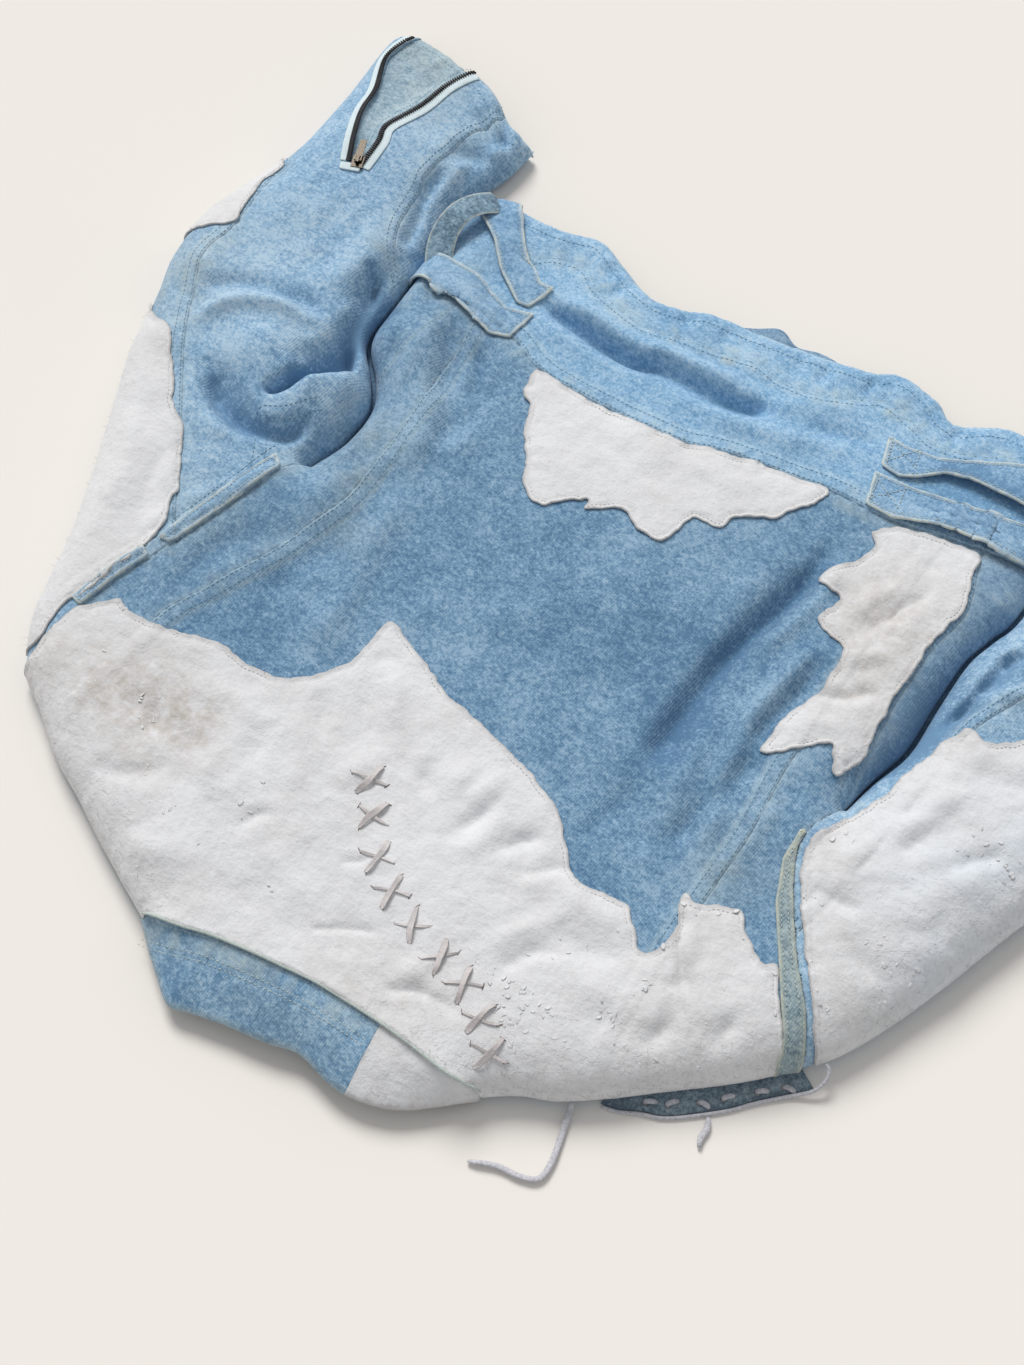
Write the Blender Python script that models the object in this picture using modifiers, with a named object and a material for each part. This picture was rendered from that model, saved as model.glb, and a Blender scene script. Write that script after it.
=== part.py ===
"""A cropped denim jacket with suede patches, laid flat on its front with its back up.

X runs from the sleeve on the left to the sleeve on the right, Y from the collar to the hem,
and Z up. The origin lies on the flat underside, under the middle of the back.
Lengths in the outlines are millimetres and are turned into metres where meshes are made.
"""

import math

import bmesh
import bpy
import numpy as np
from mathutils import Matrix, Vector

MM = 0.001

# Driving dimensions in millimetres
DENIM = 1.6
SUEDE = 1.2
SEAM_GAP = 0.3
LAYER_GAP = 0.35
EDGE_HEIGHT = 10.0
UPPER_ROLL = 45.0
LOWER_ROLL = 12.0
CELL = 33.0
ROLL_STEPS = (0.0, 2.5, 12.0)
FOLD_LEAST_WIDTH = 12.0
VALLEY_GAP = 1.5
BLADE_TOP = 200.0
BLADE_BOTTOM = -5.0
FRONT_OPENING = [(14, -500), (14, 500)]
THONG_WIDTH = 6.0
THONG_CROSS_LENGTH = 25.0
TAPE_THICKNESS = 0.8
LACE_DIAMETER = 4.5
PIPING_DIAMETER = 2.6
STRIP_THICKNESS = 1.6
LACE_HOLE_RADIUS = 2.6
COLLAR_THICKNESS = 3.0
COLLAR_UNDER_THICKNESS = 2.2
COLLAR_OVERRUN = 2.0
COLLAR_EDGE_LOW = 8.0
COLLAR_EDGE_LIFT = 9.0
COLLAR_BELLY = 2.5
COLLAR_UNDER_LIFT = 3.0
COLLAR_UNDER_INSET = 6.0
COLLAR_END_INSET = 0.03
NECK_OVERRUN = 2.0
BODY_WIDTH = 530.0
SLEEVE_WIDTH = 160.0
SLEEVE_TIP = 7.0
STRAP_THICKNESS = 2.0
BAND_THICKNESS = 1.6
EDGE_GAP = 1.2
SEAM_POINTS = 2
FAR = 700.0
HALF_GAP = SEAM_GAP / 2
UPPER_FROM = EDGE_HEIGHT + HALF_GAP
LOWER_TO = EDGE_HEIGHT - HALF_GAP
ARMHOLE_OVERRUN = 2.0
BOW_STARTS = 0.8
NECK_RAMP_POINTS = 8.0
CUTTER_DEPTH = 8.0

# Closed edges, where the upper and the lower wall of the cloth meet
SHOULDER_CORNER_LEFT = (-304, -217)
SHOULDER_CORNER_RIGHT = (290, -182)
UNDERARM_LEFT = (-229, 24)
UNDERARM_RIGHT = (230, -12)
ABOVE_UNDERARM_LEFT = (-227.6, 29)
ABOVE_UNDERARM_RIGHT = (231.4, -7)
HEM_CORNER_LEFT = (-265, 300)
HEM_CORNER_RIGHT = (265, 300)
PAST_SHOULDER_RIGHT = (300, -360)
NECK_LEFT = (-124, -320)
NECK_RIGHT = (127, -304)

SLEEVE_LEFT_OUTER = [
    SHOULDER_CORNER_LEFT, (-326, -174), (-338, -125), (-355, -76), (-379, -18), (-402, 38),
    (-418, 91), (-430, 128), (-432, 179), (-412, 262), (-410, 329), (-414, 404), (-402, 424)]
SLEEVE_RIGHT_OUTER = [
    SHOULDER_CORNER_RIGHT, (312, -150), (334, -103), (354, -49), (366, -18), (388, 38),
    (404, 91), (418, 128), (422, 179), (408, 262), (404, 329), (406, 404), (396, 424)]
VALLEY_LEFT = [
    UNDERARM_LEFT, (-220, 55), (-221, 91), (-235, 116), (-256, 142), (-260, 179), (-262, 230)]
VALLEY_RIGHT = [
    UNDERARM_RIGHT, (236, 16), (246, 50), (247, 92), (249, 133), (256, 158), (264, 182), (267, 230)]
SLEEVE_LEFT_INNER_END = [(-270, 261), (-273, 290), (-262, 323), (-256, 344), (-253, 374)]
SLEEVE_RIGHT_INNER_END = [(274, 261), (276, 290), (270, 323), (264, 344), (262, 374)]
ARMHOLE_LEFT = [
    UNDERARM_LEFT, (-236, 1), (-248, -46), (-264, -94), (-281, -136), (-299, -190),
    SHOULDER_CORNER_LEFT]
ARMHOLE_RIGHT = [
    UNDERARM_RIGHT, (218, -48), (222, -72), (238, -103), (257, -133), (276, -157),
    SHOULDER_CORNER_RIGHT]
SHOULDER_LEFT = [
    SHOULDER_CORNER_LEFT, (-275, -235), (-246, -256), (-208, -276), (-176, -294), NECK_LEFT]
SHOULDER_RIGHT = [
    NECK_RIGHT, (146, -291), (170, -280), (198, -260), (224, -239), (255, -214),
    SHOULDER_CORNER_RIGHT]

# Open edges
NECK = [
    NECK_LEFT, (-97, -318), (-72, -312), (-48, -308), (-17, -304), (9, -302), (52, -303),
    (76, -305), (106, -308), NECK_RIGHT]
BACK_HEM = [
    HEM_CORNER_LEFT, (-233, 308), (-190, 310), (-157, 319), (-129, 307), (-97, 291), (-71, 293),
    (-44, 303), (17, 309), (77, 317), (99, 327), (134, 320), (154, 309), (196, 326),
    HEM_CORNER_RIGHT]
FRONT_HEM = [
    HEM_CORNER_LEFT, (-200, 302), (-120, 298), (-60, 302), (-22, 318), (-2, 329), (16, 321),
    (35, 325), (55, 323), (90, 312), (160, 304), HEM_CORNER_RIGHT]
CUFF_LEFT = [(-402, 424), (-357, 414), (-310, 399), (-275, 376), (-253, 374)]
CUFF_RIGHT = [(396, 424), (357, 416), (310, 401), (262, 374)]
COLLAR_OUTER = [
    (-126, -322), (-107, -338), (-91, -350), (-75, -361), (-59, -358), (-35, -353), (-7, -349),
    (16, -344), (45, -350), (69, -348), (94, -337), (128, -308)]
COLLAR_SPLIT = [(51, -280), (57, -380)]
FRONT_NECK = [(-112, -308), (-70, -278), (0, -262), (70, -272), (112, -298)]

# Seams on the upper side
BAND_SEAM = [
    (-290, 206), (-230, 203), (-164, 196), (-133, 182), (-92, 177), (-14, 178), (20, 187),
    (72, 196), (104, 201), (153, 202), (221, 214), (290, 222)]
BACK_SEAM_LEFT = [
    (-196, 215), (-190, 147), (-184, 109), (-182, 43), (-183, 8), (-193, -25), (-202, -60),
    (-220, -103), (-240, -150), (-262, -270)]
BACK_SEAM_RIGHT = [
    (196, 225), (190, 120), (185, -6), (187, -48), (188, -79), (186, -112), (184, -180),
    (186, -300)]
BEYOND_NECK = [(-262, -400), (186, -400)]
SIDE_SEAM_RIGHT = [
    (218, 235), (222, 205), (233, 162), (226, 121), (224, 74), (226, 26), UNDERARM_RIGHT]
SLEEVE_SEAM_LEFT = [
    (-262, -90), (-290, -50), (-319, -4), (-340, 27), (-359, 56), (-379, 94), (-393, 130),
    (-390, 158), (-396, 207), (-398, 243), (-430, 275)]
UNDERARM_SEAM_LEFT = [
    (-283, 420), (-286, 370), (-295, 344), (-298, 320), (-301, 293), (-297, 276), (-290, 238),
    (-277, 212), (-248, 185)]
SLEEVE_SEAM_RIGHT = [
    (246, -118), (262, -40), (270, 20), (278, 74), (297, 114), (322, 160), (350, 210),
    (366, 270), (372, 340), (372, 440)]
UNDERARM_SEAM_RIGHT = [
    (300, 425), (300, 344), (302, 293), (292, 238), (278, 205), (248, 190)]

UNDER_LEFT_CUFF_CORNERS = [(-470, 300), (-470, 460), (-283, 460)]
UNDER_LEFT_BODY_CORNERS = [(-200, 170), (-190, 24), (-232, -100)]
UNDER_RIGHT_CUFF_CORNERS = [(372, 460), (300, 460)]
UNDER_RIGHT_BODY_CORNERS = [(215, 170), (200, 0), (205, -90), (225, -130)]

# Crown heights (x, y, z) of the cloth away from its closed edges
CROWNS = [
    (0, 0, 38), (-120, 0, 37), (120, 0, 36), (0, 150, 34), (0, -180, 38), (-150, -200, 38),
    (150, -200, 36), (0, -290, 32), (0, 230, 29), (-150, 230, 29), (150, 230, 29),
    (0, 305, 20), (-150, 312, 20), (150, 312, 21), (-240, 285, 25), (240, 285, 26),
    (-330, -60, 46), (-345, 60, 50), (-315, 90, 55), (-330, 200, 48), (-350, 290, 42),
    (-372, 395, 32), (-290, 370, 34), (-268, 360, 30), (-270, -90, 44), (-290, -190, 36),
    (300, -60, 42), (330, 60, 42), (330, 200, 42), (350, 380, 32), (250, -110, 36)]
CROWN_REACH = 40.0

# Folds as (points, height or depth, half width)
FOLDS = [
    ([(-164, 238), (-145, 236), (-118, 230), (-81, 227), (-44, 230), (6, 230), (40, 243)], -8, 7),
    ([(-150, 252), (-118, 246), (-81, 242), (-30, 245), (20, 250)], 4, 12),
    ([(131, 142), (127, 113), (118, 84), (111, 51), (110, 17), (110, -27), (111, -58)], -9, 10),
    ([(162, 86), (154, 54), (149, 24), (147, -5), (156, -60), (165, -97)], 6, 9),
    ([(164, -15), (159, -39), (155, -63), (149, -89), (143, -112)], -6, 9),
    ([(-209, 190), (-195, 161), (-184, 130), (-186, 107)], -7, 10),
    ([(-219, 184), (-214, 149), (-212, 112), (-209, 62), (-208, 21)], 5, 9),
    ([(-277, 74), (-267, 95), (-262, 116), (-264, 149), (-266, 183), (-270, 225)], -13, 9),
    ([(-367, 80), (-351, 95), (-334, 106), (-304, 114), (-280, 116)], 6, 12),
    ([(-336, 51), (-308, 34), (-283, 23), (-264, 24)], -9, 10),
    ([(233, 10), (252, 52), (266, 88), (286, 138)], -7, 8),
    ([(262, 45), (262, 81), (264, 107), (264, 135)], 5, 8),
    ([(173, -137), (187, -161), (199, -185)], 6, 10),
    ([(-48, -153), (-56, -171), (-64, -189)], 4, 9),
    ([(9, -118), (2, -157)], 4, 9),
    ([(91, -169), (126, -171), (163, -172)], 4, 10),
    ([(-262, 340), (-285, 330), (-306, 318)], -6, 9),
    ([(30, 300), (34, 276)], -3, 9),
    ([(140, 306), (134, 286)], -3, 9),
    ([(-82, 284), (-78, 264)], -3, 9)]
FOLD_TAPER = 22.0

# Outlines of what is sewn on
YOKE_EDGE = [
    (-269, -147), (-255, -152), (-234, -150), (-212, -144),
    (-196, -140), (-158, -141), (-140, -139), (-126, -128), (-111, -112), (-104, -93),
    (-104, -71), (-99, -61), (-78, -69), (-57, -78), (-43, -87), (-11, -95), (29, -104),
    (50, -111), (77, -128), (106, -157), (138, -155), (149, -158), (164, -177), (176, -172),
    (180, -154), (173, -137), (173, -128), (181, -131), (202, -122), (210, -122), (217, -131),
    (237, -146)]
YOKE_BEYOND_SHOULDER = [
    (250, -270), (180, -330), (127, -370), (-124, -370), (-320, -270), (-312, -225)]
HEM_PATCH_EDGE = [
    (-131, 178), (-126, 155), (-116, 148), (-110, 128), (-96, 109), (-87, 92), (-75, 77),
    (-62, 77), (-53, 85), (-37, 98), (-35, 89), (-12, 105), (2, 97), (23, 96), (34, 125),
    (54, 129), (59, 143), (81, 155), (89, 168), (104, 197)]
SIDE_PATCH = [
    (148, 184), (157, 196), (180, 203), (218, 208), (222, 190), (230, 162), (223, 121),
    (221, 84), (221, 45), (223, 18), (213, -1), (203, 15), (195, 14), (164, -14), (167, 21),
    (175, 42), (177, 66), (175, 86), (159, 91), (147, 101), (154, 122), (135, 129),
    (142, 147), (154, 175)]
SLEEVE_LEFT_PATCH = [
    (-330, -215), (-305, -200), (-302, -172), (-291, -147), (-280, -112), (-277, -86),
    (-287, -56), (-298, -33), (-313, -10), (-333, 5), (-340, 18), (-358, 37), (-373, 55),
    (-397, 66), (-440, 82), (-440, -150)]
SLEEVE_LEFT_SMALL_PATCH = [
    (-450, 140), (-411, 153), (-393, 162), (-400, 210), (-402, 243), (-450, 250)]
SLEEVE_RIGHT_PATCH = [
    (222, -52), (232, -32), (246, -4), (256, 24), (260, 38), (270, 67), (276, 73), (289, 70),
    (310, 85), (345, 106), (440, 120), (440, -230), (318, -190), (296, -176), (281, -156),
    (262, -131), (243, -101), (227, -71)]
STRAP_UPPER_LEFT = [
    (-160, 251), (-166, 226), (-176, 225), (-204, 246), (-224, 269), (-252, 292), (-290, 312),
    (-262, 340), (-228, 312), (-201, 276), (-171, 250)]
STRAP_LOWER_LEFT = [
    (-159, 221), (-163, 194), (-178, 188), (-204, 196), (-230, 203), (-247, 208), (-290, 208),
    (-290, 238), (-251, 236), (-211, 226), (-180, 215)]
STRAP_UPPER_RIGHT = [
    (119, 267), (134, 264), (159, 265), (186, 278), (212, 291), (240, 296), (290, 298),
    (290, 266), (255, 262), (213, 261), (186, 260), (168, 255), (153, 242), (141, 237),
    (126, 240)]
STRAP_LOWER_RIGHT = [
    (125, 232), (157, 232), (182, 235), (234, 246), (290, 252), (290, 222), (243, 217),
    (217, 215), (185, 212), (154, 203), (132, 203)]
ARMHOLE_BAND_LEFT = [(-246, 8), (-257, -36), (-266, -66), (-273, -94)]
ARMHOLE_BAND_RIGHT = [
    (214, -50), (214, -73), (225, -103), (247, -139), (260, -160), (272, -178), (278, -200)]
LACING = [
    (-45, -170, -101, 11), (-28, -190, -106, -4), (-10, -213, -92, 10), (11, -228, -87, 17),
    (35, -239, -68, 26), (61, -248, -78, 43), (84, -256, -77, 26), (105, -269, -104, 12),
    (120, -284, -107, 5)]

# Cuff zip of the left sleeve
CUFF_NOTCH = [
    (-388, 440), (-399, 384), (-383, 343), (-378, 318), (-368, 292), (-354, 262), (-346, 262),
    (-347, 292), (-352, 312), (-343, 345), (-338, 377), (-326, 393), (-322, 440)]
ZIP_LEFT_LINE = [(-393, 412), (-399, 384), (-383, 343), (-378, 318), (-368, 292), (-355, 264)]
ZIP_RIGHT_LINE = [(-328, 402), (-338, 377), (-343, 345), (-352, 312), (-347, 292), (-345, 264)]
TAPE_OUTER_REACH = 7.0
TAPE_INNER_REACH = 2.5
CUFF_GUSSET = [
    (-397, 440), (-406, 384), (-391, 340), (-386, 318), (-377, 290), (-362, 252), (-338, 252),
    (-338, 292), (-343, 312), (-334, 345), (-329, 377), (-318, 396), (-314, 440)]
CUFF_CUT_FROM = EDGE_HEIGHT + 4.0
TAPE_CUT_FROM = EDGE_HEIGHT + 2.0
GUSSET_THICKNESS = 1.4
GUSSET_GAP = LAYER_GAP + 0.1
SLIDER_AT = (-348.0, 266.0)
SLIDER_HEADING = 110.0
SLIDER_LIFT = 0.7
SLIDER_BASE = (9.0, 12.0, 1.6)
BRIDGE = (2.2, 6.0, 3.4)
BRIDGE_SINK = 0.2
BRIDGE_HOLE_RADIUS = 1.2
PULL_PIVOT_HEIGHT = 3.2
PULL_WINDOW = (3.4, 3.5)
PULL_BAR = (0.7, 0.5)
PULL_PLATE = [
    (-2.9, -0.7), (2.9, -0.7), (2.9, 7.0), (2.4, 17.0), (3.0, 19.0), (2.0, 21.0), (-2.0, 21.0),
    (-3.0, 19.0), (-2.4, 17.0), (-2.9, 7.0)]
PULL_THICKNESS = 1.0

# Laced strip and free ends below the right shoulder
STRIP_OUTER = [
    (193, -266), (204, -263), (216, -257), (229, -252), (242, -243), (262, -226), (274, -213),
    (290, -198), (302, -187)]
STRIP_INNER = [
    (192, -258), (201.8, -249.2), (211.8, -240.7), (219.8, -234.2), (233.8, -223.2),
    (250.8, -209.2), (262.8, -199), (276.4, -187.5), (286.5, -177.5)]
LACE_HOLES = [(216, -251), (229, -245), (245, -233), (257, -223), (273, -208), (286, -196)]
STRIP_PIPING_ROUTE = [
    (194, -268, 1.5), (205, -264.9, 1.5), (217, -259, 1.5), (230, -254, 1.5), (243.2, -244.8, 1.5),
    (263.3, -227.6, 1.5), (275.3, -214.5, 1.5), (291.4, -199.5, 2.5), (302.5, -190, 6),
    (306.5, -181, 11), (305, -175, 14), (301, -172.5, 15)]
LACE_LONG_ROUTE = [
    (177.6, -275.8, 7.8), (178.8, -281, 5.2), (180.2, -288, 3.2), (183, -300, 2.5),
    (186, -316, 2.5), (184.5, -328, 2.5), (174, -333, 2.5), (158, -335, 2.5), (141, -342, 2.5)]
LACE_SHORT_ROUTE = [(254.7, -238.4, 2.4), (257.6, -245, 2.4), (257, -252, 2.4), (259, -258, 2.4)]

COLLECTION_NAME = "Patched_denim_jacket"


def clear_scene():
    """Remove every object, mesh and curve of the open file."""
    for old in list(bpy.data.objects):
        bpy.data.objects.remove(old, do_unlink=True)


def make_collection(name):
    """Return a new collection linked to the scene."""
    collection = bpy.data.collections.new(name)
    bpy.context.scene.collection.children.link(collection)
    return collection


def cloth_material(name, colour, roughness, metallic=0.0):
    """Return a Principled material with one colour."""
    material = bpy.data.materials.new(name)
    material.use_nodes = True
    shader = material.node_tree.nodes["Principled BSDF"]
    shader.inputs["Base Color"].default_value = (*colour, 1.0)
    shader.inputs["Roughness"].default_value = roughness
    shader.inputs["Metallic"].default_value = metallic
    return material


def smooth_line(points, per_span=8):
    """Return a dense smooth line through plan points, as an array."""
    given = np.array(points, dtype=float)
    before = 2 * given[0] - given[1]
    after = 2 * given[-1] - given[-2]
    chain = np.vstack([before, given, after])
    line = []
    for index in range(1, len(chain) - 2):
        p0, p1, p2, p3 = chain[index - 1:index + 3]
        for step in range(per_span):
            t = step / per_span
            line.append(0.5 * (2 * p1 + (p2 - p0) * t + (2 * p0 - 5 * p1 + 4 * p2 - p3) * t ** 2
                               + (3 * p1 - p0 - 3 * p2 + p3) * t ** 3))
    line.append(given[-1])
    return np.array(line)


def joined(*lines):
    """Join plan lines end to end, leaving out the repeated end points."""
    parts = [np.array(lines[0], dtype=float)]
    for line in lines[1:]:
        parts.append(np.array(line, dtype=float)[1:])
    return np.vstack(parts)


def along(line, fractions):
    """Return the points of a line at fractions of its length."""
    steps = np.hypot(*np.diff(line, axis=0).T)
    reached = np.concatenate([[0.0], np.cumsum(steps)])
    wanted = np.array(fractions) * reached[-1]
    return np.column_stack([np.interp(wanted, reached, line[:, axis]) for axis in range(line.shape[1])])


def length_of(line):
    """Return the length of a plan line."""
    return float(np.hypot(*np.diff(line, axis=0).T).sum())


def spacing(length, roll_start, roll_end, cell=CELL):
    """Return fractions along a side, closer together where the cloth rolls under."""
    first = list(ROLL_STEPS) if roll_start else [0.0]
    last = [length - step for step in reversed(ROLL_STEPS)] if roll_end else [length]
    count = max(1, round((last[0] - first[-1]) / cell))
    middle = [first[-1] + (last[0] - first[-1]) * i / count for i in range(1, count)]
    return [value / length for value in first + middle + last]


def shifted(line, distance):
    """Move a plan line sideways, to its left when the distance is positive."""
    tangent = np.gradient(line, axis=0)
    tangent /= np.hypot(tangent[:, 0], tangent[:, 1])[:, None]
    normal = np.column_stack([-tangent[:, 1], tangent[:, 0]])
    return line + normal * np.asarray(distance).reshape(-1, 1)


def distance_to(line, points):
    """Return each point's distance to a line, and how far along the line it is nearest."""
    starts = line[:-1]
    runs = line[1:] - line[:-1]
    squares = (runs ** 2).sum(axis=1)
    reached = np.concatenate([[0.0], np.cumsum(np.sqrt(squares))])[:-1]
    offsets = points[:, None, :] - starts[None, :, :]
    share = np.clip((offsets * runs).sum(axis=2) / squares, 0.0, 1.0)
    gaps = offsets - share[:, :, None] * runs
    lengths = np.sqrt((gaps ** 2).sum(axis=2))
    nearest = lengths.argmin(axis=1)
    rows = np.arange(len(points))
    where = reached[nearest] + share[rows, nearest] * np.sqrt(squares[nearest])
    return lengths[rows, nearest], where


class Garment:
    """The plan lines of the jacket and the height of its upper and lower wall."""

    def __init__(self):
        """Work out the smooth lines that the panels share."""
        self.valley_left = smooth_line(VALLEY_LEFT)
        self.valley_right = smooth_line(VALLEY_RIGHT)
        self.body_left = self.valley_side(self.valley_left, -1.0)
        self.body_right = self.valley_side(self.valley_right, 1.0)
        self.armhole_left = smooth_line(ARMHOLE_LEFT)
        self.armhole_right = smooth_line(ARMHOLE_RIGHT)
        self.shoulder_left = smooth_line(SHOULDER_LEFT)
        self.shoulder_right = smooth_line(SHOULDER_RIGHT)
        self.neck = smooth_line(NECK)
        self.outer_left = smooth_line(SLEEVE_LEFT_OUTER)
        self.outer_right = smooth_line(SLEEVE_RIGHT_OUTER)
        self.inner_left = self.sleeve_side(self.valley_left, 1.0, SLEEVE_LEFT_INNER_END)
        self.inner_right = self.sleeve_side(self.valley_right, -1.0, SLEEVE_RIGHT_INNER_END)
        hem_left = [tuple(self.body_left[-1]), (-262, 265), HEM_CORNER_LEFT]
        hem_right = [tuple(self.body_right[-1]), (265, 265), HEM_CORNER_RIGHT]
        self.body_left = joined(self.body_left, smooth_line(hem_left))
        self.body_right = joined(self.body_right, smooth_line(hem_right))
        self.closed = [
            self.body_left, self.body_right, self.shoulder_left, self.shoulder_right,
            self.outer_left, self.outer_right, self.inner_left, self.inner_right]
        self.folds = [(smooth_line(line), height, width) for line, height, width in FOLDS]

    @staticmethod
    def valley_side(valley, side):
        """Return one side of the valley between body and sleeve, which opens from the underarm."""
        ramp = np.clip(np.linspace(0.0, 4.0, len(valley)), 0.0, 1.0)
        return shifted(valley, side * VALLEY_GAP * ramp)

    def sleeve_side(self, valley, side, end):
        """Return a sleeve's inner edge, from the underarm to the cuff."""
        edge = self.valley_side(valley, side)
        rest = smooth_line([tuple(edge[-1])] + end)
        return joined(edge, rest)

    def roll(self, points, reach):
        """Return 0 at a closed edge and 1 from one reach away, with a round rise."""
        nearest = np.full(len(points), 1e9)
        for line in self.closed:
            nearest = np.minimum(nearest, distance_to(line, points)[0])
        share = 1.0 - np.clip(nearest / reach, 0.0, 1.0)
        return np.sqrt(1.0 - share ** 2)

    def upper(self, points):
        """Return the height of the upper wall's outer side."""
        spots = np.array(CROWNS, dtype=float)
        squares = ((points[:, None, :] - spots[None, :, :2]) ** 2).sum(axis=2)
        weights = 1.0 / (squares + CROWN_REACH ** 2) ** 2
        crown = (weights * spots[:, 2]).sum(axis=1) / weights.sum(axis=1)
        rise = self.roll(points, UPPER_ROLL)
        height = EDGE_HEIGHT + (crown - EDGE_HEIGHT) * rise
        for line, lift, width in self.folds:
            gap, where = distance_to(line, points)
            ends = np.clip(np.minimum(where, length_of(line) - where) / FOLD_TAPER, 0.0, 1.0)
            height += lift * rise ** 2 * ends * np.exp(-(gap / max(width, FOLD_LEAST_WIDTH)) ** 2)
        return height

    def lower(self, points):
        """Return the height of the lower wall's outer side, which lies on the floor."""
        return EDGE_HEIGHT * (1.0 - self.roll(points, LOWER_ROLL))


def grid_faces(rows, columns, start=0, flipped=False):
    """Return the triangles of a grid of points, split the same way all over."""
    faces = []
    for row in range(rows - 1):
        for column in range(columns - 1):
            a = start + row * columns + column
            b, c, d = a + 1, a + columns + 1, a + columns
            pair = [(a, b, c), (a, c, d)]
            faces += [face[::-1] for face in pair] if flipped else pair
    return faces


def sheet_object(name, points, faces, collection):
    """Return an object with a mesh of millimetre points, its doubled points merged."""
    mesh = bpy.data.meshes.new(name)
    mesh.from_pydata([tuple(p * MM for p in point) for point in points], [], faces)
    shape = bmesh.new()
    shape.from_mesh(mesh)
    bmesh.ops.remove_doubles(shape, verts=shape.verts, dist=1e-6)
    shape.to_mesh(mesh)
    shape.free()
    mesh.update()
    made = bpy.data.objects.new(name, mesh)
    collection.objects.link(made)
    return made


class Builder:
    """Makes named pieces from shared sheets, with cutters kept in their own collection."""

    def __init__(self, garment):
        """Open the collections and name the materials."""
        self.garment = garment
        self.parts = make_collection(COLLECTION_NAME)
        self.cutters = make_collection("Cutters")
        self.materials = {
            "denim": cloth_material("denim", (0.26, 0.42, 0.60), 0.9),
            "suede": cloth_material("suede", (0.72, 0.71, 0.70), 0.95),
            "zip_tape": cloth_material("zip_tape", (0.80, 0.85, 0.88), 0.8),
            "zip_metal": cloth_material("zip_metal", (0.20, 0.17, 0.13), 0.35, 0.9)}

    def cutter(self, name, outline, low=BLADE_BOTTOM, high=BLADE_TOP):
        """Return an upright block with the given plan outline."""
        return as_cutter(slab(name, outline, low, high, self.cutters))

    def piece(self, name, sheet, material, thickness, offset=0.0):
        """Return a named wall on a shared sheet, moved out along its normals by an offset."""
        mesh = sheet.data.copy()
        mesh.name = name
        normals = [vertex.normal.copy() for vertex in mesh.vertices]
        for vertex, normal in zip(mesh.vertices, normals):
            vertex.co += normal * offset * MM
        made = bpy.data.objects.new(name, mesh)
        made.data.materials.append(self.materials[material])
        self.parts.objects.link(made)
        wall = made.modifiers.new("Wall", "SOLIDIFY")
        wall.thickness = abs(thickness) * MM
        wall.offset = 1.0 if thickness > 0 else -1.0
        wall.use_even_offset = True
        wall.use_quality_normals = True
        return made

    def keep(self, made, outline, low=BLADE_BOTTOM, high=BLADE_TOP):
        """Keep only what lies inside an upright block."""
        self.boolean(made, "INTERSECT", self.cutter(made.name + "_kept", outline, low, high))

    def remove(self, made, outline, low=BLADE_BOTTOM, high=BLADE_TOP):
        """Cut away what lies inside an upright block."""
        self.boolean(made, "DIFFERENCE", self.cutter(made.name + "_cut", outline, low, high))

    @staticmethod
    def boolean(made, operation, tool):
        """Add an exact Boolean with a cutter."""
        cut = made.modifiers.new(operation.title(), "BOOLEAN")
        cut.operation = operation
        cut.solver = "EXACT"
        cut.object = tool

    @staticmethod
    def thin_out(made):
        """Merge the faces that lie in one plane, as on the flat underside."""
        planar = made.modifiers.new("Planar", "DECIMATE")
        planar.decimate_type = "DISSOLVE"
        planar.angle_limit = math.radians(0.3)


def levels_on(first, second, first_levels, second_levels):
    """Return points on two lines that follow each other, at fractions of each."""
    return np.vstack([along(first, first_levels), along(second, second_levels[1:])])


def push_past_armhole(points, start, side):
    """Move the armhole stretch sideways, so that an upright cut can trim it."""
    moved = points.copy()
    last = len(points) - 1
    for index in range(start + 1, last):
        ramp = min(1.0, (index - start) / 2.0, (last - index) / 3.0)
        moved[index, 0] += side * ARMHOLE_OVERRUN * ramp
    return moved


def body_sheets(garment, collection):
    """Return the body's upper sheet alone, and the whole body tube."""
    side_levels = spacing(length_of(garment.body_left), False, False)
    armhole_levels = spacing(length_of(garment.armhole_left), False, True)
    side_count = len(side_levels) - 1
    across = spacing(BODY_WIDTH, True, True)
    sides = []
    for edge, armhole, side in ((garment.body_left, garment.armhole_left, -1.0),
                                (garment.body_right, garment.armhole_right, 1.0)):
        points = levels_on(edge[::-1], armhole, side_levels, armhole_levels)
        sides.append(push_past_armhole(points, side_count, side))
    side_length = length_of(garment.body_left)
    share = side_length / (side_length + length_of(garment.armhole_left))
    onward = [level * share for level in side_levels]
    onward += [share + level * (1 - share) for level in armhole_levels[1:]]
    order = np.arange(len(garment.neck))
    ramp = np.clip(np.minimum(order, order[::-1]) / NECK_RAMP_POINTS, 0.0, 1.0)
    neck = shifted(garment.neck, -NECK_OVERRUN * ramp)
    shoulders = along(joined(garment.shoulder_left, neck, garment.shoulder_right), across)
    plans = []
    for hem in (BACK_HEM, FRONT_HEM):
        hem_points = along(smooth_line(hem), across)
        plans.append(four_sided(hem_points, shoulders, *sides, across, onward))
    return sheet_pair("body", garment, *plans, collection)


def four_sided(start, end, low, high, across, onward):
    """Return a grid of plan points between four rows of side points."""
    u = np.array(across)[None, :, None]
    v = np.array(onward)[:, None, None]
    ruled = (1 - v) * start[None] + v * end[None] + (1 - u) * low[:, None] + u * high[:, None]
    corners = ((1 - u) * (1 - v) * start[0] + u * (1 - v) * start[-1]
               + (1 - u) * v * end[0] + u * v * end[-1])
    return ruled - corners


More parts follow.
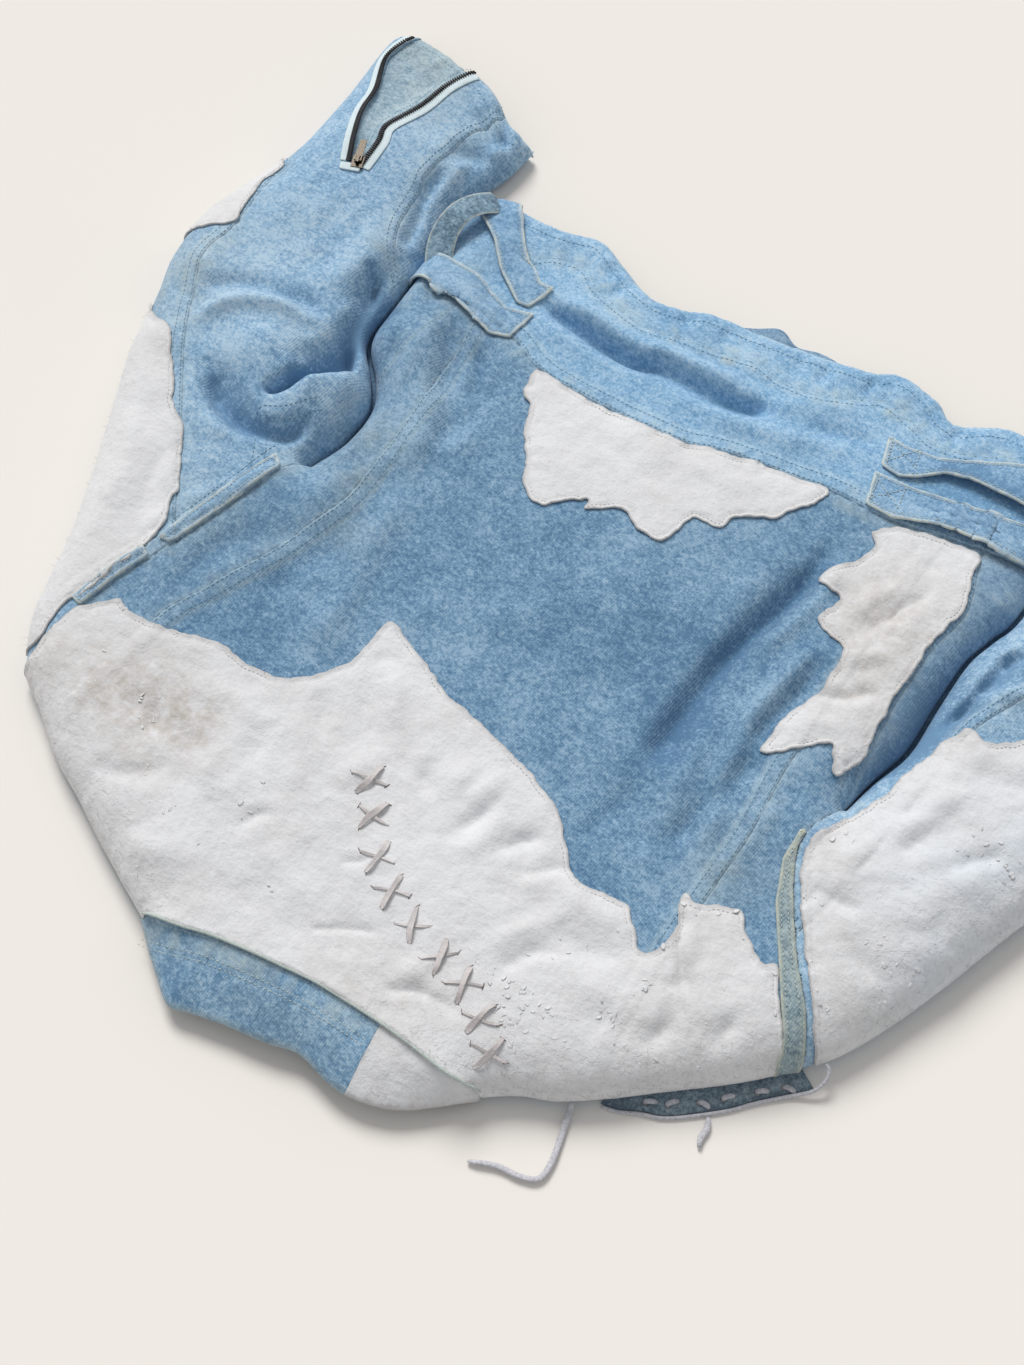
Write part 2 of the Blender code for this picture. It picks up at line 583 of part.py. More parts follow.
def sheet_pair(name, garment, upper_plan, lower_plan, collection):
    """Return an upper sheet and a whole tube, from two plan grids that share closed edges."""
    rows, columns = upper_plan.shape[:2]
    upper_points = upper_plan.reshape(-1, 2)
    lower_points = lower_plan.reshape(-1, 2)
    top = np.column_stack([upper_points, garment.upper(upper_points)])
    bottom = np.column_stack([lower_points, garment.lower(lower_points)])
    middle = (rows // 2) * columns + columns // 2
    edge_across = top[middle + 1] - top[middle]
    edge_onward = top[middle + columns] - top[middle]
    facing_up = np.cross(edge_across, edge_onward)[2] > 0
    top_faces = grid_faces(rows, columns, flipped=not facing_up)
    bottom_faces = grid_faces(rows, columns, start=len(top), flipped=facing_up)
    upper = sheet_object(name + "_upper_sheet", top, top_faces, collection)
    both = np.vstack([top, bottom])
    tube = sheet_object(name + "_tube_sheet", both, top_faces + bottom_faces, collection)
    for sheet in (upper, tube):
        sheet.hide_render = True
        sheet.display_type = "WIRE"
    return upper, tube


def sleeve_sheets(garment, side, collection):
    """Return a sleeve's upper sheet alone, and the whole sleeve tube."""
    if side == "left":
        outer, inner, armhole, push = garment.outer_left, garment.inner_left, garment.armhole_left, 1.0
        cuff = smooth_line(CUFF_LEFT)
    else:
        outer, inner, armhole, push = garment.outer_right, garment.inner_right, garment.armhole_right, -1.0
        cuff = smooth_line(CUFF_RIGHT)
    armhole_length = length_of(armhole)
    inner_length = length_of(inner)
    tip = SLEEVE_TIP / armhole_length
    armhole_levels = [level for level in spacing(armhole_length, False, False) if level > tip]
    armhole_levels.insert(0, tip)
    inner_levels = spacing(inner_length, False, False)
    seam_points = levels_on(armhole[::-1], inner, armhole_levels, inner_levels)
    under = len(armhole_levels) - 1
    for index in range(1, under):
        ramp = min(1.0, index / 2.0, (under - index) / 2.0)
        seam_points[index, 0] += push * ARMHOLE_OVERRUN * ramp
    share = armhole_length / (armhole_length + inner_length)
    onward = [level * share for level in armhole_levels]
    onward += [share + level * (1 - share) for level in inner_levels[1:]]
    outer_points = along(outer, onward)
    across = spacing(SLEEVE_WIDTH, True, True)
    u = np.array(across)[None, :, None]
    plan = (1 - u) * outer_points[:, None] + u * seam_points[:, None]
    bow = along(cuff, across) - plan[-1]
    fade = np.clip((np.array(onward) - BOW_STARTS) / (1.0 - BOW_STARTS), 0.0, 1.0) ** 2
    plan = plan + fade[:, None, None] * bow[None]
    return sheet_pair("sleeve_" + side, garment, plan, plan, collection)


def beside(line, shift, far):
    """Return the outline of the region between a shifted line and the same line moved far off."""
    moved = shifted(np.array(line, dtype=float), shift)
    away = np.array(far)
    return [tuple(point) for point in moved] + [tuple(moved[-1] + away), tuple(moved[0] + away)]


def ribbon(line, left, right):
    """Return the outline of a strip that follows a line."""
    middle = np.array(line, dtype=float)
    ahead = [tuple(point) for point in shifted(middle, left)]
    back = [tuple(point) for point in shifted(middle, -right)]
    return ahead + back[::-1]


def armhole_cut(armhole, start):
    """Return the line that trims an armhole, begun a little way up the side."""
    return joined([start, tuple(armhole[0])], armhole[::4])


def points_of(line):
    """Return a line's points as plain pairs."""
    return [tuple(point) for point in line]


def right_side_line(garment):
    """Return the seam between back and front on the right, carried on past the shoulder."""
    seam = smooth_line(SIDE_SEAM_RIGHT, SEAM_POINTS)
    return joined(seam, garment.armhole_right[::4], [SHOULDER_CORNER_RIGHT, PAST_SHOULDER_RIGHT])


def build_back(builder, tube):
    """Make the three back panels and the back of the waistband."""
    garment = builder.garment
    seam_left = smooth_line(BACK_SEAM_LEFT, SEAM_POINTS)
    seam_right = smooth_line(BACK_SEAM_RIGHT, SEAM_POINTS)
    band = smooth_line(BAND_SEAM, SEAM_POINTS)
    below_band = beside(band, -HALF_GAP, (0.0, -FAR))
    armhole_line = armhole_cut(garment.armhole_left, ABOVE_UNDERARM_LEFT)
    armhole_left = beside(armhole_line, HALF_GAP, (-FAR, 0.0))
    side = right_side_line(garment)

    left = builder.piece("back_left", tube, "denim", -DENIM)
    builder.keep(left, beside(seam_left, -HALF_GAP, (-FAR, 0.0)), UPPER_FROM)
    builder.keep(left, below_band)
    builder.remove(left, armhole_left)

    centre = builder.piece("back_centre", tube, "denim", -DENIM)
    between = points_of(shifted(seam_left, HALF_GAP)) + BEYOND_NECK
    between += points_of(shifted(seam_right, -HALF_GAP))[::-1]
    builder.keep(centre, between, UPPER_FROM)
    builder.keep(centre, below_band)
    builder.remove(centre, beside(smooth_line(NECK, SEAM_POINTS), 0.0, (0.0, -FAR)))

    right = builder.piece("back_right", tube, "denim", -DENIM)
    builder.keep(right, beside(side, -HALF_GAP, (-FAR, 0.0)), UPPER_FROM)
    builder.keep(right, beside(seam_right, HALF_GAP, (FAR, 0.0)))
    builder.keep(right, below_band)

    waistband = builder.piece("waistband_back", tube, "denim", -DENIM)
    builder.keep(waistband, beside(band, HALF_GAP, (0.0, FAR)), UPPER_FROM)


def build_front(builder, tube):
    """Make the two fronts and the two halves of the waistband under them, plain and flat."""
    garment = builder.garment
    band = smooth_line(BAND_SEAM, SEAM_POINTS)
    below_band = beside(band, -HALF_GAP, (0.0, -FAR))
    above_band = beside(band, HALF_GAP, (0.0, FAR))
    neck = beside(smooth_line(FRONT_NECK, SEAM_POINTS), 0.0, (0.0, -FAR))
    left_half = beside(FRONT_OPENING, HALF_GAP, (-FAR, 0.0))
    right_half = beside(FRONT_OPENING, -HALF_GAP, (FAR, 0.0))
    side = right_side_line(garment)

    left = builder.piece("front_left", tube, "denim", -DENIM)
    builder.keep(left, left_half, BLADE_BOTTOM, LOWER_TO)
    builder.keep(left, below_band)
    armhole_left = armhole_cut(garment.armhole_left, ABOVE_UNDERARM_LEFT)
    builder.remove(left, beside(armhole_left, HALF_GAP, (-FAR, 0.0)))
    builder.remove(left, neck)

    right = builder.piece("front_right", tube, "denim", -DENIM)
    builder.keep(right, right_half)
    builder.remove(right, beside(side, HALF_GAP, (-FAR, 0.0)), LOWER_TO)
    builder.keep(right, below_band)
    armhole_right = armhole_cut(garment.armhole_right, ABOVE_UNDERARM_RIGHT)
    builder.remove(right, beside(armhole_right, -HALF_GAP, (FAR, 0.0)))
    builder.remove(right, neck)

    pieces = [left, right]
    for name, half in (("waistband_front_left", left_half), ("waistband_front_right", right_half)):
        made = builder.piece(name, tube, "denim", -DENIM)
        builder.keep(made, half, BLADE_BOTTOM, LOWER_TO)
        builder.keep(made, above_band)
        pieces.append(made)
    for made in pieces:
        builder.thin_out(made)


def under_sleeve_region(side, gap):
    """Return the outline of a sleeve's under piece, which faces up when the jacket lies on its front."""
    if side == "left":
        seam = points_of(shifted(smooth_line(SLEEVE_SEAM_LEFT, SEAM_POINTS), -gap))
        inner = points_of(shifted(smooth_line(UNDERARM_SEAM_LEFT, SEAM_POINTS), -gap))
        return seam + UNDER_LEFT_CUFF_CORNERS + inner + UNDER_LEFT_BODY_CORNERS
    seam = points_of(shifted(smooth_line(SLEEVE_SEAM_RIGHT, SEAM_POINTS), gap))
    inner = points_of(shifted(smooth_line(UNDERARM_SEAM_RIGHT, SEAM_POINTS), gap))
    return seam + UNDER_RIGHT_CUFF_CORNERS + inner + UNDER_RIGHT_BODY_CORNERS


def build_sleeve(builder, tube, side):
    """Make the upper-arm piece and the under piece of one sleeve."""
    garment = builder.garment
    if side == "left":
        line = armhole_cut(garment.armhole_left, ABOVE_UNDERARM_LEFT)
        armhole = beside(line, -HALF_GAP, (FAR, 0.0))
    else:
        line = armhole_cut(garment.armhole_right, ABOVE_UNDERARM_RIGHT)
        armhole = beside(line, HALF_GAP, (-FAR, 0.0))
    under = builder.piece(f"sleeve_{side}_under", tube, "denim", -DENIM)
    builder.keep(under, under_sleeve_region(side, HALF_GAP), UPPER_FROM)
    builder.remove(under, armhole)
    top = builder.piece(f"sleeve_{side}_top", tube, "denim", -DENIM)
    builder.remove(top, under_sleeve_region(side, -HALF_GAP), LOWER_TO)
    builder.remove(top, armhole)
    builder.thin_out(top)
    if side == "left":
        builder.remove(under, CUFF_NOTCH, CUFF_CUT_FROM)


def build_cuff_zip(builder, sheet):
    """Make the gusset, the two tapes, the slider and the pull of the cuff's open zip."""
    gusset = builder.piece("cuff_gusset", sheet, "denim", -GUSSET_THICKNESS, -(DENIM + GUSSET_GAP))
    builder.keep(gusset, CUFF_GUSSET, CUFF_CUT_FROM)
    left = builder.piece("zip_tape_left", sheet, "zip_tape", TAPE_THICKNESS, LAYER_GAP)
    builder.keep(left, ribbon(ZIP_LEFT_LINE, TAPE_INNER_REACH, TAPE_OUTER_REACH), TAPE_CUT_FROM)
    right = builder.piece("zip_tape_right", sheet, "zip_tape", TAPE_THICKNESS, LAYER_GAP)
    builder.keep(right, ribbon(ZIP_RIGHT_LINE, TAPE_OUTER_REACH, TAPE_INNER_REACH), TAPE_CUT_FROM)


def slider_frame(garment):
    """Return the matrix that seats the slider on the tapes, its Y axis pointing to the cuff."""
    x, y = SLIDER_AT
    spots = np.array([(x, y), (x + 4, y), (x - 4, y), (x, y + 4), (x, y - 4)])
    heights = garment.upper(spots)
    normal = Vector(((heights[2] - heights[1]) / 8, (heights[4] - heights[3]) / 8, 1.0)).normalized()
    heading = math.radians(SLIDER_HEADING)
    ahead = Vector((math.cos(heading), math.sin(heading), 0.0))
    ahead = (ahead - normal * ahead.dot(normal)).normalized()
    across = ahead.cross(normal)
    lift = LAYER_GAP + TAPE_THICKNESS + SLIDER_LIFT
    seat = Vector((x, y, float(heights[0]))) + normal * lift
    turn = Matrix((across, ahead, normal)).transposed().to_4x4()
    return Matrix.Translation(seat * MM) @ turn


def box_mesh(name, size, centre, collection):
    """Return a box object of millimetre size about a centre."""
    shape = bmesh.new()
    bmesh.ops.create_cube(shape, size=1.0)
    bmesh.ops.scale(shape, verts=shape.verts, vec=[value * MM for value in size])
    bmesh.ops.translate(shape, verts=shape.verts, vec=[value * MM for value in centre])
    mesh = bpy.data.meshes.new(name)
    shape.to_mesh(mesh)
    shape.free()
    made = bpy.data.objects.new(name, mesh)
    collection.objects.link(made)
    return made


def as_cutter(made):
    """Mark an object as a cutter."""
    made.hide_render = True
    made.display_type = "WIRE"
    return made


def build_slider(builder):
    """Make the slider with its bridge, and the pull that swings about the bridge."""
    place = slider_frame(builder.garment)
    slider = box_mesh("zip_slider", SLIDER_BASE, (0, 0, SLIDER_BASE[2] / 2), builder.parts)
    slider.data.materials.append(builder.materials["zip_metal"])
    slider.matrix_world = place
    bridge_centre = (0, 0, SLIDER_BASE[2] - BRIDGE_SINK + BRIDGE[2] / 2)
    bridge = as_cutter(box_mesh("slider_bridge", BRIDGE, bridge_centre, builder.cutters))
    bridge.matrix_world = place
    builder.boolean(slider, "UNION", bridge)
    shape = bmesh.new()
    bmesh.ops.create_cone(shape, cap_ends=True, segments=16, radius1=BRIDGE_HOLE_RADIUS * MM,
                          radius2=BRIDGE_HOLE_RADIUS * MM, depth=CUTTER_DEPTH * MM)
    bmesh.ops.rotate(shape, verts=shape.verts, matrix=Matrix.Rotation(math.pi / 2, 3, "Y"))
    bmesh.ops.translate(shape, verts=shape.verts, vec=(0, 0, PULL_PIVOT_HEIGHT * MM))
    mesh = bpy.data.meshes.new("slider_hole")
    shape.to_mesh(mesh)
    shape.free()
    hole = as_cutter(bpy.data.objects.new("slider_hole", mesh))
    builder.cutters.objects.link(hole)
    hole.matrix_world = place
    builder.boolean(slider, "DIFFERENCE", hole)

    half = PULL_THICKNESS / 2
    pull = slab("zip_pull", PULL_PLATE, -half, half, builder.parts)
    pull.data.materials.append(builder.materials["zip_metal"])
    pull.matrix_world = place @ Matrix.Translation((0, 0, PULL_PIVOT_HEIGHT * MM))
    middle = (0, PULL_BAR[1] + PULL_WINDOW[1] / 2, 0)
    window = as_cutter(box_mesh("pull_window", (*PULL_WINDOW, 4.0), middle, builder.cutters))
    window.matrix_world = pull.matrix_world
    builder.boolean(pull, "DIFFERENCE", window)


def slab(name, outline, low, high, collection):
    """Return a flat plate with the given outline."""
    shape = bmesh.new()
    corners = [shape.verts.new((x * MM, y * MM, low * MM)) for x, y in outline]
    base = shape.faces.new(corners)
    raised = bmesh.ops.extrude_face_region(shape, geom=[base])
    tops = [item for item in raised["geom"] if isinstance(item, bmesh.types.BMVert)]
    bmesh.ops.translate(shape, verts=tops, vec=(0.0, 0.0, (high - low) * MM))
    bmesh.ops.triangulate(shape, faces=shape.faces)
    bmesh.ops.recalc_face_normals(shape, faces=shape.faces)
    mesh = bpy.data.meshes.new(name)
    shape.to_mesh(mesh)
    shape.free()
    made = bpy.data.objects.new(name, mesh)
    collection.objects.link(made)
    return made


def build_patches(builder, sheets):
    """Make the suede patches, each lifted from the points of the panel under it."""
    garment = builder.garment
    armhole = [tuple(p) for p in shifted(garment.armhole_left, EDGE_GAP)[::4] if p[1] < -146]
    band_edge = points_of(shifted(np.array(ARMHOLE_BAND_RIGHT[3:], dtype=float), -EDGE_GAP))
    yoke = YOKE_EDGE + band_edge + YOKE_BEYOND_SHOULDER + armhole[::-1]
    band = smooth_line(BAND_SEAM, SEAM_POINTS)
    under_band = [tuple(p) for p in shifted(band, -EDGE_GAP) if -129 < p[0] < 103]
    patches = [
        ("yoke_patch", "body", yoke, UPPER_FROM),
        ("hem_patch", "body", HEM_PATCH_EDGE + under_band[::-1], UPPER_FROM),
        ("side_patch", "body", SIDE_PATCH, UPPER_FROM),
        ("sleeve_left_patch", "sleeve_left", SLEEVE_LEFT_PATCH, UPPER_FROM),
        ("sleeve_left_small_patch", "sleeve_left", SLEEVE_LEFT_SMALL_PATCH, UPPER_FROM),
        ("sleeve_right_patch", "sleeve_right", SLEEVE_RIGHT_PATCH, UPPER_FROM)]
    for name, sheet, outline, low in patches:
        patch = builder.piece(name, sheets[sheet], "suede", SUEDE, LAYER_GAP)
        builder.keep(patch, outline, low)
    outside_neck = beside(smooth_line(NECK, SEAM_POINTS), 0.0, (0.0, -FAR))
    builder.remove(builder.parts.objects["yoke_patch"], outside_neck)


def build_straps(builder, sheets):
    """Make the four side straps and the two armhole bands."""
    garment = builder.garment
    band_left = [tuple(p) for p in shifted(garment.armhole_left, -EDGE_GAP)[::4] if -96 < p[1] < 10]
    band_right = [tuple(p) for p in shifted(garment.armhole_right, -EDGE_GAP)[::4] if p[1] < -44]
    strips = [
        ("strap_upper_left", "body", STRAP_UPPER_LEFT, STRAP_THICKNESS),
        ("strap_lower_left", "body", STRAP_LOWER_LEFT, STRAP_THICKNESS),
        ("strap_upper_right", "body", STRAP_UPPER_RIGHT, STRAP_THICKNESS),
        ("strap_lower_right", "body", STRAP_LOWER_RIGHT, STRAP_THICKNESS),
        ("armhole_band_left", "sleeve_left", ARMHOLE_BAND_LEFT + band_left[::-1], BAND_THICKNESS),
        ("armhole_band_right", "body", ARMHOLE_BAND_RIGHT + band_right[::-1], BAND_THICKNESS)]
    for name, sheet, outline, thickness in strips:
        strip = builder.piece(name, sheets[sheet], "denim", thickness, LAYER_GAP)
        builder.keep(strip, outline, UPPER_FROM)


def cross_outline(x, y, first, second):
    """Return the outline of two crossing thongs, turned to their own angles in degrees."""
    half, reach = THONG_WIDTH / 2, THONG_CROSS_LENGTH / 2
    arms = []
    for angle in (first, second, first + 180, second + 180):
        arms.append(math.radians(angle) % (2 * math.pi))
    arms.sort()
    outline = []
    for index, angle in enumerate(arms):
        following = arms[(index + 1) % 4]
        ahead = np.array((math.cos(angle), math.sin(angle)))
        side = np.array((-ahead[1], ahead[0]))
        outline.append(np.array((x, y)) + ahead * reach - side * half)
        outline.append(np.array((x, y)) + ahead * reach + side * half)
        turn = (following - angle) % (2 * math.pi)
        outline.append(np.array((x, y)) + (ahead / math.tan(turn / 2) + side) * half)
    return [tuple(point) for point in outline]


def build_lacing(builder, sheet):
    """Make the row of crossed suede thongs on the yoke patch."""
    lift = 2 * LAYER_GAP + SUEDE
    for number, (x, y, first, second) in enumerate(LACING, start=1):
        cross = builder.piece(f"lace_cross_{number}", sheet, "suede", SUEDE, lift)
        builder.keep(cross, cross_outline(x, y, first, second), UPPER_FROM)


def plain_sheet(name, first, second, heights, collection, rows=5):
    """Return a sheet between two lines of as many points, with a height for each point."""
    start, end = np.array(first, dtype=float), np.array(second, dtype=float)
    columns = len(start)
    points = []
    for row in range(rows):
        share = row / (rows - 1)
        for column in range(columns):
            x, y = start[column] * (1 - share) + end[column] * share
            points.append((x, y, heights(column / (columns - 1), share)))
    faces = grid_faces(rows, columns, flipped=True)
    sheet = sheet_object(name, points, faces, collection)
    return as_cutter(sheet)


def build_collar(builder):
    """Make the stand collar, denim with a suede end, and its plain half underneath."""
    garment = builder.garment
    fractions = np.linspace(COLLAR_END_INSET, 1.0 - COLLAR_END_INSET, 15)
    seam = along(shifted(garment.neck, COLLAR_OVERRUN), fractions)
    outer = along(smooth_line(COLLAR_OUTER), fractions)

    def upper_height(u, v):
        """Return the collar's height, falling from the neck seam to its outer edge."""
        at_seam = float(garment.upper(np.array([seam[round(u * (len(seam) - 1))]]))[0])
        place = COLLAR_END_INSET + (1.0 - 2.0 * COLLAR_END_INSET) * u
        at_edge = COLLAR_EDGE_LOW + COLLAR_EDGE_LIFT * math.sqrt(math.sin(math.pi * place))
        belly = COLLAR_BELLY * math.sin(math.pi * v) * math.sin(math.pi * u)
        return at_seam * (1 - v) + at_edge * v + belly

    def lower_height(u, v):
        """Return the plain under half's height, which lies on the floor and lifts outward."""
        return COLLAR_UNDER_THICKNESS + COLLAR_UNDER_LIFT * v * math.sin(math.pi * u)

    sheet = plain_sheet("collar_sheet", seam, outer, upper_height, builder.cutters)
    outside_neck = beside(smooth_line(NECK, SEAM_POINTS), -SEAM_GAP, (0.0, -FAR))
    denim = builder.piece("collar_denim", sheet, "denim", -COLLAR_THICKNESS)
    builder.keep(denim, beside(COLLAR_SPLIT, -HALF_GAP, (-FAR, 0.0)))
    builder.keep(denim, outside_neck)
    suede = builder.piece("collar_suede", sheet, "suede", -COLLAR_THICKNESS)
    builder.keep(suede, outside_neck)
    builder.keep(suede, beside(COLLAR_SPLIT, HALF_GAP, (FAR, 0.0)))
    scoop = along(smooth_line(FRONT_NECK), np.linspace(0.04, 0.96, 11))
    inset = along(smooth_line(COLLAR_OUTER), np.linspace(0.14, 0.86, 11))
    inset += np.array((0.0, COLLAR_UNDER_INSET))
    start = shifted(scoop, COLLAR_OVERRUN)
    under = plain_sheet("collar_under_sheet", start, inset, lower_height, builder.cutters)
    under_half = builder.piece("collar_under", under, "denim", -COLLAR_UNDER_THICKNESS)
    builder.keep(under_half, beside(smooth_line(FRONT_NECK, SEAM_POINTS), -SEAM_GAP, (0.0, -FAR)))


def build_strip(builder):
    """Make the laced strip that shows below the right shoulder, with its round lace holes."""
    strip = slab("laced_strip", STRIP_OUTER + STRIP_INNER[::-1], 0.0, STRIP_THICKNESS, builder.parts)
    strip.data.materials.append(builder.materials["denim"])
    shape = bmesh.new()
    for x, y in LACE_HOLES:
        made = bmesh.ops.create_cone(shape, cap_ends=True, segments=8, radius1=LACE_HOLE_RADIUS * MM,
                                     radius2=LACE_HOLE_RADIUS * MM, depth=CUTTER_DEPTH * MM)
        bmesh.ops.translate(shape, verts=made["verts"], vec=(x * MM, y * MM, 0.0))
    mesh = bpy.data.meshes.new("lace_holes")
    shape.to_mesh(mesh)
    shape.free()
    holes = as_cutter(bpy.data.objects.new("lace_holes", mesh))
    builder.cutters.objects.link(holes)
    builder.boolean(strip, "DIFFERENCE", holes)


def round_cord(builder, name, route, diameter, spacing_mm):
    """Make a round cord through a smooth route."""
    flat = smooth_route(route)
    count = max(4, round(length_3d(flat) / spacing_mm))
    points = resample_route(flat, count)
    curve = bpy.data.curves.new(name, "CURVE")
    curve.dimensions = "3D"
    curve.bevel_depth = diameter / 2 * MM
    curve.bevel_resolution = 2
    curve.use_fill_caps = True
    spline = curve.splines.new("POLY")
    spline.points.add(len(points) - 1)
    for spot, (x, y, z) in zip(spline.points, points):
        spot.co = (x * MM, y * MM, z * MM, 1.0)
    curve.materials.append(builder.materials["suede"])
    builder.parts.objects.link(bpy.data.objects.new(name, curve))


def smooth_route(route):
    """Return a dense smooth route through three-dimensional points."""
    given = np.array(route, dtype=float)
    chain = np.vstack([2 * given[0] - given[1], given, 2 * given[-1] - given[-2]])
    line = []
    for index in range(1, len(chain) - 2):
        p0, p1, p2, p3 = chain[index - 1:index + 3]
        for step in range(8):
            t = step / 8
            line.append(0.5 * (2 * p1 + (p2 - p0) * t + (2 * p0 - 5 * p1 + 4 * p2 - p3) * t ** 2
                               + (3 * p1 - p0 - 3 * p2 + p3) * t ** 3))
    line.append(given[-1])
    return np.array(line)


def length_3d(line):
    """Return the length of a route."""
    return float(np.sqrt((np.diff(line, axis=0) ** 2).sum(axis=1)).sum())


def resample_route(line, count):
    """Return evenly spaced points on a route."""
    steps = np.sqrt((np.diff(line, axis=0) ** 2).sum(axis=1))
    reached = np.concatenate([[0.0], np.cumsum(steps)])
    wanted = np.linspace(0.0, reached[-1], count + 1)
    return np.column_stack([np.interp(wanted, reached, line[:, axis]) for axis in range(3)])


def main():
    """Build the whole jacket."""
    clear_scene()
    garment = Garment()
    builder = Builder(garment)
    body_upper, body_tube = body_sheets(garment, builder.cutters)
    left_upper, left_tube = sleeve_sheets(garment, "left", builder.cutters)
    right_upper, right_tube = sleeve_sheets(garment, "right", builder.cutters)
    sheets = {"body": body_upper, "sleeve_left": left_upper, "sleeve_right": right_upper}
    build_back(builder, body_tube)
    build_front(builder, body_tube)
    build_sleeve(builder, left_tube, "left")
    build_sleeve(builder, right_tube, "right")
    build_collar(builder)
    build_patches(builder, sheets)
    build_straps(builder, sheets)
    build_lacing(builder, body_upper)
    build_cuff_zip(builder, left_upper)
    build_slider(builder)
    build_strip(builder)
    round_cord(builder, "strip_piping", STRIP_PIPING_ROUTE, PIPING_DIAMETER, 8.0)
    round_cord(builder, "lace_long", LACE_LONG_ROUTE, LACE_DIAMETER, 9.0)
    round_cord(builder, "lace_short", LACE_SHORT_ROUTE, LACE_DIAMETER, 6.0)


main()
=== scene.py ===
"""The looks of a cropped denim jacket with suede patches, laid flat on its front, back up.

X runs across the shoulders, Y from the collar to the hem and Z up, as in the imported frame.
Outlines and sizes are millimetres and become metres where meshes are made.
"""

import logging
import math
from dataclasses import dataclass, field
from enum import Enum

import bpy
import numpy as np
from mathutils import Matrix, Vector
from mathutils.geometry import delaunay_2d_cdt


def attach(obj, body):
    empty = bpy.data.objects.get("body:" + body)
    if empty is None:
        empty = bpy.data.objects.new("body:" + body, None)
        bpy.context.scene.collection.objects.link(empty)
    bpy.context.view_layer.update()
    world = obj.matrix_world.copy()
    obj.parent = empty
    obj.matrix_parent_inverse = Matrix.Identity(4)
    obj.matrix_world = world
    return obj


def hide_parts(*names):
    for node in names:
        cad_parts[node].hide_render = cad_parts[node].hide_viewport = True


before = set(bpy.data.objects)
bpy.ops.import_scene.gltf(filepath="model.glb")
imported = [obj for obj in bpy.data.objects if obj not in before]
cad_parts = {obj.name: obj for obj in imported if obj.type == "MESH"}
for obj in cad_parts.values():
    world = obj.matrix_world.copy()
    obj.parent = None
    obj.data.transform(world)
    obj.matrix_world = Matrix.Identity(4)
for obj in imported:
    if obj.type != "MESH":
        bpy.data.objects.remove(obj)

logging.basicConfig(level=logging.INFO, format="%(message)s")
LOG = logging.getLogger("jacket")

MM = 0.001
BODY = "jacket"
THONG_CROSS_LENGTH = 25.0
THONG_HALF_WIDTHS = (0.95, 2.1)
FLAKE_THICKNESS = 0.36
TAPE_THICKNESS = 0.8
TOOTH_SIZE = (4.2, 0.95, 1.6)
LACE_DIAMETER = 4.5
LACE_HOLE_RADIUS = 2.6
COLLAR_EDGE_LOW = 8.0
COLLAR_EDGE_LIFT = 9.0
COLLAR_BELLY = 2.5
COLLAR_UNDER_LIFT = 3.0
COLLAR_UNDER_INSET = 6.0
COLLAR_END_INSET = 0.03
FRONT_OPENING = [(14, -500), (14, 500)]

# Closed edges, where the upper and the lower wall of the cloth meet
SHOULDER_CORNER_LEFT = (-304, -217)
SHOULDER_CORNER_RIGHT = (290, -182)
UNDERARM_LEFT = (-229, 24)
UNDERARM_RIGHT = (230, -12)
HEM_CORNER_LEFT = (-265, 300)
HEM_CORNER_RIGHT = (265, 300)
PAST_SHOULDER_RIGHT = (300, -360)
NECK_LEFT = (-124, -320)
NECK_RIGHT = (127, -304)

SLEEVE_LEFT_OUTER = [
    SHOULDER_CORNER_LEFT, (-326, -174), (-338, -125), (-355, -76), (-379, -18), (-402, 38),
    (-418, 91), (-430, 128), (-432, 179), (-412, 262), (-410, 329), (-414, 404), (-402, 424)]
SLEEVE_RIGHT_OUTER = [
    SHOULDER_CORNER_RIGHT, (312, -150), (334, -103), (354, -49), (366, -18), (388, 38),
    (404, 91), (418, 128), (422, 179), (408, 262), (404, 329), (406, 404), (396, 424)]
VALLEY_LEFT = [
    UNDERARM_LEFT, (-220, 55), (-221, 91), (-235, 116), (-256, 142), (-260, 179), (-262, 230)]
VALLEY_RIGHT = [
    UNDERARM_RIGHT, (236, 16), (246, 50), (247, 92), (249, 133), (256, 158), (264, 182), (267, 230)]
SLEEVE_LEFT_INNER_END = [(-270, 261), (-273, 290), (-262, 323), (-256, 344), (-253, 374)]
SLEEVE_RIGHT_INNER_END = [(274, 261), (276, 290), (270, 323), (264, 344), (262, 374)]
ARMHOLE_LEFT = [
    UNDERARM_LEFT, (-236, 1), (-248, -46), (-264, -94), (-281, -136), (-299, -190),
    SHOULDER_CORNER_LEFT]
ARMHOLE_RIGHT = [
    UNDERARM_RIGHT, (218, -48), (222, -72), (238, -103), (257, -133), (276, -157),
    SHOULDER_CORNER_RIGHT]
SHOULDER_LEFT = [
    SHOULDER_CORNER_LEFT, (-275, -235), (-246, -256), (-208, -276), (-176, -294), NECK_LEFT]
SHOULDER_RIGHT = [
    NECK_RIGHT, (146, -291), (170, -280), (198, -260), (224, -239), (255, -214),
    SHOULDER_CORNER_RIGHT]

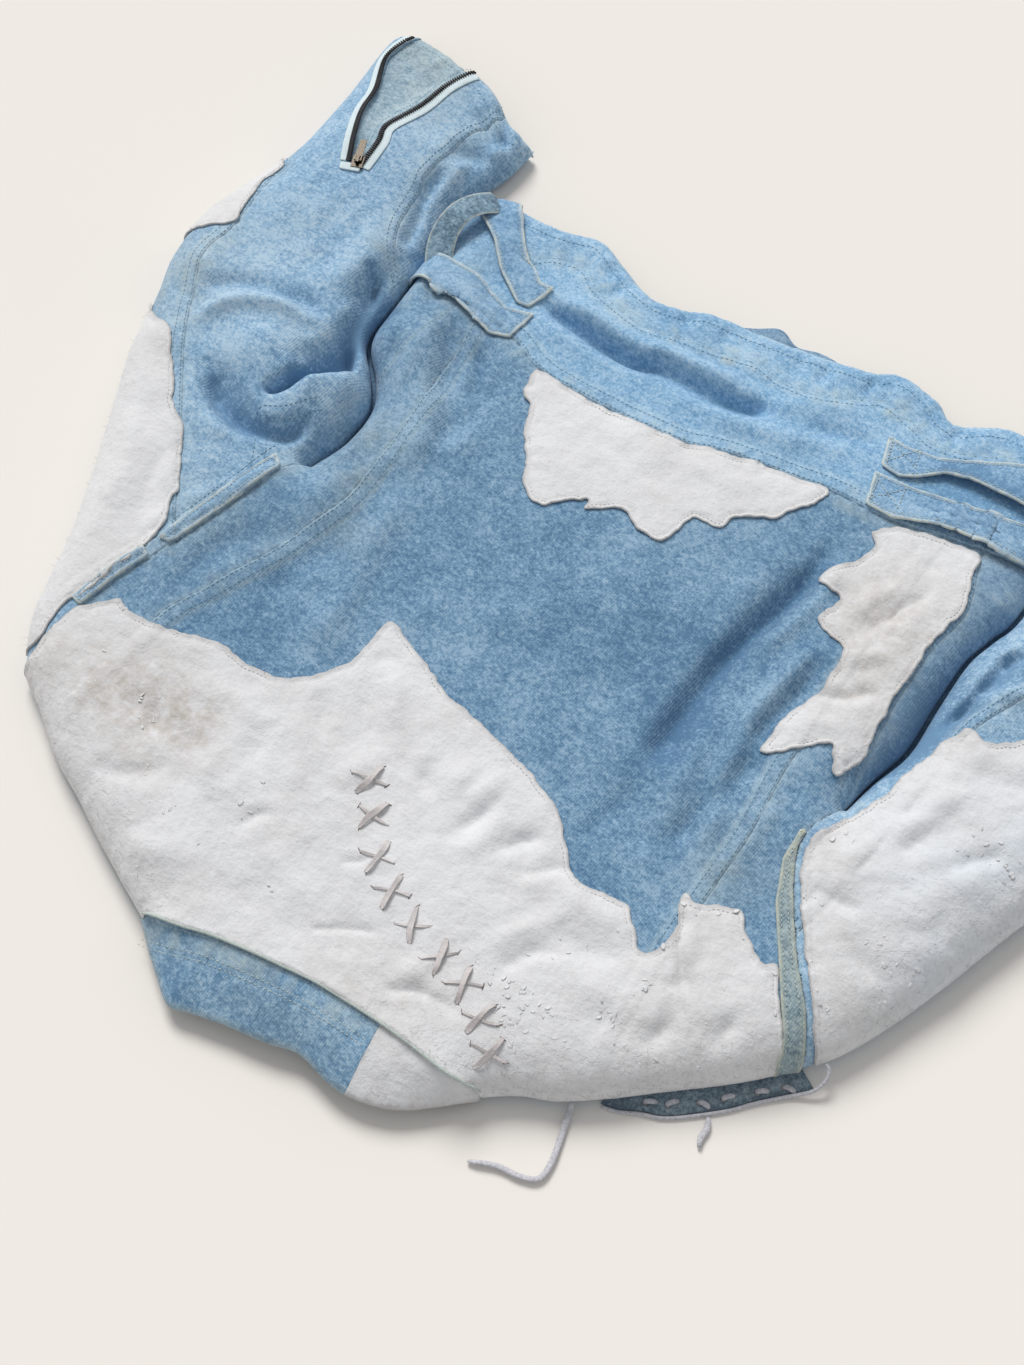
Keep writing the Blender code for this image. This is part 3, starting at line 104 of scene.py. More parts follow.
# Open edges
NECK = [
    NECK_LEFT, (-97, -318), (-72, -312), (-48, -308), (-17, -304), (9, -302), (52, -303),
    (76, -305), (106, -308), NECK_RIGHT]
BACK_HEM = [
    HEM_CORNER_LEFT, (-233, 308), (-190, 310), (-157, 319), (-129, 307), (-97, 291), (-71, 293),
    (-44, 303), (17, 309), (77, 317), (99, 327), (134, 320), (154, 309), (196, 326),
    HEM_CORNER_RIGHT]
FRONT_HEM = [
    HEM_CORNER_LEFT, (-200, 302), (-120, 298), (-60, 302), (-22, 318), (-2, 329), (16, 321),
    (35, 325), (55, 323), (90, 312), (160, 304), HEM_CORNER_RIGHT]
CUFF_LEFT = [(-402, 424), (-357, 414), (-310, 399), (-275, 376), (-253, 374)]
CUFF_RIGHT = [(396, 424), (357, 416), (310, 401), (262, 374)]
COLLAR_OUTER = [
    (-126, -322), (-107, -338), (-91, -350), (-75, -361), (-59, -358), (-35, -353), (-7, -349),
    (16, -344), (45, -350), (69, -348), (94, -337), (128, -308)]
COLLAR_SPLIT = [(51, -280), (57, -380)]
FRONT_NECK = [(-112, -308), (-70, -278), (0, -262), (70, -272), (112, -298)]

# Seams on the upper side
BAND_SEAM = [
    (-290, 206), (-230, 203), (-164, 196), (-133, 182), (-92, 177), (-14, 178), (20, 187),
    (72, 196), (104, 201), (153, 202), (221, 214), (290, 222)]
BACK_SEAM_LEFT = [
    (-196, 215), (-190, 147), (-184, 109), (-182, 43), (-183, 8), (-193, -25), (-202, -60),
    (-220, -103), (-240, -150), (-262, -270)]
BACK_SEAM_RIGHT = [
    (196, 225), (190, 120), (185, -6), (187, -48), (188, -79), (186, -112), (184, -180),
    (186, -300)]
SIDE_SEAM_RIGHT = [
    (218, 235), (222, 205), (233, 162), (226, 121), (224, 74), (226, 26), UNDERARM_RIGHT]
SLEEVE_SEAM_LEFT = [
    (-262, -90), (-290, -50), (-319, -4), (-340, 27), (-359, 56), (-379, 94), (-393, 130),
    (-390, 158), (-396, 207), (-398, 243), (-430, 275)]
UNDERARM_SEAM_LEFT = [
    (-283, 420), (-286, 370), (-295, 344), (-298, 320), (-301, 293), (-297, 276), (-290, 238),
    (-277, 212), (-248, 185)]
SLEEVE_SEAM_RIGHT = [
    (246, -118), (262, -40), (270, 20), (278, 74), (297, 114), (322, 160), (350, 210),
    (366, 270), (372, 340), (372, 440)]
UNDERARM_SEAM_RIGHT = [
    (300, 425), (300, 344), (302, 293), (292, 238), (278, 205), (248, 190)]

UNDER_LEFT_CUFF_CORNERS = [(-470, 300), (-470, 460), (-283, 460)]
UNDER_LEFT_BODY_CORNERS = [(-200, 170), (-190, 24), (-232, -100)]
UNDER_RIGHT_CUFF_CORNERS = [(372, 460), (300, 460)]
UNDER_RIGHT_BODY_CORNERS = [(215, 170), (200, 0), (205, -90), (225, -130)]

# Crown heights (x, y, z) of the cloth away from its closed edges
CROWNS = [
    (0, 0, 38), (-120, 0, 37), (120, 0, 36), (0, 150, 34), (0, -180, 38), (-150, -200, 38),
    (150, -200, 36), (0, -290, 32), (0, 230, 29), (-150, 230, 29), (150, 230, 29),
    (0, 305, 20), (-150, 312, 20), (150, 312, 21), (-240, 285, 25), (240, 285, 26),
    (-330, -60, 46), (-345, 60, 50), (-315, 90, 55), (-330, 200, 48), (-350, 290, 42),
    (-372, 395, 32), (-290, 370, 34), (-268, 360, 30), (-270, -90, 44), (-290, -190, 36),
    (300, -60, 42), (330, 60, 42), (330, 200, 42), (350, 380, 32), (250, -110, 36)]
CROWN_REACH = 40.0

# Folds as (points, height or depth, half width)
FOLDS = [
    ([(-164, 238), (-145, 236), (-118, 230), (-81, 227), (-44, 230), (6, 230), (40, 243)], -8, 7),
    ([(-150, 252), (-118, 246), (-81, 242), (-30, 245), (20, 250)], 4, 12),
    ([(131, 142), (127, 113), (118, 84), (111, 51), (110, 17), (110, -27), (111, -58)], -9, 10),
    ([(162, 86), (154, 54), (149, 24), (147, -5), (156, -60), (165, -97)], 6, 9),
    ([(164, -15), (159, -39), (155, -63), (149, -89), (143, -112)], -6, 9),
    ([(-209, 190), (-195, 161), (-184, 130), (-186, 107)], -7, 10),
    ([(-219, 184), (-214, 149), (-212, 112), (-209, 62), (-208, 21)], 5, 9),
    ([(-277, 74), (-267, 95), (-262, 116), (-264, 149), (-266, 183), (-270, 225)], -13, 9),
    ([(-367, 80), (-351, 95), (-334, 106), (-304, 114), (-280, 116)], 6, 12),
    ([(-336, 51), (-308, 34), (-283, 23), (-264, 24)], -9, 10),
    ([(233, 10), (252, 52), (266, 88), (286, 138)], -7, 8),
    ([(262, 45), (262, 81), (264, 107), (264, 135)], 5, 8),
    ([(173, -137), (187, -161), (199, -185)], 6, 10),
    ([(-48, -153), (-56, -171), (-64, -189)], 4, 9),
    ([(9, -118), (2, -157)], 4, 9),
    ([(91, -169), (126, -171), (163, -172)], 4, 10),
    ([(-262, 340), (-285, 330), (-306, 318)], -6, 9),
    ([(30, 300), (34, 276)], -3, 9),
    ([(140, 306), (134, 286)], -3, 9),
    ([(-82, 284), (-78, 264)], -3, 9)]
FOLD_TAPER = 22.0
LINE_CHUNK = 12
VALLEY_CLOTH_HEIGHT = 4.0
VALLEY_CLOTH_HALF_WIDTH = 7.0

# Outlines of what is sewn on
YOKE_EDGE = [
    (-269, -147), (-255, -152), (-234, -150), (-212, -144),
    (-196, -140), (-158, -141), (-140, -139), (-126, -128), (-111, -112), (-104, -93),
    (-104, -71), (-99, -61), (-78, -69), (-57, -78), (-43, -87), (-11, -95), (29, -104),
    (50, -111), (77, -128), (106, -157), (138, -155), (149, -158), (164, -177), (176, -172),
    (180, -154), (173, -137), (173, -128), (181, -131), (202, -122), (210, -122), (217, -131),
    (237, -146)]
YOKE_BEYOND_SHOULDER = [
    (250, -270), (180, -330), (127, -370), (-124, -370), (-320, -270), (-312, -225)]
HEM_PATCH_EDGE = [
    (-131, 178), (-126, 155), (-116, 148), (-110, 128), (-96, 109), (-87, 92), (-75, 77),
    (-62, 77), (-53, 85), (-37, 98), (-35, 89), (-12, 105), (2, 97), (23, 96), (34, 125),
    (54, 129), (59, 143), (81, 155), (89, 168), (104, 197)]
SIDE_PATCH = [
    (148, 184), (157, 196), (180, 203), (218, 208), (222, 190), (230, 162), (223, 121),
    (221, 84), (221, 45), (223, 18), (213, -1), (203, 15), (195, 14), (164, -14), (167, 21),
    (175, 42), (177, 66), (175, 86), (159, 91), (147, 101), (154, 122), (135, 129),
    (142, 147), (154, 175)]
SLEEVE_LEFT_PATCH = [
    (-330, -215), (-305, -200), (-302, -172), (-291, -147), (-280, -112), (-277, -86),
    (-287, -56), (-298, -33), (-313, -10), (-333, 5), (-340, 18), (-358, 37), (-373, 55),
    (-397, 66), (-440, 82), (-440, -150)]
SLEEVE_LEFT_SMALL_PATCH = [
    (-450, 140), (-411, 153), (-393, 162), (-400, 210), (-402, 243), (-450, 250)]
SLEEVE_RIGHT_PATCH = [
    (222, -52), (232, -32), (246, -4), (256, 24), (260, 38), (270, 67), (276, 73), (289, 70),
    (310, 85), (345, 106), (440, 120), (440, -230), (318, -190), (296, -176), (281, -156),
    (262, -131), (243, -101), (227, -71)]
STRAP_UPPER_LEFT = [
    (-160, 251), (-166, 226), (-176, 225), (-204, 246), (-224, 269), (-252, 292), (-290, 312),
    (-262, 340), (-228, 312), (-201, 276), (-171, 250)]
STRAP_LOWER_LEFT = [
    (-159, 221), (-163, 194), (-178, 188), (-204, 196), (-230, 203), (-247, 208), (-290, 208),
    (-290, 238), (-251, 236), (-211, 226), (-180, 215)]
STRAP_UPPER_RIGHT = [
    (119, 267), (134, 264), (159, 265), (186, 278), (212, 291), (240, 296), (290, 298),
    (290, 266), (255, 262), (213, 261), (186, 260), (168, 255), (153, 242), (141, 237),
    (126, 240)]
STRAP_LOWER_RIGHT = [
    (125, 232), (157, 232), (182, 235), (234, 246), (290, 252), (290, 222), (243, 217),
    (217, 215), (185, 212), (154, 203), (132, 203)]
ARMHOLE_BAND_LEFT = [(-246, 8), (-257, -36), (-266, -66), (-273, -94)]
ARMHOLE_BAND_RIGHT = [
    (214, -50), (214, -73), (225, -103), (247, -139), (260, -160), (272, -178), (278, -200)]
LACING = [
    (-45, -170, -101, 11), (-28, -190, -106, -4), (-10, -213, -92, 10), (11, -228, -87, 17),
    (35, -239, -68, 26), (61, -248, -78, 43), (84, -256, -77, 26), (105, -269, -104, 12),
    (120, -284, -107, 5)]

# The end of the upper left strap that loops over the hem's corner
STRAP_LOOP_ROUTE = [
    (-240, 300, 30), (-250, 288, 34), (-257, 274, 35), (-259, 258, 32), (-256, 242, 27),
    (-248, 226, 20)]
STRAP_LOOP_HALF_WIDTH = 11.0

# Where the suede peels, as (x, y, spread, how many flakes)
FLAKE_SPOTS = [
    (330, -70, 34, 170), (290, -150, 30, 160), (190, -205, 34, 170), (120, -262, 30, 150),
    (40, -292, 30, 120), (250, -60, 24, 60), (-230, -215, 26, 60), (360, -10, 26, 90),
    (90, -320, 18, 90), (-110, -250, 34, 50)]

# Cuff zip of the left sleeve
CUFF_NOTCH = [
    (-388, 440), (-399, 384), (-383, 343), (-378, 318), (-368, 292), (-354, 262), (-346, 262),
    (-347, 292), (-352, 312), (-343, 345), (-338, 377), (-326, 393), (-322, 440)]
ZIP_LEFT_LINE = [(-393, 412), (-399, 384), (-383, 343), (-378, 318), (-368, 292), (-355, 264)]
ZIP_RIGHT_LINE = [(-328, 402), (-338, 377), (-343, 345), (-352, 312), (-347, 292), (-345, 264)]
TAPE_OUTER_REACH = 7.0
CUFF_GUSSET = [
    (-397, 440), (-406, 384), (-391, 340), (-386, 318), (-377, 290), (-362, 252), (-338, 252),
    (-338, 292), (-343, 312), (-334, 345), (-329, 377), (-318, 396), (-314, 440)]

# Laced strip and free ends below the right shoulder
STRIP_OUTER = [
    (193, -266), (204, -263), (216, -257), (229, -252), (242, -243), (262, -226), (274, -213),
    (290, -198), (302, -187)]
STRIP_INNER = [
    (192, -258), (201.8, -249.2), (211.8, -240.7), (219.8, -234.2), (233.8, -223.2),
    (250.8, -209.2), (262.8, -199), (276.4, -187.5), (286.5, -177.5)]
LACE_HOLES = [(216, -251), (229, -245), (245, -233), (257, -223), (273, -208), (286, -196)]
STRIP_PIPING_ROUTE = [
    (194, -268, 1.5), (205, -264.9, 1.5), (217, -259, 1.5), (230, -254, 1.5), (243.2, -244.8, 1.5),
    (263.3, -227.6, 1.5), (275.3, -214.5, 1.5), (291.4, -199.5, 2.5), (302.5, -190, 6),
    (306.5, -181, 11), (305, -175, 14), (301, -172.5, 15)]
LACE_LONG_ROUTE = [
    (177.6, -275.8, 7.8), (178.8, -281, 5.2), (180.2, -288, 3.2), (183, -300, 2.5),
    (186, -316, 2.5), (184.5, -328, 2.5), (174, -333, 2.5), (158, -335, 2.5), (141, -342, 2.5)]
LACE_SHORT_ROUTE = [(254.7, -238.4, 2.4), (257.6, -245, 2.4), (257, -252, 2.4), (259, -258, 2.4)]

# Sizes
DENIM = 1.5
SUEDE = 1.2
LAYER_GAP = 0.35
EDGE_HEIGHT = 10.0
UPPER_ROLL = 45.0
LOWER_ROLL = 12.0
VALLEY_GAP = 1.5
HEM_ROLL = 11.0
HEM_DROP = 6.0
FAR = 700.0
TOP_CELL = 3.0
PATCH_CELL = 2.6
UNDER_CELL = 9.0
STRAP_CELL = 2.2
TAPE_CELL = 1.8
EDGE_ROWS = (0.6, 1.6, 3.2, 5.4, 8.2)
EDGE_REACH = 12.0
ROW_STEP = 2.4
NEAR_EDGE = 16.0
OPEN_EDGE_REACH = 44.0
GATHER_PITCH = 9.0
SEAM_BEAT = 7.5

# Camera and floor
CAMERA_AT = (0.34826, -0.62127, 1.28910)
CAMERA_TARGET = (-0.01497, -0.03999, 0.0)
LENS_MM = 55.0
FLOOR_COLOUR = (0.888, 0.847, 0.799)

# Stitched lines that are not seams between pieces
TUNNEL_LINE = [
    (-192, 269), (-174, 282), (-152, 286), (-132, 271), (-106, 262), (-82, 258), (-54, 265),
    (-25, 269), (6, 276), (32, 270), (65, 276), (97, 294), (109, 294), (131, 288), (148, 281),
    (168, 284), (197, 295)]
SIDE_STITCH_LEFT = [(-213, 205), (-219, 160), (-226, 120), (-232, 60)]
WELT_EDGE_LEFT = [(-222, 24), (-240, -18), (-259, -65), (-272, -98), (-284, -128), (-300, -156)]
GUSSET_STRIP_LEFT = [(-247, 62), (-262, 42), (-276, 30), (-262, 6), (-248, -20)]
SLEEVE_TOPSTITCH_LEFT = [(-246, 48), (-252, 8), (-262, -36), (-277, -86), (-288, -127)]

# Finer folds as (points, height or depth, half width)
FINE_FOLDS = [
    ([(-273, 66), (-266, 80), (-259, 104), (-257, 124)], -11, 5),
    ([(-318, 128), (-296, 118), (-278, 104)], -6, 9),
    ([(208, 168), (192, 132), (177, 100)], -3.5, 6), ([(186, 156), (172, 130), (168, 108)], 3, 6),
    ([(212, 70), (192, 52), (172, 44)], -3, 5), ([(206, 100), (186, 84), (170, 82)], 2.5, 6),
    ([(-296, 386), (-278, 370), (-266, 350)], -6, 4), ([(-276, 384), (-262, 366), (-252, 350)], 4, 6),
    ([(-256, 218), (-240, 205), (-226, 182)], -6, 7), ([(-232, 232), (-214, 222), (-196, 210)], 3, 8),
    ([(-118, 290), (-122, 268)], -3, 4), ([(-60, 296), (-63, 270)], -2.5, 5),
    ([(-30, 300), (-28, 274)], -2.5, 4), ([(52, 309), (50, 278)], -3, 5),
    ([(88, 318), (84, 290)], -3.5, 4), ([(112, 322), (114, 296)], 2.5, 6),
    ([(158, 310), (160, 286)], -4, 5), ([(178, 316), (180, 290)], 3, 6),
    ([(-140, 312), (-146, 290)], 3, 6), ([(-100, 292), (-96, 268)], 2.5, 6),
    ([(-208, 270), (-188, 262), (-170, 262)], -3, 5),
    ([(-160, 222), (-120, 214), (-70, 212)], 2, 9),
    ([(-30, 212), (20, 218), (70, 232), (110, 236)], 2, 8),
    ([(-60, 252), (-20, 258), (30, 262)], -2, 6),
    ([(60, 240), (90, 252), (118, 256)], -3, 6),
    ([(26, 240), (60, 262), (96, 276)], 2.5, 8),
    ([(-178, 160), (-168, 110), (-162, 60)], 2.5, 8),
    ([(-150, 170), (-148, 120), (-154, 70)], -2.5, 8),
    ([(-214, -20), (-190, 20), (-160, 70), (-130, 110)], 2.0, 12),
    ([(-236, -70), (-200, -40), (-150, 10)], -2.0, 12),
    ([(-245, -110), (-200, -80), (-150, -50)], 1.8, 12),
    ([(-60, -40), (-10, 10), (20, 60)], 1.5, 18),
    ([(40, -60), (60, -10), (66, 50)], -1.8, 16),
    ([(98, 150), (96, 110), (90, 70)], 2, 10),
    ([(110, -80), (100, -110), (96, -140)], -2.5, 8),
    ([(142, -110), (128, -130)], 2, 7),
    ([(205, 170), (204, 130), (200, 90)], 1.6, 8),
    ([(168, 118), (196, 112), (214, 116)], -1.4, 4),
    ([(178, 98), (204, 86)], 1.6, 5), ([(190, 60), (212, 66)], -1.5, 4),
    ([(176, 20), (200, 34)], 1.6, 5), ([(182, 150), (210, 158)], 1.3, 5),
    ([(-420, 130), (-396, 118), (-372, 108)], 3, 8),
    ([(-404, 96), (-376, 88), (-352, 92)], -3, 7),
    ([(-390, 60), (-362, 46), (-340, 44)], 2, 8),
    ([(-300, 150), (-290, 180), (-288, 215)], 4, 9),
    ([(-282, 140), (-276, 170), (-276, 200)], -4, 6),
    ([(-322, 150), (-312, 200), (-312, 240)], -2.5, 9),
    ([(-345, 190), (-342, 230), (-336, 262)], 2.5, 10),
    ([(-290, 250), (-284, 280), (-280, 310)], 3, 8),
    ([(-310, 300), (-306, 330), (-312, 352)], 2.5, 8),
    ([(-272, 330), (-266, 352)], 5, 7),
    ([(-300, 372), (-284, 356), (-268, 348)], -4, 6),
    ([(-250, -20), (-276, -62), (-288, -98)], 1.5, 5),
    ([(-306, 10), (-292, 2), (-276, 4)], 3, 7),
    ([(-270, 90), (-258, 70), (-250, 52)], 4, 6),
    ([(-262, 132), (-254, 106), (-248, 84)], -4, 5),
    ([(-318, -120), (-330, -60), (-352, -10)], 1.6, 12),
    ([(-336, -84), (-352, -40), (-374, 4)], -1.4, 10),
    ([(246, 133), (250, 149), (256, 159), (266, 169)], 4, 6),
    ([(256, 122), (276, 142), (296, 150)], -5, 6),
    ([(258, 92), (280, 110), (310, 118)], 4, 7),
    ([(268, 160), (284, 180), (304, 186)], 4, 8),
    ([(252, 60), (264, 84), (274, 100)], -4, 5),
    ([(238, 40), (246, 64), (250, 88)], 3, 5),
    ([(248, -20), (276, 4), (306, 16)], -2.5, 9),
    ([(262, -60), (290, -30), (330, -10)], 2.5, 10),
    ([(280, 40), (310, 50), (350, 52)], -2.5, 9),
    ([(276, -90), (306, -78), (330, -50)], -2.0, 8),
    ([(-200, -180), (-160, -168), (-120, -172)], 1.6, 9),
    ([(-230, -200), (-180, -212), (-140, -206)], -1.4, 9),
    ([(-120, -150), (-96, -178), (-80, -214)], 2.0, 9),
    ([(-92, -110), (-70, -134), (-52, -150)], -2.0, 7),
    ([(-30, -120), (-20, -146), (-24, -166)], 1.8, 7),
    ([(36, -128), (40, -160), (30, -196)], 2.0, 9),
    ([(60, -140), (74, -170), (70, -204)], -2.0, 8),
    ([(100, -190), (130, -196), (166, -190)], -2.2, 8),
    ([(110, -214), (150, -216), (190, -204)], 2.0, 9),
    ([(150, -236), (190, -226), (224, -206)], -1.8, 8),
    ([(206, -150), (214, -176), (236, -194)], 2.0, 8),
    ([(-84, -240), (-50, -254), (-20, -262)], 1.6, 9),
    ([(-110, -280), (-60, -284), (-10, -276)], -1.4, 9),
    ([(-100, 130), (-70, 110), (-40, 112)], 1.4, 8),
    ([(-60, 150), (-20, 140), (20, 142)], -1.3, 8),
    ([(0, 168), (40, 164), (70, 176)], 1.4, 8),
    ([(-375, 92), (-366, 109), (-346, 120), (-322, 126), (-299, 130), (-279, 127)], -5, 7),
    ([(-363, 70), (-354, 86), (-337, 101), (-317, 110), (-295, 115), (-275, 114)], 4, 6),
    ([(-325, 38), (-305, 22), (-284, 16), (-263, 20), (-249, 32), (-246, 51)], -12, 7),
    ([(-331, 54), (-309, 75), (-279, 89)], 7, 24),
    ([(-283, 45), (-275, 56), (-271, 67), (-268, 74), (-260, 87), (-251, 106), (-256, 128), (-258, 151),
      (-250, 174)], -20, 4.5),
    ([(-286, 191), (-273, 174), (-267, 153), (-263, 131), (-255, 112)], -14, 5),
    ([(-284, 164), (-274, 142), (-272, 125)], 4, 7),
    ([(-258, 170), (-253, 147), (-249, 125)], 6, 6),
    ([(-238, 70), (-233, 88), (-228, 104)], 7, 13),
    ([(-228, 118), (-217, 93), (-219, 67), (-227, 46), (-230, 24)], -9, 5),
    ([(-232, 134), (-239, 110), (-262, 98)], -7, 5),
    ([(-286, 332), (-277, 292), (-272, 255)], 5, 8),
    ([(-296, 306), (-293, 279), (-283, 246), (-277, 221)], -7, 5),
    ([(-276, 328), (-276, 304), (-274, 286)], -5, 5),
    ([(-272, 335), (-264, 352), (-255, 368)], 5, 6),
    ([(-383, 238), (-371, 205), (-354, 169)], 3, 14),
    ([(-352, 240), (-335, 210), (-321, 178)], -3, 12),
    ([(-391, 146), (-390, 122), (-382, 100)], 2, 8),
    ([(-230, -46), (-236, -90), (-242, -134)], -4, 11),
    ([(-147, 37), (-149, -7), (-139, -54), (-137, -113)], 5, 13),
    ([(-168, -14), (-177, -56), (-187, -94)], -5, 11),
    ([(-192, 177), (-173, 133), (-149, 77)], -4, 10),
    ([(-212, 159), (-182, 108), (-161, 49)], 4, 11),
    ([(-178, 179), (-164, 151), (-154, 125)], -6, 6),
    ([(-237, 151), (-220, 116), (-208, 83)], -4, 7),
    ([(-154, 235), (-122, 233), (-79, 227), (-53, 235), (-28, 235), (3, 234), (32, 242)], -6, 5),
    ([(-153, 244), (-121, 244), (-80, 239), (-53, 246), (-27, 248), (5, 246)], 3, 7),
    ([(-9, 210), (38, 216), (81, 229)], 3, 10),
    ([(124, 167), (128, 145), (123, 118), (119, 87), (114, 61), (107, 38), (103, 12), (102, -15), (102, -42),
      (108, -65)], -5, 8),
    ([(140, 158), (138, 116), (131, 80), (123, 47)], 5, 8),
    ([(156, 77), (166, 52), (161, 26), (157, 5), (159, -17)], -5, 7),
    ([(118, -14), (127, -44), (129, -86)], 4, 10),
    ([(99, -62), (113, -96), (141, -120)], -3, 10),
    ([(192, -38), (187, -83), (184, -110)], 3, 8),
    ([(264, 182), (261, 166), (262, 149), (261, 138)], -9, 5),
    ([(253, 116), (247, 96), (246, 68), (250, 44), (245, 30)], -9, 5),
    ([(279, 149), (270, 118), (264, 91), (257, 68), (254, 47)], -7, 5),
    ([(273, 162), (264, 131), (258, 100), (252, 77)], 6, 7),
    ([(289, 128), (274, 94), (265, 67)], 4, 7),
    ([(257, 193), (251, 174), (249, 154)], 4, 6),
    ([(-18, -133), (-15, -150), (1, -155)], -4, 7),
    ([(-101, -248), (-94, -229), (-79, -223)], -3, 5),
    ([(-22, -277), (-1, -263), (18, -255)], -2, 3),
    ([(-31, -230), (-12, -216)], -2, 3),
    ([(67, -188), (82, -174), (96, -156)], 3, 8),
    ([(51, -174), (62, -154), (79, -141)], -4, 6),
    ([(23, -179), (31, -156), (37, -135)], -4, 7),
    ([(18, -157), (25, -134), (28, -116)], 3, 7),
    ([(40, -287), (57, -276), (74, -273), (90, -275)], -3, 5),
    ([(56, -249), (52, -264), (45, -281)], 3, 7),
    ([(80, -228), (97, -205), (118, -176)], 3, 7),
    ([(73, -181), (89, -161), (105, -151)], -4, 6),
    ([(95, -240), (110, -214), (130, -205)], -3, 6),
    ([(205, -192), (205, -212), (199, -233)], -5, 7),
    ([(177, -137), (188, -164), (205, -188)], -4, 4),
    ([(243, -175), (238, -195), (229, -209)], -4, 7),
    ([(-200, -186), (-194, -206), (-178, -217)], -3, 7),
    ([(-150, -200), (-139, -224), (-119, -232)], 3, 9),
    ([(-131, -172), (-121, -192), (-118, -208)], -3, 8),
    ([(-212, -256), (-184, -249), (-164, -231)], -3, 7),
    ([(-168, -289), (-139, -287), (-111, -275)], 3, 9),
    ([(-106, -127), (-98, -149), (-83, -161)], -3, 8),
    ([(-87, -88), (-64, -110), (-52, -135)], 4, 8),
    ([(272, -27), (284, 14), (298, 30)], 5, 9),
    ([(286, 1), (282, -23), (285, -45)], -5, 8),
    ([(239, -82), (254, -81), (275, -82)], -3, 5),
    ([(306, -29), (325, -7), (339, 9)], -4, 6),
    ([(270, -98), (291, -109), (314, -110)], -4, 8),
    ([(252, -29), (252, -54), (265, -71)], 3, 8),
    ([(299, -61), (316, -38), (336, -21)], 3, 8),
    ([(-388, 49), (-354, 16), (-329, -30)], -2, 9),
    ([(-362, -10), (-339, -47), (-319, -95)], 2, 9),
    ([(-311, -30), (-308, -58), (-289, -95)], -2, 7)]


def smooth_line(points: list, per_span: int = 8) -> np.ndarray:
    """Return a dense smooth line through points.

    Args:
        points: The points, plan or three-dimensional, in order.
        per_span: How many steps to take between two points.

    Returns:
        The line as an array.
    """
    given = np.array(points, dtype=float)
    chain = np.vstack([2 * given[0] - given[1], given, 2 * given[-1] - given[-2]])
    line = []
    for index in range(1, len(chain) - 2):
        p0, p1, p2, p3 = chain[index - 1:index + 3]
        for step in range(per_span):
            t = step / per_span
            line.append(0.5 * (2 * p1 + (p2 - p0) * t + (2 * p0 - 5 * p1 + 4 * p2 - p3) * t ** 2
                               + (3 * p1 - p0 - 3 * p2 + p3) * t ** 3))
    line.append(given[-1])
    return np.array(line)


def joined(*lines: np.ndarray) -> np.ndarray:
    """Join lines end to end, leaving out the repeated end points."""
    parts = [np.array(lines[0], dtype=float)]
    parts += [np.array(line, dtype=float)[1:] for line in lines[1:]]
    return np.vstack(parts)


def reached_along(line: np.ndarray) -> np.ndarray:
    """Return the length reached at each point of a line."""
    steps = np.sqrt((np.diff(line, axis=0) ** 2).sum(axis=1))
    return np.concatenate([[0.0], np.cumsum(steps)])


def along(line: np.ndarray, lengths: np.ndarray) -> np.ndarray:
    """Return the points at some lengths along a line."""
    reached = reached_along(line)
    return np.column_stack([np.interp(lengths, reached, line[:, axis])
                            for axis in range(line.shape[1])])


def even(line: np.ndarray, step: float) -> np.ndarray:
    """Return a line with evenly spaced points about one step apart."""
    total = reached_along(line)[-1]
    count = max(2, int(round(total / step)) + 1)
    return along(line, np.linspace(0.0, total, count))


def shifted(line: np.ndarray, distance: float) -> np.ndarray:
    """Move a plan line sideways, to its left when the distance is positive."""
    tangent = np.gradient(line, axis=0)
    tangent /= np.maximum(np.hypot(tangent[:, 0], tangent[:, 1]), 1e-9)[:, None]
    normal = np.column_stack([-tangent[:, 1], tangent[:, 0]])
    return line + normal * np.asarray(distance).reshape(-1, 1)


def nearest_on(line: np.ndarray, points: np.ndarray, reach: float = 1e9) -> tuple:
    """Return how far points are from a line, how far along it, and on which side.

    Args:
        line: The plan line.
        points: The plan points.
        reach: Points farther than this from the line's box get the reach itself.

    Returns:
        Distances, lengths along the line, and sides, 1 to its left and -1 to its right.
    """
    distances = np.full(len(points), float(reach))
    lengths = np.zeros(len(points))
    sides = np.ones(len(points))
    reached = reached_along(line)
    low, high = line.min(axis=0) - reach, line.max(axis=0) + reach
    whole = np.flatnonzero(((points >= low) & (points <= high)).all(axis=1))
    for first in range(0, len(line) - 1, LINE_CHUNK):
        piece = line[first:first + LINE_CHUNK + 1]
        low, high = piece.min(axis=0) - reach, piece.max(axis=0) + reach
        near = whole[((points[whole] >= low) & (points[whole] <= high)).all(axis=1)]
        if len(near) == 0:
            continue
        runs = piece[1:] - piece[:-1]
        squares = np.maximum((runs ** 2).sum(axis=1), 1e-12)
        offset_x = points[near, 0][:, None] - piece[None, :-1, 0]
        offset_y = points[near, 1][:, None] - piece[None, :-1, 1]
        share = np.clip((offset_x * runs[:, 0] + offset_y * runs[:, 1]) / squares, 0.0, 1.0)
        gap_x = offset_x - share * runs[:, 0]
        gap_y = offset_y - share * runs[:, 1]
        spans = gap_x ** 2 + gap_y ** 2
        best = spans.argmin(axis=1)
        rows = np.arange(len(near))
        found = np.sqrt(spans[rows, best])
        closer = found < distances[near]
        part, best, rows = near[closer], best[closer], rows[closer]
        distances[part] = found[closer]
        lengths[part] = reached[first + best] + share[rows, best] * np.sqrt(squares[best])
        turn = runs[best, 0] * gap_y[rows, best] - runs[best, 1] * gap_x[rows, best]
        sides[part] = np.where(turn >= 0, 1.0, -1.0)
    return distances, lengths, sides


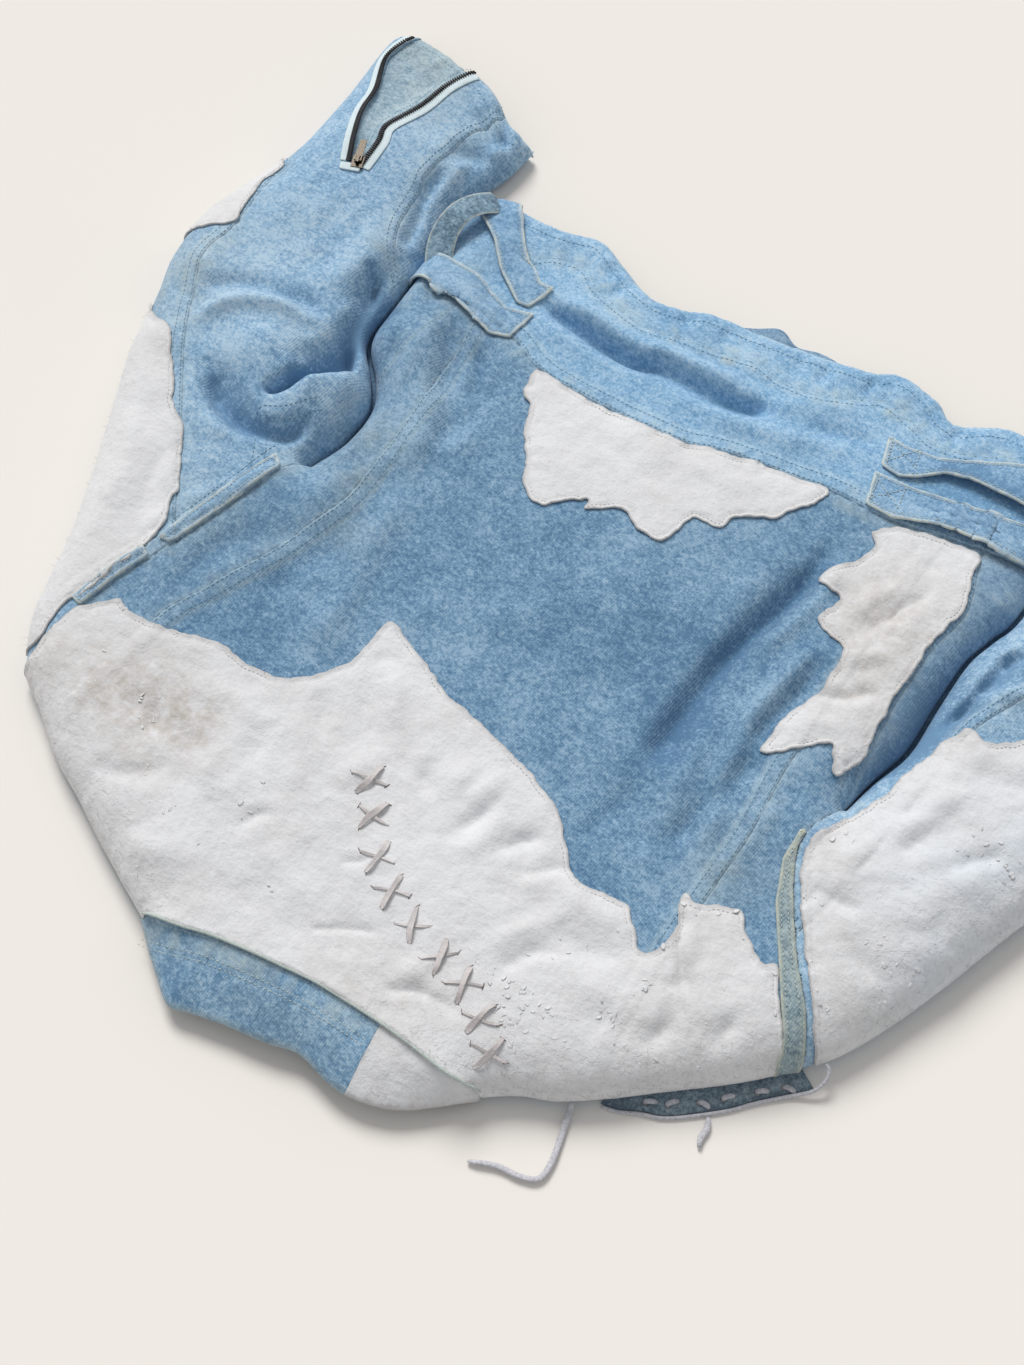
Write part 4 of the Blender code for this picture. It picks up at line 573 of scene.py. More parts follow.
def inside(outline: np.ndarray, points: np.ndarray) -> np.ndarray:
    """Tell which points lie inside a closed outline."""
    result = np.zeros(len(points), dtype=bool)
    order = np.argsort(points[:, 1], kind="stable")
    levels = points[order, 1]
    following = np.roll(outline, -1, axis=0)
    low = np.searchsorted(levels, np.minimum(outline[:, 1], following[:, 1]), "right")
    high = np.searchsorted(levels, np.maximum(outline[:, 1], following[:, 1]), "right")
    for (x0, y0), (x1, y1), start, stop in zip(outline, following, low, high):
        if start == stop:
            continue
        part = order[start:stop]
        result[part] ^= points[part, 0] < x0 + (points[part, 1] - y0) * (x1 - x0) / (y1 - y0)
    return result


class Grain:
    """Smooth seeded noise on the plan, from -1 to 1."""

    def __init__(self, seed: int) -> None:
        """Draw the lattice of values."""
        self.table = np.random.default_rng(seed).uniform(-1.0, 1.0, (256, 256))

    def layer(self, points: np.ndarray, size: float) -> np.ndarray:
        """Return one layer of noise whose lumps are about one size across."""
        scaled = points[:, :2] / size
        base = np.floor(scaled).astype(int)
        part = scaled - base
        part = part * part * (3 - 2 * part)
        x0, y0 = base[:, 0] % 256, base[:, 1] % 256
        x1, y1 = (x0 + 1) % 256, (y0 + 1) % 256
        low = self.table[x0, y0] * (1 - part[:, 0]) + self.table[x1, y0] * part[:, 0]
        high = self.table[x0, y1] * (1 - part[:, 0]) + self.table[x1, y1] * part[:, 0]
        return low * (1 - part[:, 1]) + high * part[:, 1]

    def __call__(self, points: np.ndarray, size: float) -> np.ndarray:
        """Return noise of two layers, turned against each other."""
        turn = np.array([[0.8, 0.6], [-0.6, 0.8]])
        fine = points[:, :2] @ turn
        return 0.65 * self.layer(points, size) + 0.35 * self.layer(fine + 777.7, size * 0.47)


@dataclass(frozen=True)
class Seam:
    """A sewn line that shows on the cloth.

    Attributes:
        line: The plan points it runs through.
        groove: How deep the line itself sinks.
        welt: How high the doubled cloth beside it stands.
        width: How wide that welt is.
        side: 1 when the welt lies to the left of the line, -1 to its right.
        pucker: How strongly the cloth gathers along it.
    """

    line: list
    groove: float = 0.7
    welt: float = 0.9
    width: float = 11.0
    side: float = 1.0
    pucker: float = 0.35


SEAMS = [
    Seam(BAND_SEAM, 0.9, 1.1, 13.0, 1.0, 0.7),
    Seam(BACK_SEAM_LEFT, 0.5, 0.8, 12.0, 1.0, 0.35),
    Seam(BACK_SEAM_RIGHT, 0.5, 0.8, 12.0, -1.0, 0.35),
    Seam(SIDE_SEAM_RIGHT, 1.2, 1.0, 9.0, -1.0, 0.4),
    Seam(SLEEVE_SEAM_LEFT, 0.8, 0.9, 10.0, 1.0, 0.35),
    Seam(UNDERARM_SEAM_LEFT, 0.8, 0.7, 8.0, -1.0, 0.4),
    Seam(SLEEVE_SEAM_RIGHT, 0.8, 0.8, 9.0, 1.0, 0.4),
    Seam(UNDERARM_SEAM_RIGHT, 0.8, 0.8, 9.0, 1.0, 0.4),
    Seam(TUNNEL_LINE, 0.8, 0.0, 9.0, 1.0, 1.0),
    Seam(SIDE_STITCH_LEFT, 0.5, 0.0, 9.0, 1.0, 0.3),
    Seam(WELT_EDGE_LEFT, 0.2, 1.3, 9.0, -1.0, 0.25),
    Seam(ARMHOLE_LEFT, 1.0, 1.2, 10.0, -1.0, 0.25),
    Seam(ARMHOLE_RIGHT, 1.0, 1.2, 10.0, 1.0, 0.25)]


class Garment:
    """The plan lines of the jacket and the heights of its upper and lower wall."""

    def __init__(self) -> None:
        """Work out the smooth lines that the pieces share."""
        valley_left = smooth_line(VALLEY_LEFT)
        valley_right = smooth_line(VALLEY_RIGHT)
        body_left = self.valley_side(valley_left, -1.0)
        body_right = self.valley_side(valley_right, 1.0)
        hem_left = smooth_line([tuple(body_left[-1]), (-262, 265), HEM_CORNER_LEFT])
        hem_right = smooth_line([tuple(body_right[-1]), (265, 265), HEM_CORNER_RIGHT])
        self.body_left = joined(body_left, hem_left)
        self.body_right = joined(body_right, hem_right)
        self.inner_left = self.sleeve_side(valley_left, 1.0, SLEEVE_LEFT_INNER_END)
        self.inner_right = self.sleeve_side(valley_right, -1.0, SLEEVE_RIGHT_INNER_END)
        self.armhole_left = smooth_line(ARMHOLE_LEFT)
        self.armhole_right = smooth_line(ARMHOLE_RIGHT)
        self.shoulder_left = smooth_line(SHOULDER_LEFT)
        self.shoulder_right = smooth_line(SHOULDER_RIGHT)
        self.outer_left = smooth_line(SLEEVE_LEFT_OUTER)
        self.outer_right = smooth_line(SLEEVE_RIGHT_OUTER)
        self.neck = smooth_line(NECK)
        self.closed = [
            self.body_left, self.body_right, self.shoulder_left, self.shoulder_right,
            self.outer_left, self.outer_right, self.inner_left, self.inner_right]
        self.open_edges = [smooth_line(BACK_HEM), smooth_line(CUFF_LEFT), smooth_line(CUFF_RIGHT)]
        self.folds = [(smooth_line(line), lift, width) for line, lift, width in FOLDS + FINE_FOLDS]
        self.seams = [(smooth_line(seam.line), seam) for seam in SEAMS]
        self.wrinkles = Grain(11)
        self.ripple = Grain(23)

    @staticmethod
    def valley_side(valley: np.ndarray, side: float) -> np.ndarray:
        """Return one side of the valley between body and sleeve, which opens from the underarm."""
        ramp = np.clip(np.linspace(0.0, 4.0, len(valley)), 0.0, 1.0)
        return shifted(valley, side * VALLEY_GAP * ramp)

    def sleeve_side(self, valley: np.ndarray, side: float, end: list) -> np.ndarray:
        """Return a sleeve's inner edge, from the underarm to the cuff."""
        edge = self.valley_side(valley, side)
        return joined(edge, smooth_line([tuple(edge[-1])] + end))

    def edge_distance(self, points: np.ndarray, reach: float) -> np.ndarray:
        """Return each point's distance to the nearest closed edge, no more than one reach."""
        nearest = np.full(len(points), float(reach))
        for line in self.closed:
            nearest = np.minimum(nearest, nearest_on(line, points, reach)[0])
        return nearest

    def roll(self, points: np.ndarray, reach: float) -> np.ndarray:
        """Return 0 at a closed edge and 1 from one reach away, with a round rise."""
        share = 1.0 - self.edge_distance(points, reach) / reach
        return np.sqrt(np.maximum(1.0 - share ** 2, 0.0))

    def upper(self, points: np.ndarray) -> np.ndarray:
        """Return the height of the upper wall's outer side.

        Args:
            points: The plan points.

        Returns:
            The heights, with crowns, folds, seams and puckers.
        """
        spots = np.array(CROWNS, dtype=float)
        squares = ((points[:, None, :] - spots[None, :, :2]) ** 2).sum(axis=2)
        weights = 1.0 / (squares + CROWN_REACH ** 2) ** 2
        crown = (weights * spots[:, 2]).sum(axis=1) / weights.sum(axis=1)
        distance = self.edge_distance(points, UPPER_ROLL)
        rise = np.sqrt(np.maximum(1.0 - (1.0 - distance / UPPER_ROLL) ** 2, 0.0))
        near_edge = np.clip(distance / NEAR_EDGE, 0.0, 1.0) ** 2
        height = EDGE_HEIGHT + (crown - EDGE_HEIGHT) * rise
        for line, lift, width in self.folds:
            reach = width * 3.0
            gap, where, _ = nearest_on(line, points, reach)
            taper = min(FOLD_TAPER, 2.4 * width)
            ends = np.clip(np.minimum(where, reached_along(line)[-1] - where) / taper, 0.0, 1.0)
            height += lift * near_edge * ends * np.exp(-(gap / width) ** 2) * (gap < reach)
        height += rise * (1.1 * self.wrinkles(points, 46.0) + 0.5 * self.wrinkles(points, 17.0)
                          + 0.16 * self.wrinkles(points, 6.0))
        height += rise ** 2 * self.sewn(points)
        for line in self.open_edges:
            gap, where, _ = nearest_on(line, points, OPEN_EDGE_REACH)
            gathers = self.ripple.layer(np.column_stack([where, gap * 0.12]), GATHER_PITCH)
            height += 1.3 * gathers * np.exp(-((gap - 14.0) / 14.0) ** 2) * (gap < OPEN_EDGE_REACH)
            gap = np.minimum(gap, HEM_ROLL)
            height -= HEM_DROP * (1.0 - np.sqrt(1.0 - (1.0 - gap / HEM_ROLL) ** 2))
        return np.maximum(height, 2.2)

    def sewn(self, points: np.ndarray) -> np.ndarray:
        """Return how much seams lift, sink and gather the cloth."""
        change = np.zeros(len(points))
        for line, seam in self.seams:
            reach = seam.width + 16.0
            gap, where, side = nearest_on(line, points, reach)
            on_welt = (side == seam.side) & (gap < seam.width)
            fall = np.clip((seam.width - gap) / 1.2, 0.0, 1.0)
            change += np.where(on_welt, seam.welt * fall, 0.0)
            change -= seam.groove * np.exp(-(gap / 1.3) ** 2)
            beat = np.column_stack([where, gap * 0.25])
            wave = self.ripple.layer(beat, SEAM_BEAT) + 0.6 * self.ripple.layer(beat + 91.0, 4.0)
            change += seam.pucker * wave * np.exp(-(gap / 9.0) ** 2)
        return change

    def lower(self, points: np.ndarray) -> np.ndarray:
        """Return the height of the lower wall's outer side, which lies on the floor."""
        rise = self.roll(points, LOWER_ROLL)
        ease = 0.25 * rise * (1.0 + self.wrinkles(points, 30.0))
        return EDGE_HEIGHT * (1.0 - rise) + ease


class Side(Enum):
    """Which wall of the cloth a sheet follows."""

    UPPER = "upper"
    LOWER = "lower"


def triangulated(ring: np.ndarray, lines: list, loose: np.ndarray, closed: bool = False) -> tuple:
    """Mesh a plan region with triangles whose edges follow some lines.

    Args:
        ring: The region's outline.
        lines: The lines to follow.
        loose: The other points.
        closed: Whether the lines close on themselves.

    Returns:
        Plan points and triangles.
    """
    points = [Vector(p) for p in ring]
    held = []
    for line in lines:
        start, count = len(points), len(line)
        points += [Vector(p) for p in line]
        held += [(start + i, start + (i + 1) % count) for i in range(count if closed else count - 1)]
    points += [Vector(p) for p in loose]
    made = delaunay_2d_cdt(points, held, [list(range(len(ring)))], 1, 1e-5)
    return np.array([(p.x, p.y) for p in made[0]]), np.array([tuple(face) for face in made[2]])


def square_grid(ring: np.ndarray, cell: float, lines: list, clear: float) -> np.ndarray:
    """Return a grid of points inside an outline and clear of some lines."""
    low, high = ring.min(axis=0), ring.max(axis=0)
    grid = np.array([(x, y) for y in np.arange(low[1], high[1], cell)
                     for x in np.arange(low[0], high[0], cell)])
    grid = grid[inside(ring, grid)]
    for line in lines:
        grid = grid[nearest_on(line, grid, 4.0)[0] > clear]
    return grid


class Domain:
    """A part of the plan with one outline, whose cloth is meshed as one sheet."""

    def __init__(self, garment: Garment, ring: list, side: Side) -> None:
        """Keep the outline, evenly stepped.

        Args:
            garment: The shared lines and heights.
            ring: The lines that make the outline, in order.
            side: The wall that it follows.
        """
        self.garment = garment
        self.side = side
        self.ring = np.vstack([even(line, ROW_STEP)[:-1] for line in ring])

    def heights(self, points: np.ndarray) -> np.ndarray:
        """Return the wall's heights at plan points."""
        if self.side is Side.UPPER:
            return self.garment.upper(points)
        return self.garment.lower(points)

    def laid(self, edge: np.ndarray, offsets: tuple, cell: float) -> tuple:
        """Mesh the part of the domain inside an edge, for a piece that lies on it.

        Args:
            edge: The piece's closed outline.
            offsets: How far beside the outline to place rows of closer points.
            cell: How far apart other points are.

        Returns:
            Points on the wall and triangles that face up.
        """
        rows = [shifted(edge, offset) for offset in offsets]
        rows = [row[inside(edge, row)] for row in rows]
        rows = [row for row in rows if len(row) > 3]
        flat, triangles = self.mesh([edge], rows, cell, edge)
        triangles = triangles_in(flat, triangles, [self.ring, edge], [])
        used, faces, _ = compact(np.column_stack([flat, np.zeros(len(flat))]), triangles)
        points = np.column_stack([used[:, :2], self.heights(used[:, :2])])
        return points, facing(points, faces, True)

    def mesh(self, cuts: list, rows: list, cell: float, within: np.ndarray | None = None) -> tuple:
        """Mesh the domain with triangles.

        Args:
            cuts: Lines that the triangles' edges must follow.
            rows: Lines along which to place closer points.
            cell: How far apart other points are.
            within: An outline outside which no inner points are needed.

        Returns:
            Plan points and triangles.
        """
        low, high = self.ring.min(axis=0), self.ring.max(axis=0)
        if within is not None:
            low = np.maximum(low, within.min(axis=0) - cell)
            high = np.minimum(high, within.max(axis=0) + cell)
        xs = np.arange(low[0], high[0], cell)
        ys = np.arange(low[1], high[1], cell * 0.866)
        grid = np.array([(x + (row % 2) * cell / 2, y) for row, y in enumerate(ys) for x in xs])
        keep = inside(self.ring, grid)
        if within is not None:
            keep &= inside(within, grid)
        grid = grid[keep]
        grid = grid[self.garment.edge_distance(grid, EDGE_REACH) > EDGE_ROWS[-1] + 0.5 * cell]
        extra = [grid]
        for line in self.garment.closed:
            for offset in EDGE_ROWS:
                spread = even(line, max(ROW_STEP, 0.7 * offset))
                for sign in (-1.0, 1.0):
                    spots = shifted(spread, sign * offset)
                    far = self.garment.edge_distance(spots, EDGE_REACH) > 0.93 * offset
                    extra.append(spots[far & inside(self.ring, spots)])
        for line in rows:
            spots = even(line, ROW_STEP)
            extra.append(spots[inside(self.ring, spots)])
        soft = np.vstack(extra)
        if within is not None:
            soft = soft[inside(within, soft)]
        for line in cuts + [self.ring]:
            soft = soft[nearest_on(line, soft, 2.0)[0] > 0.45]
        for line in rows:
            gap = nearest_on(line, soft, 2.0)[0]
            soft = soft[(gap < 1e-6) | (gap > 0.8)]
        return triangulated(self.ring, [even(line, ROW_STEP) for line in cuts], soft)


def triangles_in(plan: np.ndarray, triangles: np.ndarray, keep: list, drop: list) -> np.ndarray:
    """Return the triangles inside every outline of one list and outside those of another."""
    centres = plan[triangles].mean(axis=1)
    chosen = np.ones(len(triangles), dtype=bool)
    for outline in keep:
        chosen &= inside(np.array(outline, dtype=float), centres)
    for outline in drop:
        chosen &= ~inside(np.array(outline, dtype=float), centres)
    return triangles[chosen]


def facing(points: np.ndarray, triangles: np.ndarray, up: bool) -> np.ndarray:
    """Turn all the triangles up or down."""
    a, b, c = (points[triangles[:, i]] for i in range(3))
    cross = (b[:, 0] - a[:, 0]) * (c[:, 1] - a[:, 1]) - (b[:, 1] - a[:, 1]) * (c[:, 0] - a[:, 0])
    wrong = (cross < 0) if up else (cross > 0)
    turned = triangles.copy()
    turned[wrong] = turned[wrong][:, ::-1]
    return turned


def normals_of(points: np.ndarray, triangles: np.ndarray) -> np.ndarray:
    """Return each point's unit normal."""
    a, b, c = (points[triangles[:, i]] for i in range(3))
    cross = np.cross(b - a, c - a)
    total = np.zeros_like(points)
    for i in range(3):
        np.add.at(total, triangles[:, i], cross)
    return total / np.maximum(np.linalg.norm(total, axis=1), 1e-12)[:, None]


def compact(points: np.ndarray, triangles: np.ndarray) -> tuple:
    """Drop unused points and merge the doubled ones, and tell which points were kept."""
    keys = np.round(points / 0.004).astype(np.int64)
    _, first, number = np.unique(keys, axis=0, return_index=True, return_inverse=True)
    number = number.reshape(-1)
    merged = number[triangles]
    after = np.roll(merged, -1, axis=1)
    merged = merged[(merged != after).all(axis=1)]
    used = np.unique(merged)
    place = np.full(len(first), -1)
    place[used] = np.arange(len(used))
    return points[first][used], place[merged], first[used]


def walled(points: np.ndarray, triangles: np.ndarray, out: np.ndarray, into: np.ndarray) -> tuple:
    """Close a sheet into a thin shell with rounded edges.

    Args:
        points: The sheet's points.
        triangles: Its triangles, facing out.
        out: How far the outer side stands out at each point.
        into: How far the inner side lies under each point.

    Returns:
        Points, triangles, and the sheet point that each point came from.
    """
    normal = normals_of(points, triangles)
    outer = points + normal * out[:, None]
    inner = points - normal * into[:, None]
    count = len(points)
    edges = np.vstack([triangles[:, [0, 1]], triangles[:, [1, 2]], triangles[:, [2, 0]]])
    keys = np.sort(edges, axis=1)
    _, first, times = np.unique(keys, axis=0, return_index=True, return_counts=True)
    rim = edges[first[times == 1]]
    direction = points[rim[:, 1]] - points[rim[:, 0]]
    outward = np.cross(direction, normal[rim[:, 0]])
    away = np.zeros_like(points)
    for i in range(2):
        np.add.at(away, rim[:, i], outward)
    rim_points = np.unique(rim)
    place = np.full(count, -1)
    place[rim_points] = 2 * count + np.arange(len(rim_points))
    push = away[rim_points] / np.maximum(np.linalg.norm(away[rim_points], axis=1), 1e-9)[:, None]
    thickness = (out + into)[rim_points][:, None]
    middle = 0.5 * (outer[rim_points] + inner[rim_points]) + push * 0.35 * thickness
    a, b = rim[:, 0], rim[:, 1]
    ma, mb = place[a], place[b]
    sides = np.vstack([
        np.column_stack([b, a, ma]), np.column_stack([b, ma, mb]),
        np.column_stack([mb, ma, a + count]), np.column_stack([mb, a + count, b + count])])
    faces = np.vstack([triangles, triangles[:, ::-1] + count, sides])
    origin = np.concatenate([np.arange(count), np.arange(count), rim_points])
    return np.vstack([outer, inner, middle]), faces, origin


def mesh_object(name: str, points: np.ndarray, faces: np.ndarray,
                facts: dict | None = None) -> bpy.types.Object:
    """Return a smooth mesh object from millimetre points.

    Args:
        name: The object's name.
        points: Its points in millimetres.
        faces: Its triangles.
        facts: Values for each point, by attribute name.

    Returns:
        The object, linked to the scene.
    """
    mesh = bpy.data.meshes.new(name)
    mesh.vertices.add(len(points))
    mesh.vertices.foreach_set("co", (points * MM).astype(np.float32).ravel())
    mesh.loops.add(len(faces) * 3)
    mesh.loops.foreach_set("vertex_index", faces.astype(np.int32).ravel())
    mesh.polygons.add(len(faces))
    mesh.polygons.foreach_set("loop_start", np.arange(0, len(faces) * 3, 3, dtype=np.int32))
    mesh.update(calc_edges=True)
    mesh.polygons.foreach_set("use_smooth", np.ones(len(faces), dtype=bool))
    for key, values in (facts or {}).items():
        layer = mesh.attributes.new(key, "FLOAT", "POINT")
        layer.data.foreach_set("value", values.astype(np.float32))
    mesh.validate()
    made = bpy.data.objects.new(name, mesh)
    bpy.context.scene.collection.objects.link(made)
    return made


class Shader:
    """Builds the nodes of one material."""

    def __init__(self, name: str) -> None:
        """Start a Principled material."""
        self.material = bpy.data.materials.new(name)
        self.material.use_nodes = True
        self.tree = self.material.node_tree
        self.main = self.tree.nodes["Principled BSDF"]
        place = self.tree.nodes.new("ShaderNodeTexCoord")
        self.place = place.outputs["Object"]

    def put(self, socket: bpy.types.NodeSocket, value: object) -> None:
        """Link a socket, or set its value."""
        if isinstance(value, bpy.types.NodeSocket):
            self.tree.links.new(value, socket)
        else:
            socket.default_value = value

    def fact(self, name: str) -> bpy.types.NodeSocket:
        """Return a point value of the mesh."""
        node = self.tree.nodes.new("ShaderNodeAttribute")
        node.attribute_name = name
        return node.outputs["Fac"]

    def noise(self, size_mm: float, detail: float = 2.0, roughness: float = 0.5,
              stretch: tuple = (1.0, 1.0, 1.0), turn: float = 0.0) -> bpy.types.NodeSocket:
        """Return noise whose lumps are about one size across."""
        mapping = self.tree.nodes.new("ShaderNodeMapping")
        self.put(mapping.inputs["Vector"], self.place)
        mapping.inputs["Scale"].default_value = stretch
        mapping.inputs["Rotation"].default_value = (0.0, 0.0, turn)
        node = self.tree.nodes.new("ShaderNodeTexNoise")
        self.put(node.inputs["Vector"], mapping.outputs["Vector"])
        node.inputs["Scale"].default_value = 1.0 / (size_mm * MM)
        node.inputs["Detail"].default_value = detail
        node.inputs["Roughness"].default_value = roughness
        return node.outputs["Fac"]

    def twill(self, pitch_mm: float) -> bpy.types.NodeSocket:
        """Return the slanting ribs of twill."""
        mapping = self.tree.nodes.new("ShaderNodeMapping")
        self.put(mapping.inputs["Vector"], self.place)
        mapping.inputs["Rotation"].default_value = (0.0, 0.0, math.radians(8.0))
        node = self.tree.nodes.new("ShaderNodeTexWave")
        node.bands_direction = "X"
        self.put(node.inputs["Vector"], mapping.outputs["Vector"])
        node.inputs["Scale"].default_value = 0.314 / (pitch_mm * MM)
        node.inputs["Distortion"].default_value = 1.6
        node.inputs["Detail"].default_value = 1.0
        node.inputs["Detail Scale"].default_value = 1.5
        return node.outputs["Fac"]

    def sum(self, kind: str, first: object, second: object) -> bpy.types.NodeSocket:
        """Return the result of a sum on two values."""
        node = self.tree.nodes.new("ShaderNodeMath")
        node.operation = kind
        self.put(node.inputs[0], first)
        self.put(node.inputs[1], second)
        return node.outputs[0]

    def around(self, value: bpy.types.NodeSocket, gain: float) -> bpy.types.NodeSocket:
        """Return a noise value about zero, strengthened."""
        return self.sum("MULTIPLY", self.sum("SUBTRACT", value, 0.5), gain)

    def total(self, *values: object) -> bpy.types.NodeSocket:
        """Return the sum of several values."""
        result = values[0]
        for value in values[1:]:
            result = self.sum("ADD", result, value)
        return result

    def ramp(self, value: bpy.types.NodeSocket, stops: list) -> bpy.types.NodeSocket:
        """Return a colour or value from stops of (place, colour)."""
        node = self.tree.nodes.new("ShaderNodeValToRGB")
        self.put(node.inputs["Fac"], value)
        elements = node.color_ramp.elements
        while len(elements) < len(stops):
            elements.new(0.5)
        for element, (at, colour) in zip(elements, stops):
            element.position = at
            element.color = (*colour, 1.0)
        return node.outputs["Color"]

    def mix(self, share: object, first: object, second: object, kind: str = "MIX") -> bpy.types.NodeSocket:
        """Return two colours mixed."""
        node = self.tree.nodes.new("ShaderNodeMix")
        node.data_type = "RGBA"
        node.blend_type = kind
        node.clamp_factor = True
        self.put(node.inputs[0], share)
        for socket, value in ((node.inputs[6], first), (node.inputs[7], second)):
            self.put(socket, (*value, 1.0) if isinstance(value, tuple) else value)
        return node.outputs[2]

    def bump(self, height: object, distance_mm: float, strength: float = 1.0,
             under: object = None) -> object:
        """Return a normal bumped by a height."""
        node = self.tree.nodes.new("ShaderNodeBump")
        node.inputs["Distance"].default_value = distance_mm * MM
        node.inputs["Strength"].default_value = strength
        self.put(node.inputs["Height"], height)
        if under is not None:
            self.put(node.inputs["Normal"], under)
        return node.outputs["Normal"]

    def finish(self, colour: object, roughness: object, normal: object = None, sheen: float = 0.0,
               metallic: float = 0.0) -> bpy.types.Material:
        """Set the main shader and return the material."""
        self.put(self.main.inputs["Base Color"], (*colour, 1.0) if isinstance(colour, tuple) else colour)
        self.put(self.main.inputs["Roughness"], roughness)
        self.main.inputs["Metallic"].default_value = metallic
        self.main.inputs["Sheen Weight"].default_value = sheen
        self.main.inputs["Sheen Roughness"].default_value = 0.6
        self.main.inputs["Specular IOR Level"].default_value = 0.25
        if normal is not None:
            self.put(self.main.inputs["Normal"], normal)
        return self.material


@dataclass(frozen=True)
class DenimFinish:
    """Washed twill with pale worn edges, and painted shade and highlight from its point values.

    Attributes:
        name: The material's name.
        deep: The colour where dye is left.
        middle: The usual colour.
        light: The washed colour.
        pale: The colour of worn edges.
        contrast: How strongly the wash varies.
    """

    name: str
    deep: tuple
    middle: tuple
    light: tuple
    pale: tuple = (0.52, 0.62, 0.62)
    contrast: float = 1.0

    def build(self) -> bpy.types.Material:
        """Return the material."""
        shader = Shader(self.name)
        gain = self.contrast
        grain = shader.noise(2.3, 2.0, 0.6)
        ribs = shader.twill(1.7)
        # The point values add the wash tone, which holds painted shade in creases, in the valleys and under
        # the shoulder roll, and painted highlight on fold ridges.
        value = shader.total(
            0.5, shader.around(shader.noise(120.0, 3.0, 0.55), 0.6 * gain),
            shader.around(shader.noise(28.0, 4.0, 0.62), 0.75 * gain),
            shader.around(shader.noise(8.0, 3.0, 0.65, (1.0, 1.6, 1.0), 0.5), 0.9 * gain),
            shader.around(shader.noise(4.2, 2.0, 0.6), 0.9), shader.around(grain, 1.35),
            shader.around(shader.noise(1.4, 1.0, 0.5), 0.8), shader.around(ribs, 0.13), shader.fact("wash"))
        colour = shader.ramp(value, [(0.10, self.deep), (0.5, self.middle), (0.90, self.light)])
        rubbed = shader.sum("MULTIPLY", shader.fact("wear_and_edge_shade"), shader.ramp(
            shader.noise(9.0, 4.0, 0.7), [(0.30, (0.25, 0.25, 0.25)), (0.62, (1.0, 1.0, 1.0))]))
        colour = shader.mix(rubbed, colour, self.pale)
        soil = shader.sum("MULTIPLY", shader.fact("grime"), shader.ramp(
            shader.noise(16.0, 4.0, 0.7), [(0.35, (0.2, 0.2, 0.2)), (0.7, (1.0, 1.0, 1.0))]))
        colour = shader.mix(soil, colour, (0.33, 0.34, 0.27))
        slub = shader.total(shader.around(ribs, 0.4), shader.around(grain, 1.2),
                            shader.around(shader.noise(3.4, 2.0, 0.5, (1.0, 3.0, 1.0), 0.4), 0.8))
        normal = shader.bump(slub, 0.28, 0.8)
        normal = shader.bump(shader.noise(14.0, 3.0, 0.55), 2.0, 0.35, normal)
        return shader.finish(colour, 0.92, normal, 0.12)


@dataclass(frozen=True)
class SuedeFinish:
    """Off-white napped leather with stains and frayed places, and with painted grey, bluish and edge shade.

    Attributes:
        name: The material's name.
        light: The usual colour.
        dull: The duller colour of rubbed places.
        stain_and_shade: The colour of stains and of painted grey shade.
    """

    name: str
    light: tuple = (0.765, 0.77, 0.79)
    dull: tuple = (0.62, 0.61, 0.61)
    stain_and_shade: tuple = (0.50, 0.46, 0.42)

    def build(self) -> bpy.types.Material:
        """Return the material."""
        shader = Shader(self.name)
        nap = shader.noise(2.2, 4.0, 0.7)
        pits = shader.noise(5.5, 5.0, 0.68)
        value = shader.total(
            0.5, shader.around(shader.noise(60.0, 3.0, 0.55), 0.5), shader.around(pits, 0.35),
            shader.around(nap, 0.45), shader.fact("wash"))
        colour = shader.ramp(value, [(0.15, self.dull), (0.55, self.light), (0.95, (0.86, 0.86, 0.87))])
        # Stains, and painted grey shade where patches face away.
        marks = shader.sum("MULTIPLY", shader.fact("stain_and_shade"), shader.ramp(
            shader.noise(12.0, 5.0, 0.75), [(0.38, (0.12, 0.12, 0.12)), (0.66, (1.0, 1.0, 1.0))]))
        colour = shader.mix(marks, colour, self.stain_and_shade)
        # Painted bluish shade.
        blue_shade = shader.sum("MULTIPLY", shader.fact("blue_shade"), shader.ramp(
            shader.noise(40.0, 3.0, 0.6), [(0.3, (0.2, 0.2, 0.2)), (0.65, (1.0, 1.0, 1.0))]))
        colour = shader.mix(blue_shade, colour, (0.66, 0.74, 0.82))
        # Painted shade along the cut edges and in the stitch grooves.
        edge = shader.fact("wear_and_edge_shade")
        colour = shader.mix(edge, colour, (0.36, 0.335, 0.32))
        torn = shader.sum("MULTIPLY", shader.fact("fray"), shader.ramp(
            shader.noise(7.0, 4.0, 0.75), [(0.56, (0.0, 0.0, 0.0)), (0.62, (1.0, 1.0, 1.0))]))
        height = shader.total(shader.around(nap, 1.0), shader.around(pits, 1.3))
        normal = shader.bump(height, 0.45, 0.7)
        normal = shader.bump(torn, 0.7, 0.55, normal)
        normal = shader.bump(shader.noise(11.0, 4.0, 0.6), 1.8, 0.5, normal)
        normal = shader.bump(shader.noise(26.0, 3.0, 0.6, (1.0, 1.9, 1.0), 0.5), 3.0, 0.4, normal)
        return shader.finish(colour, 0.96, normal, 0.2)


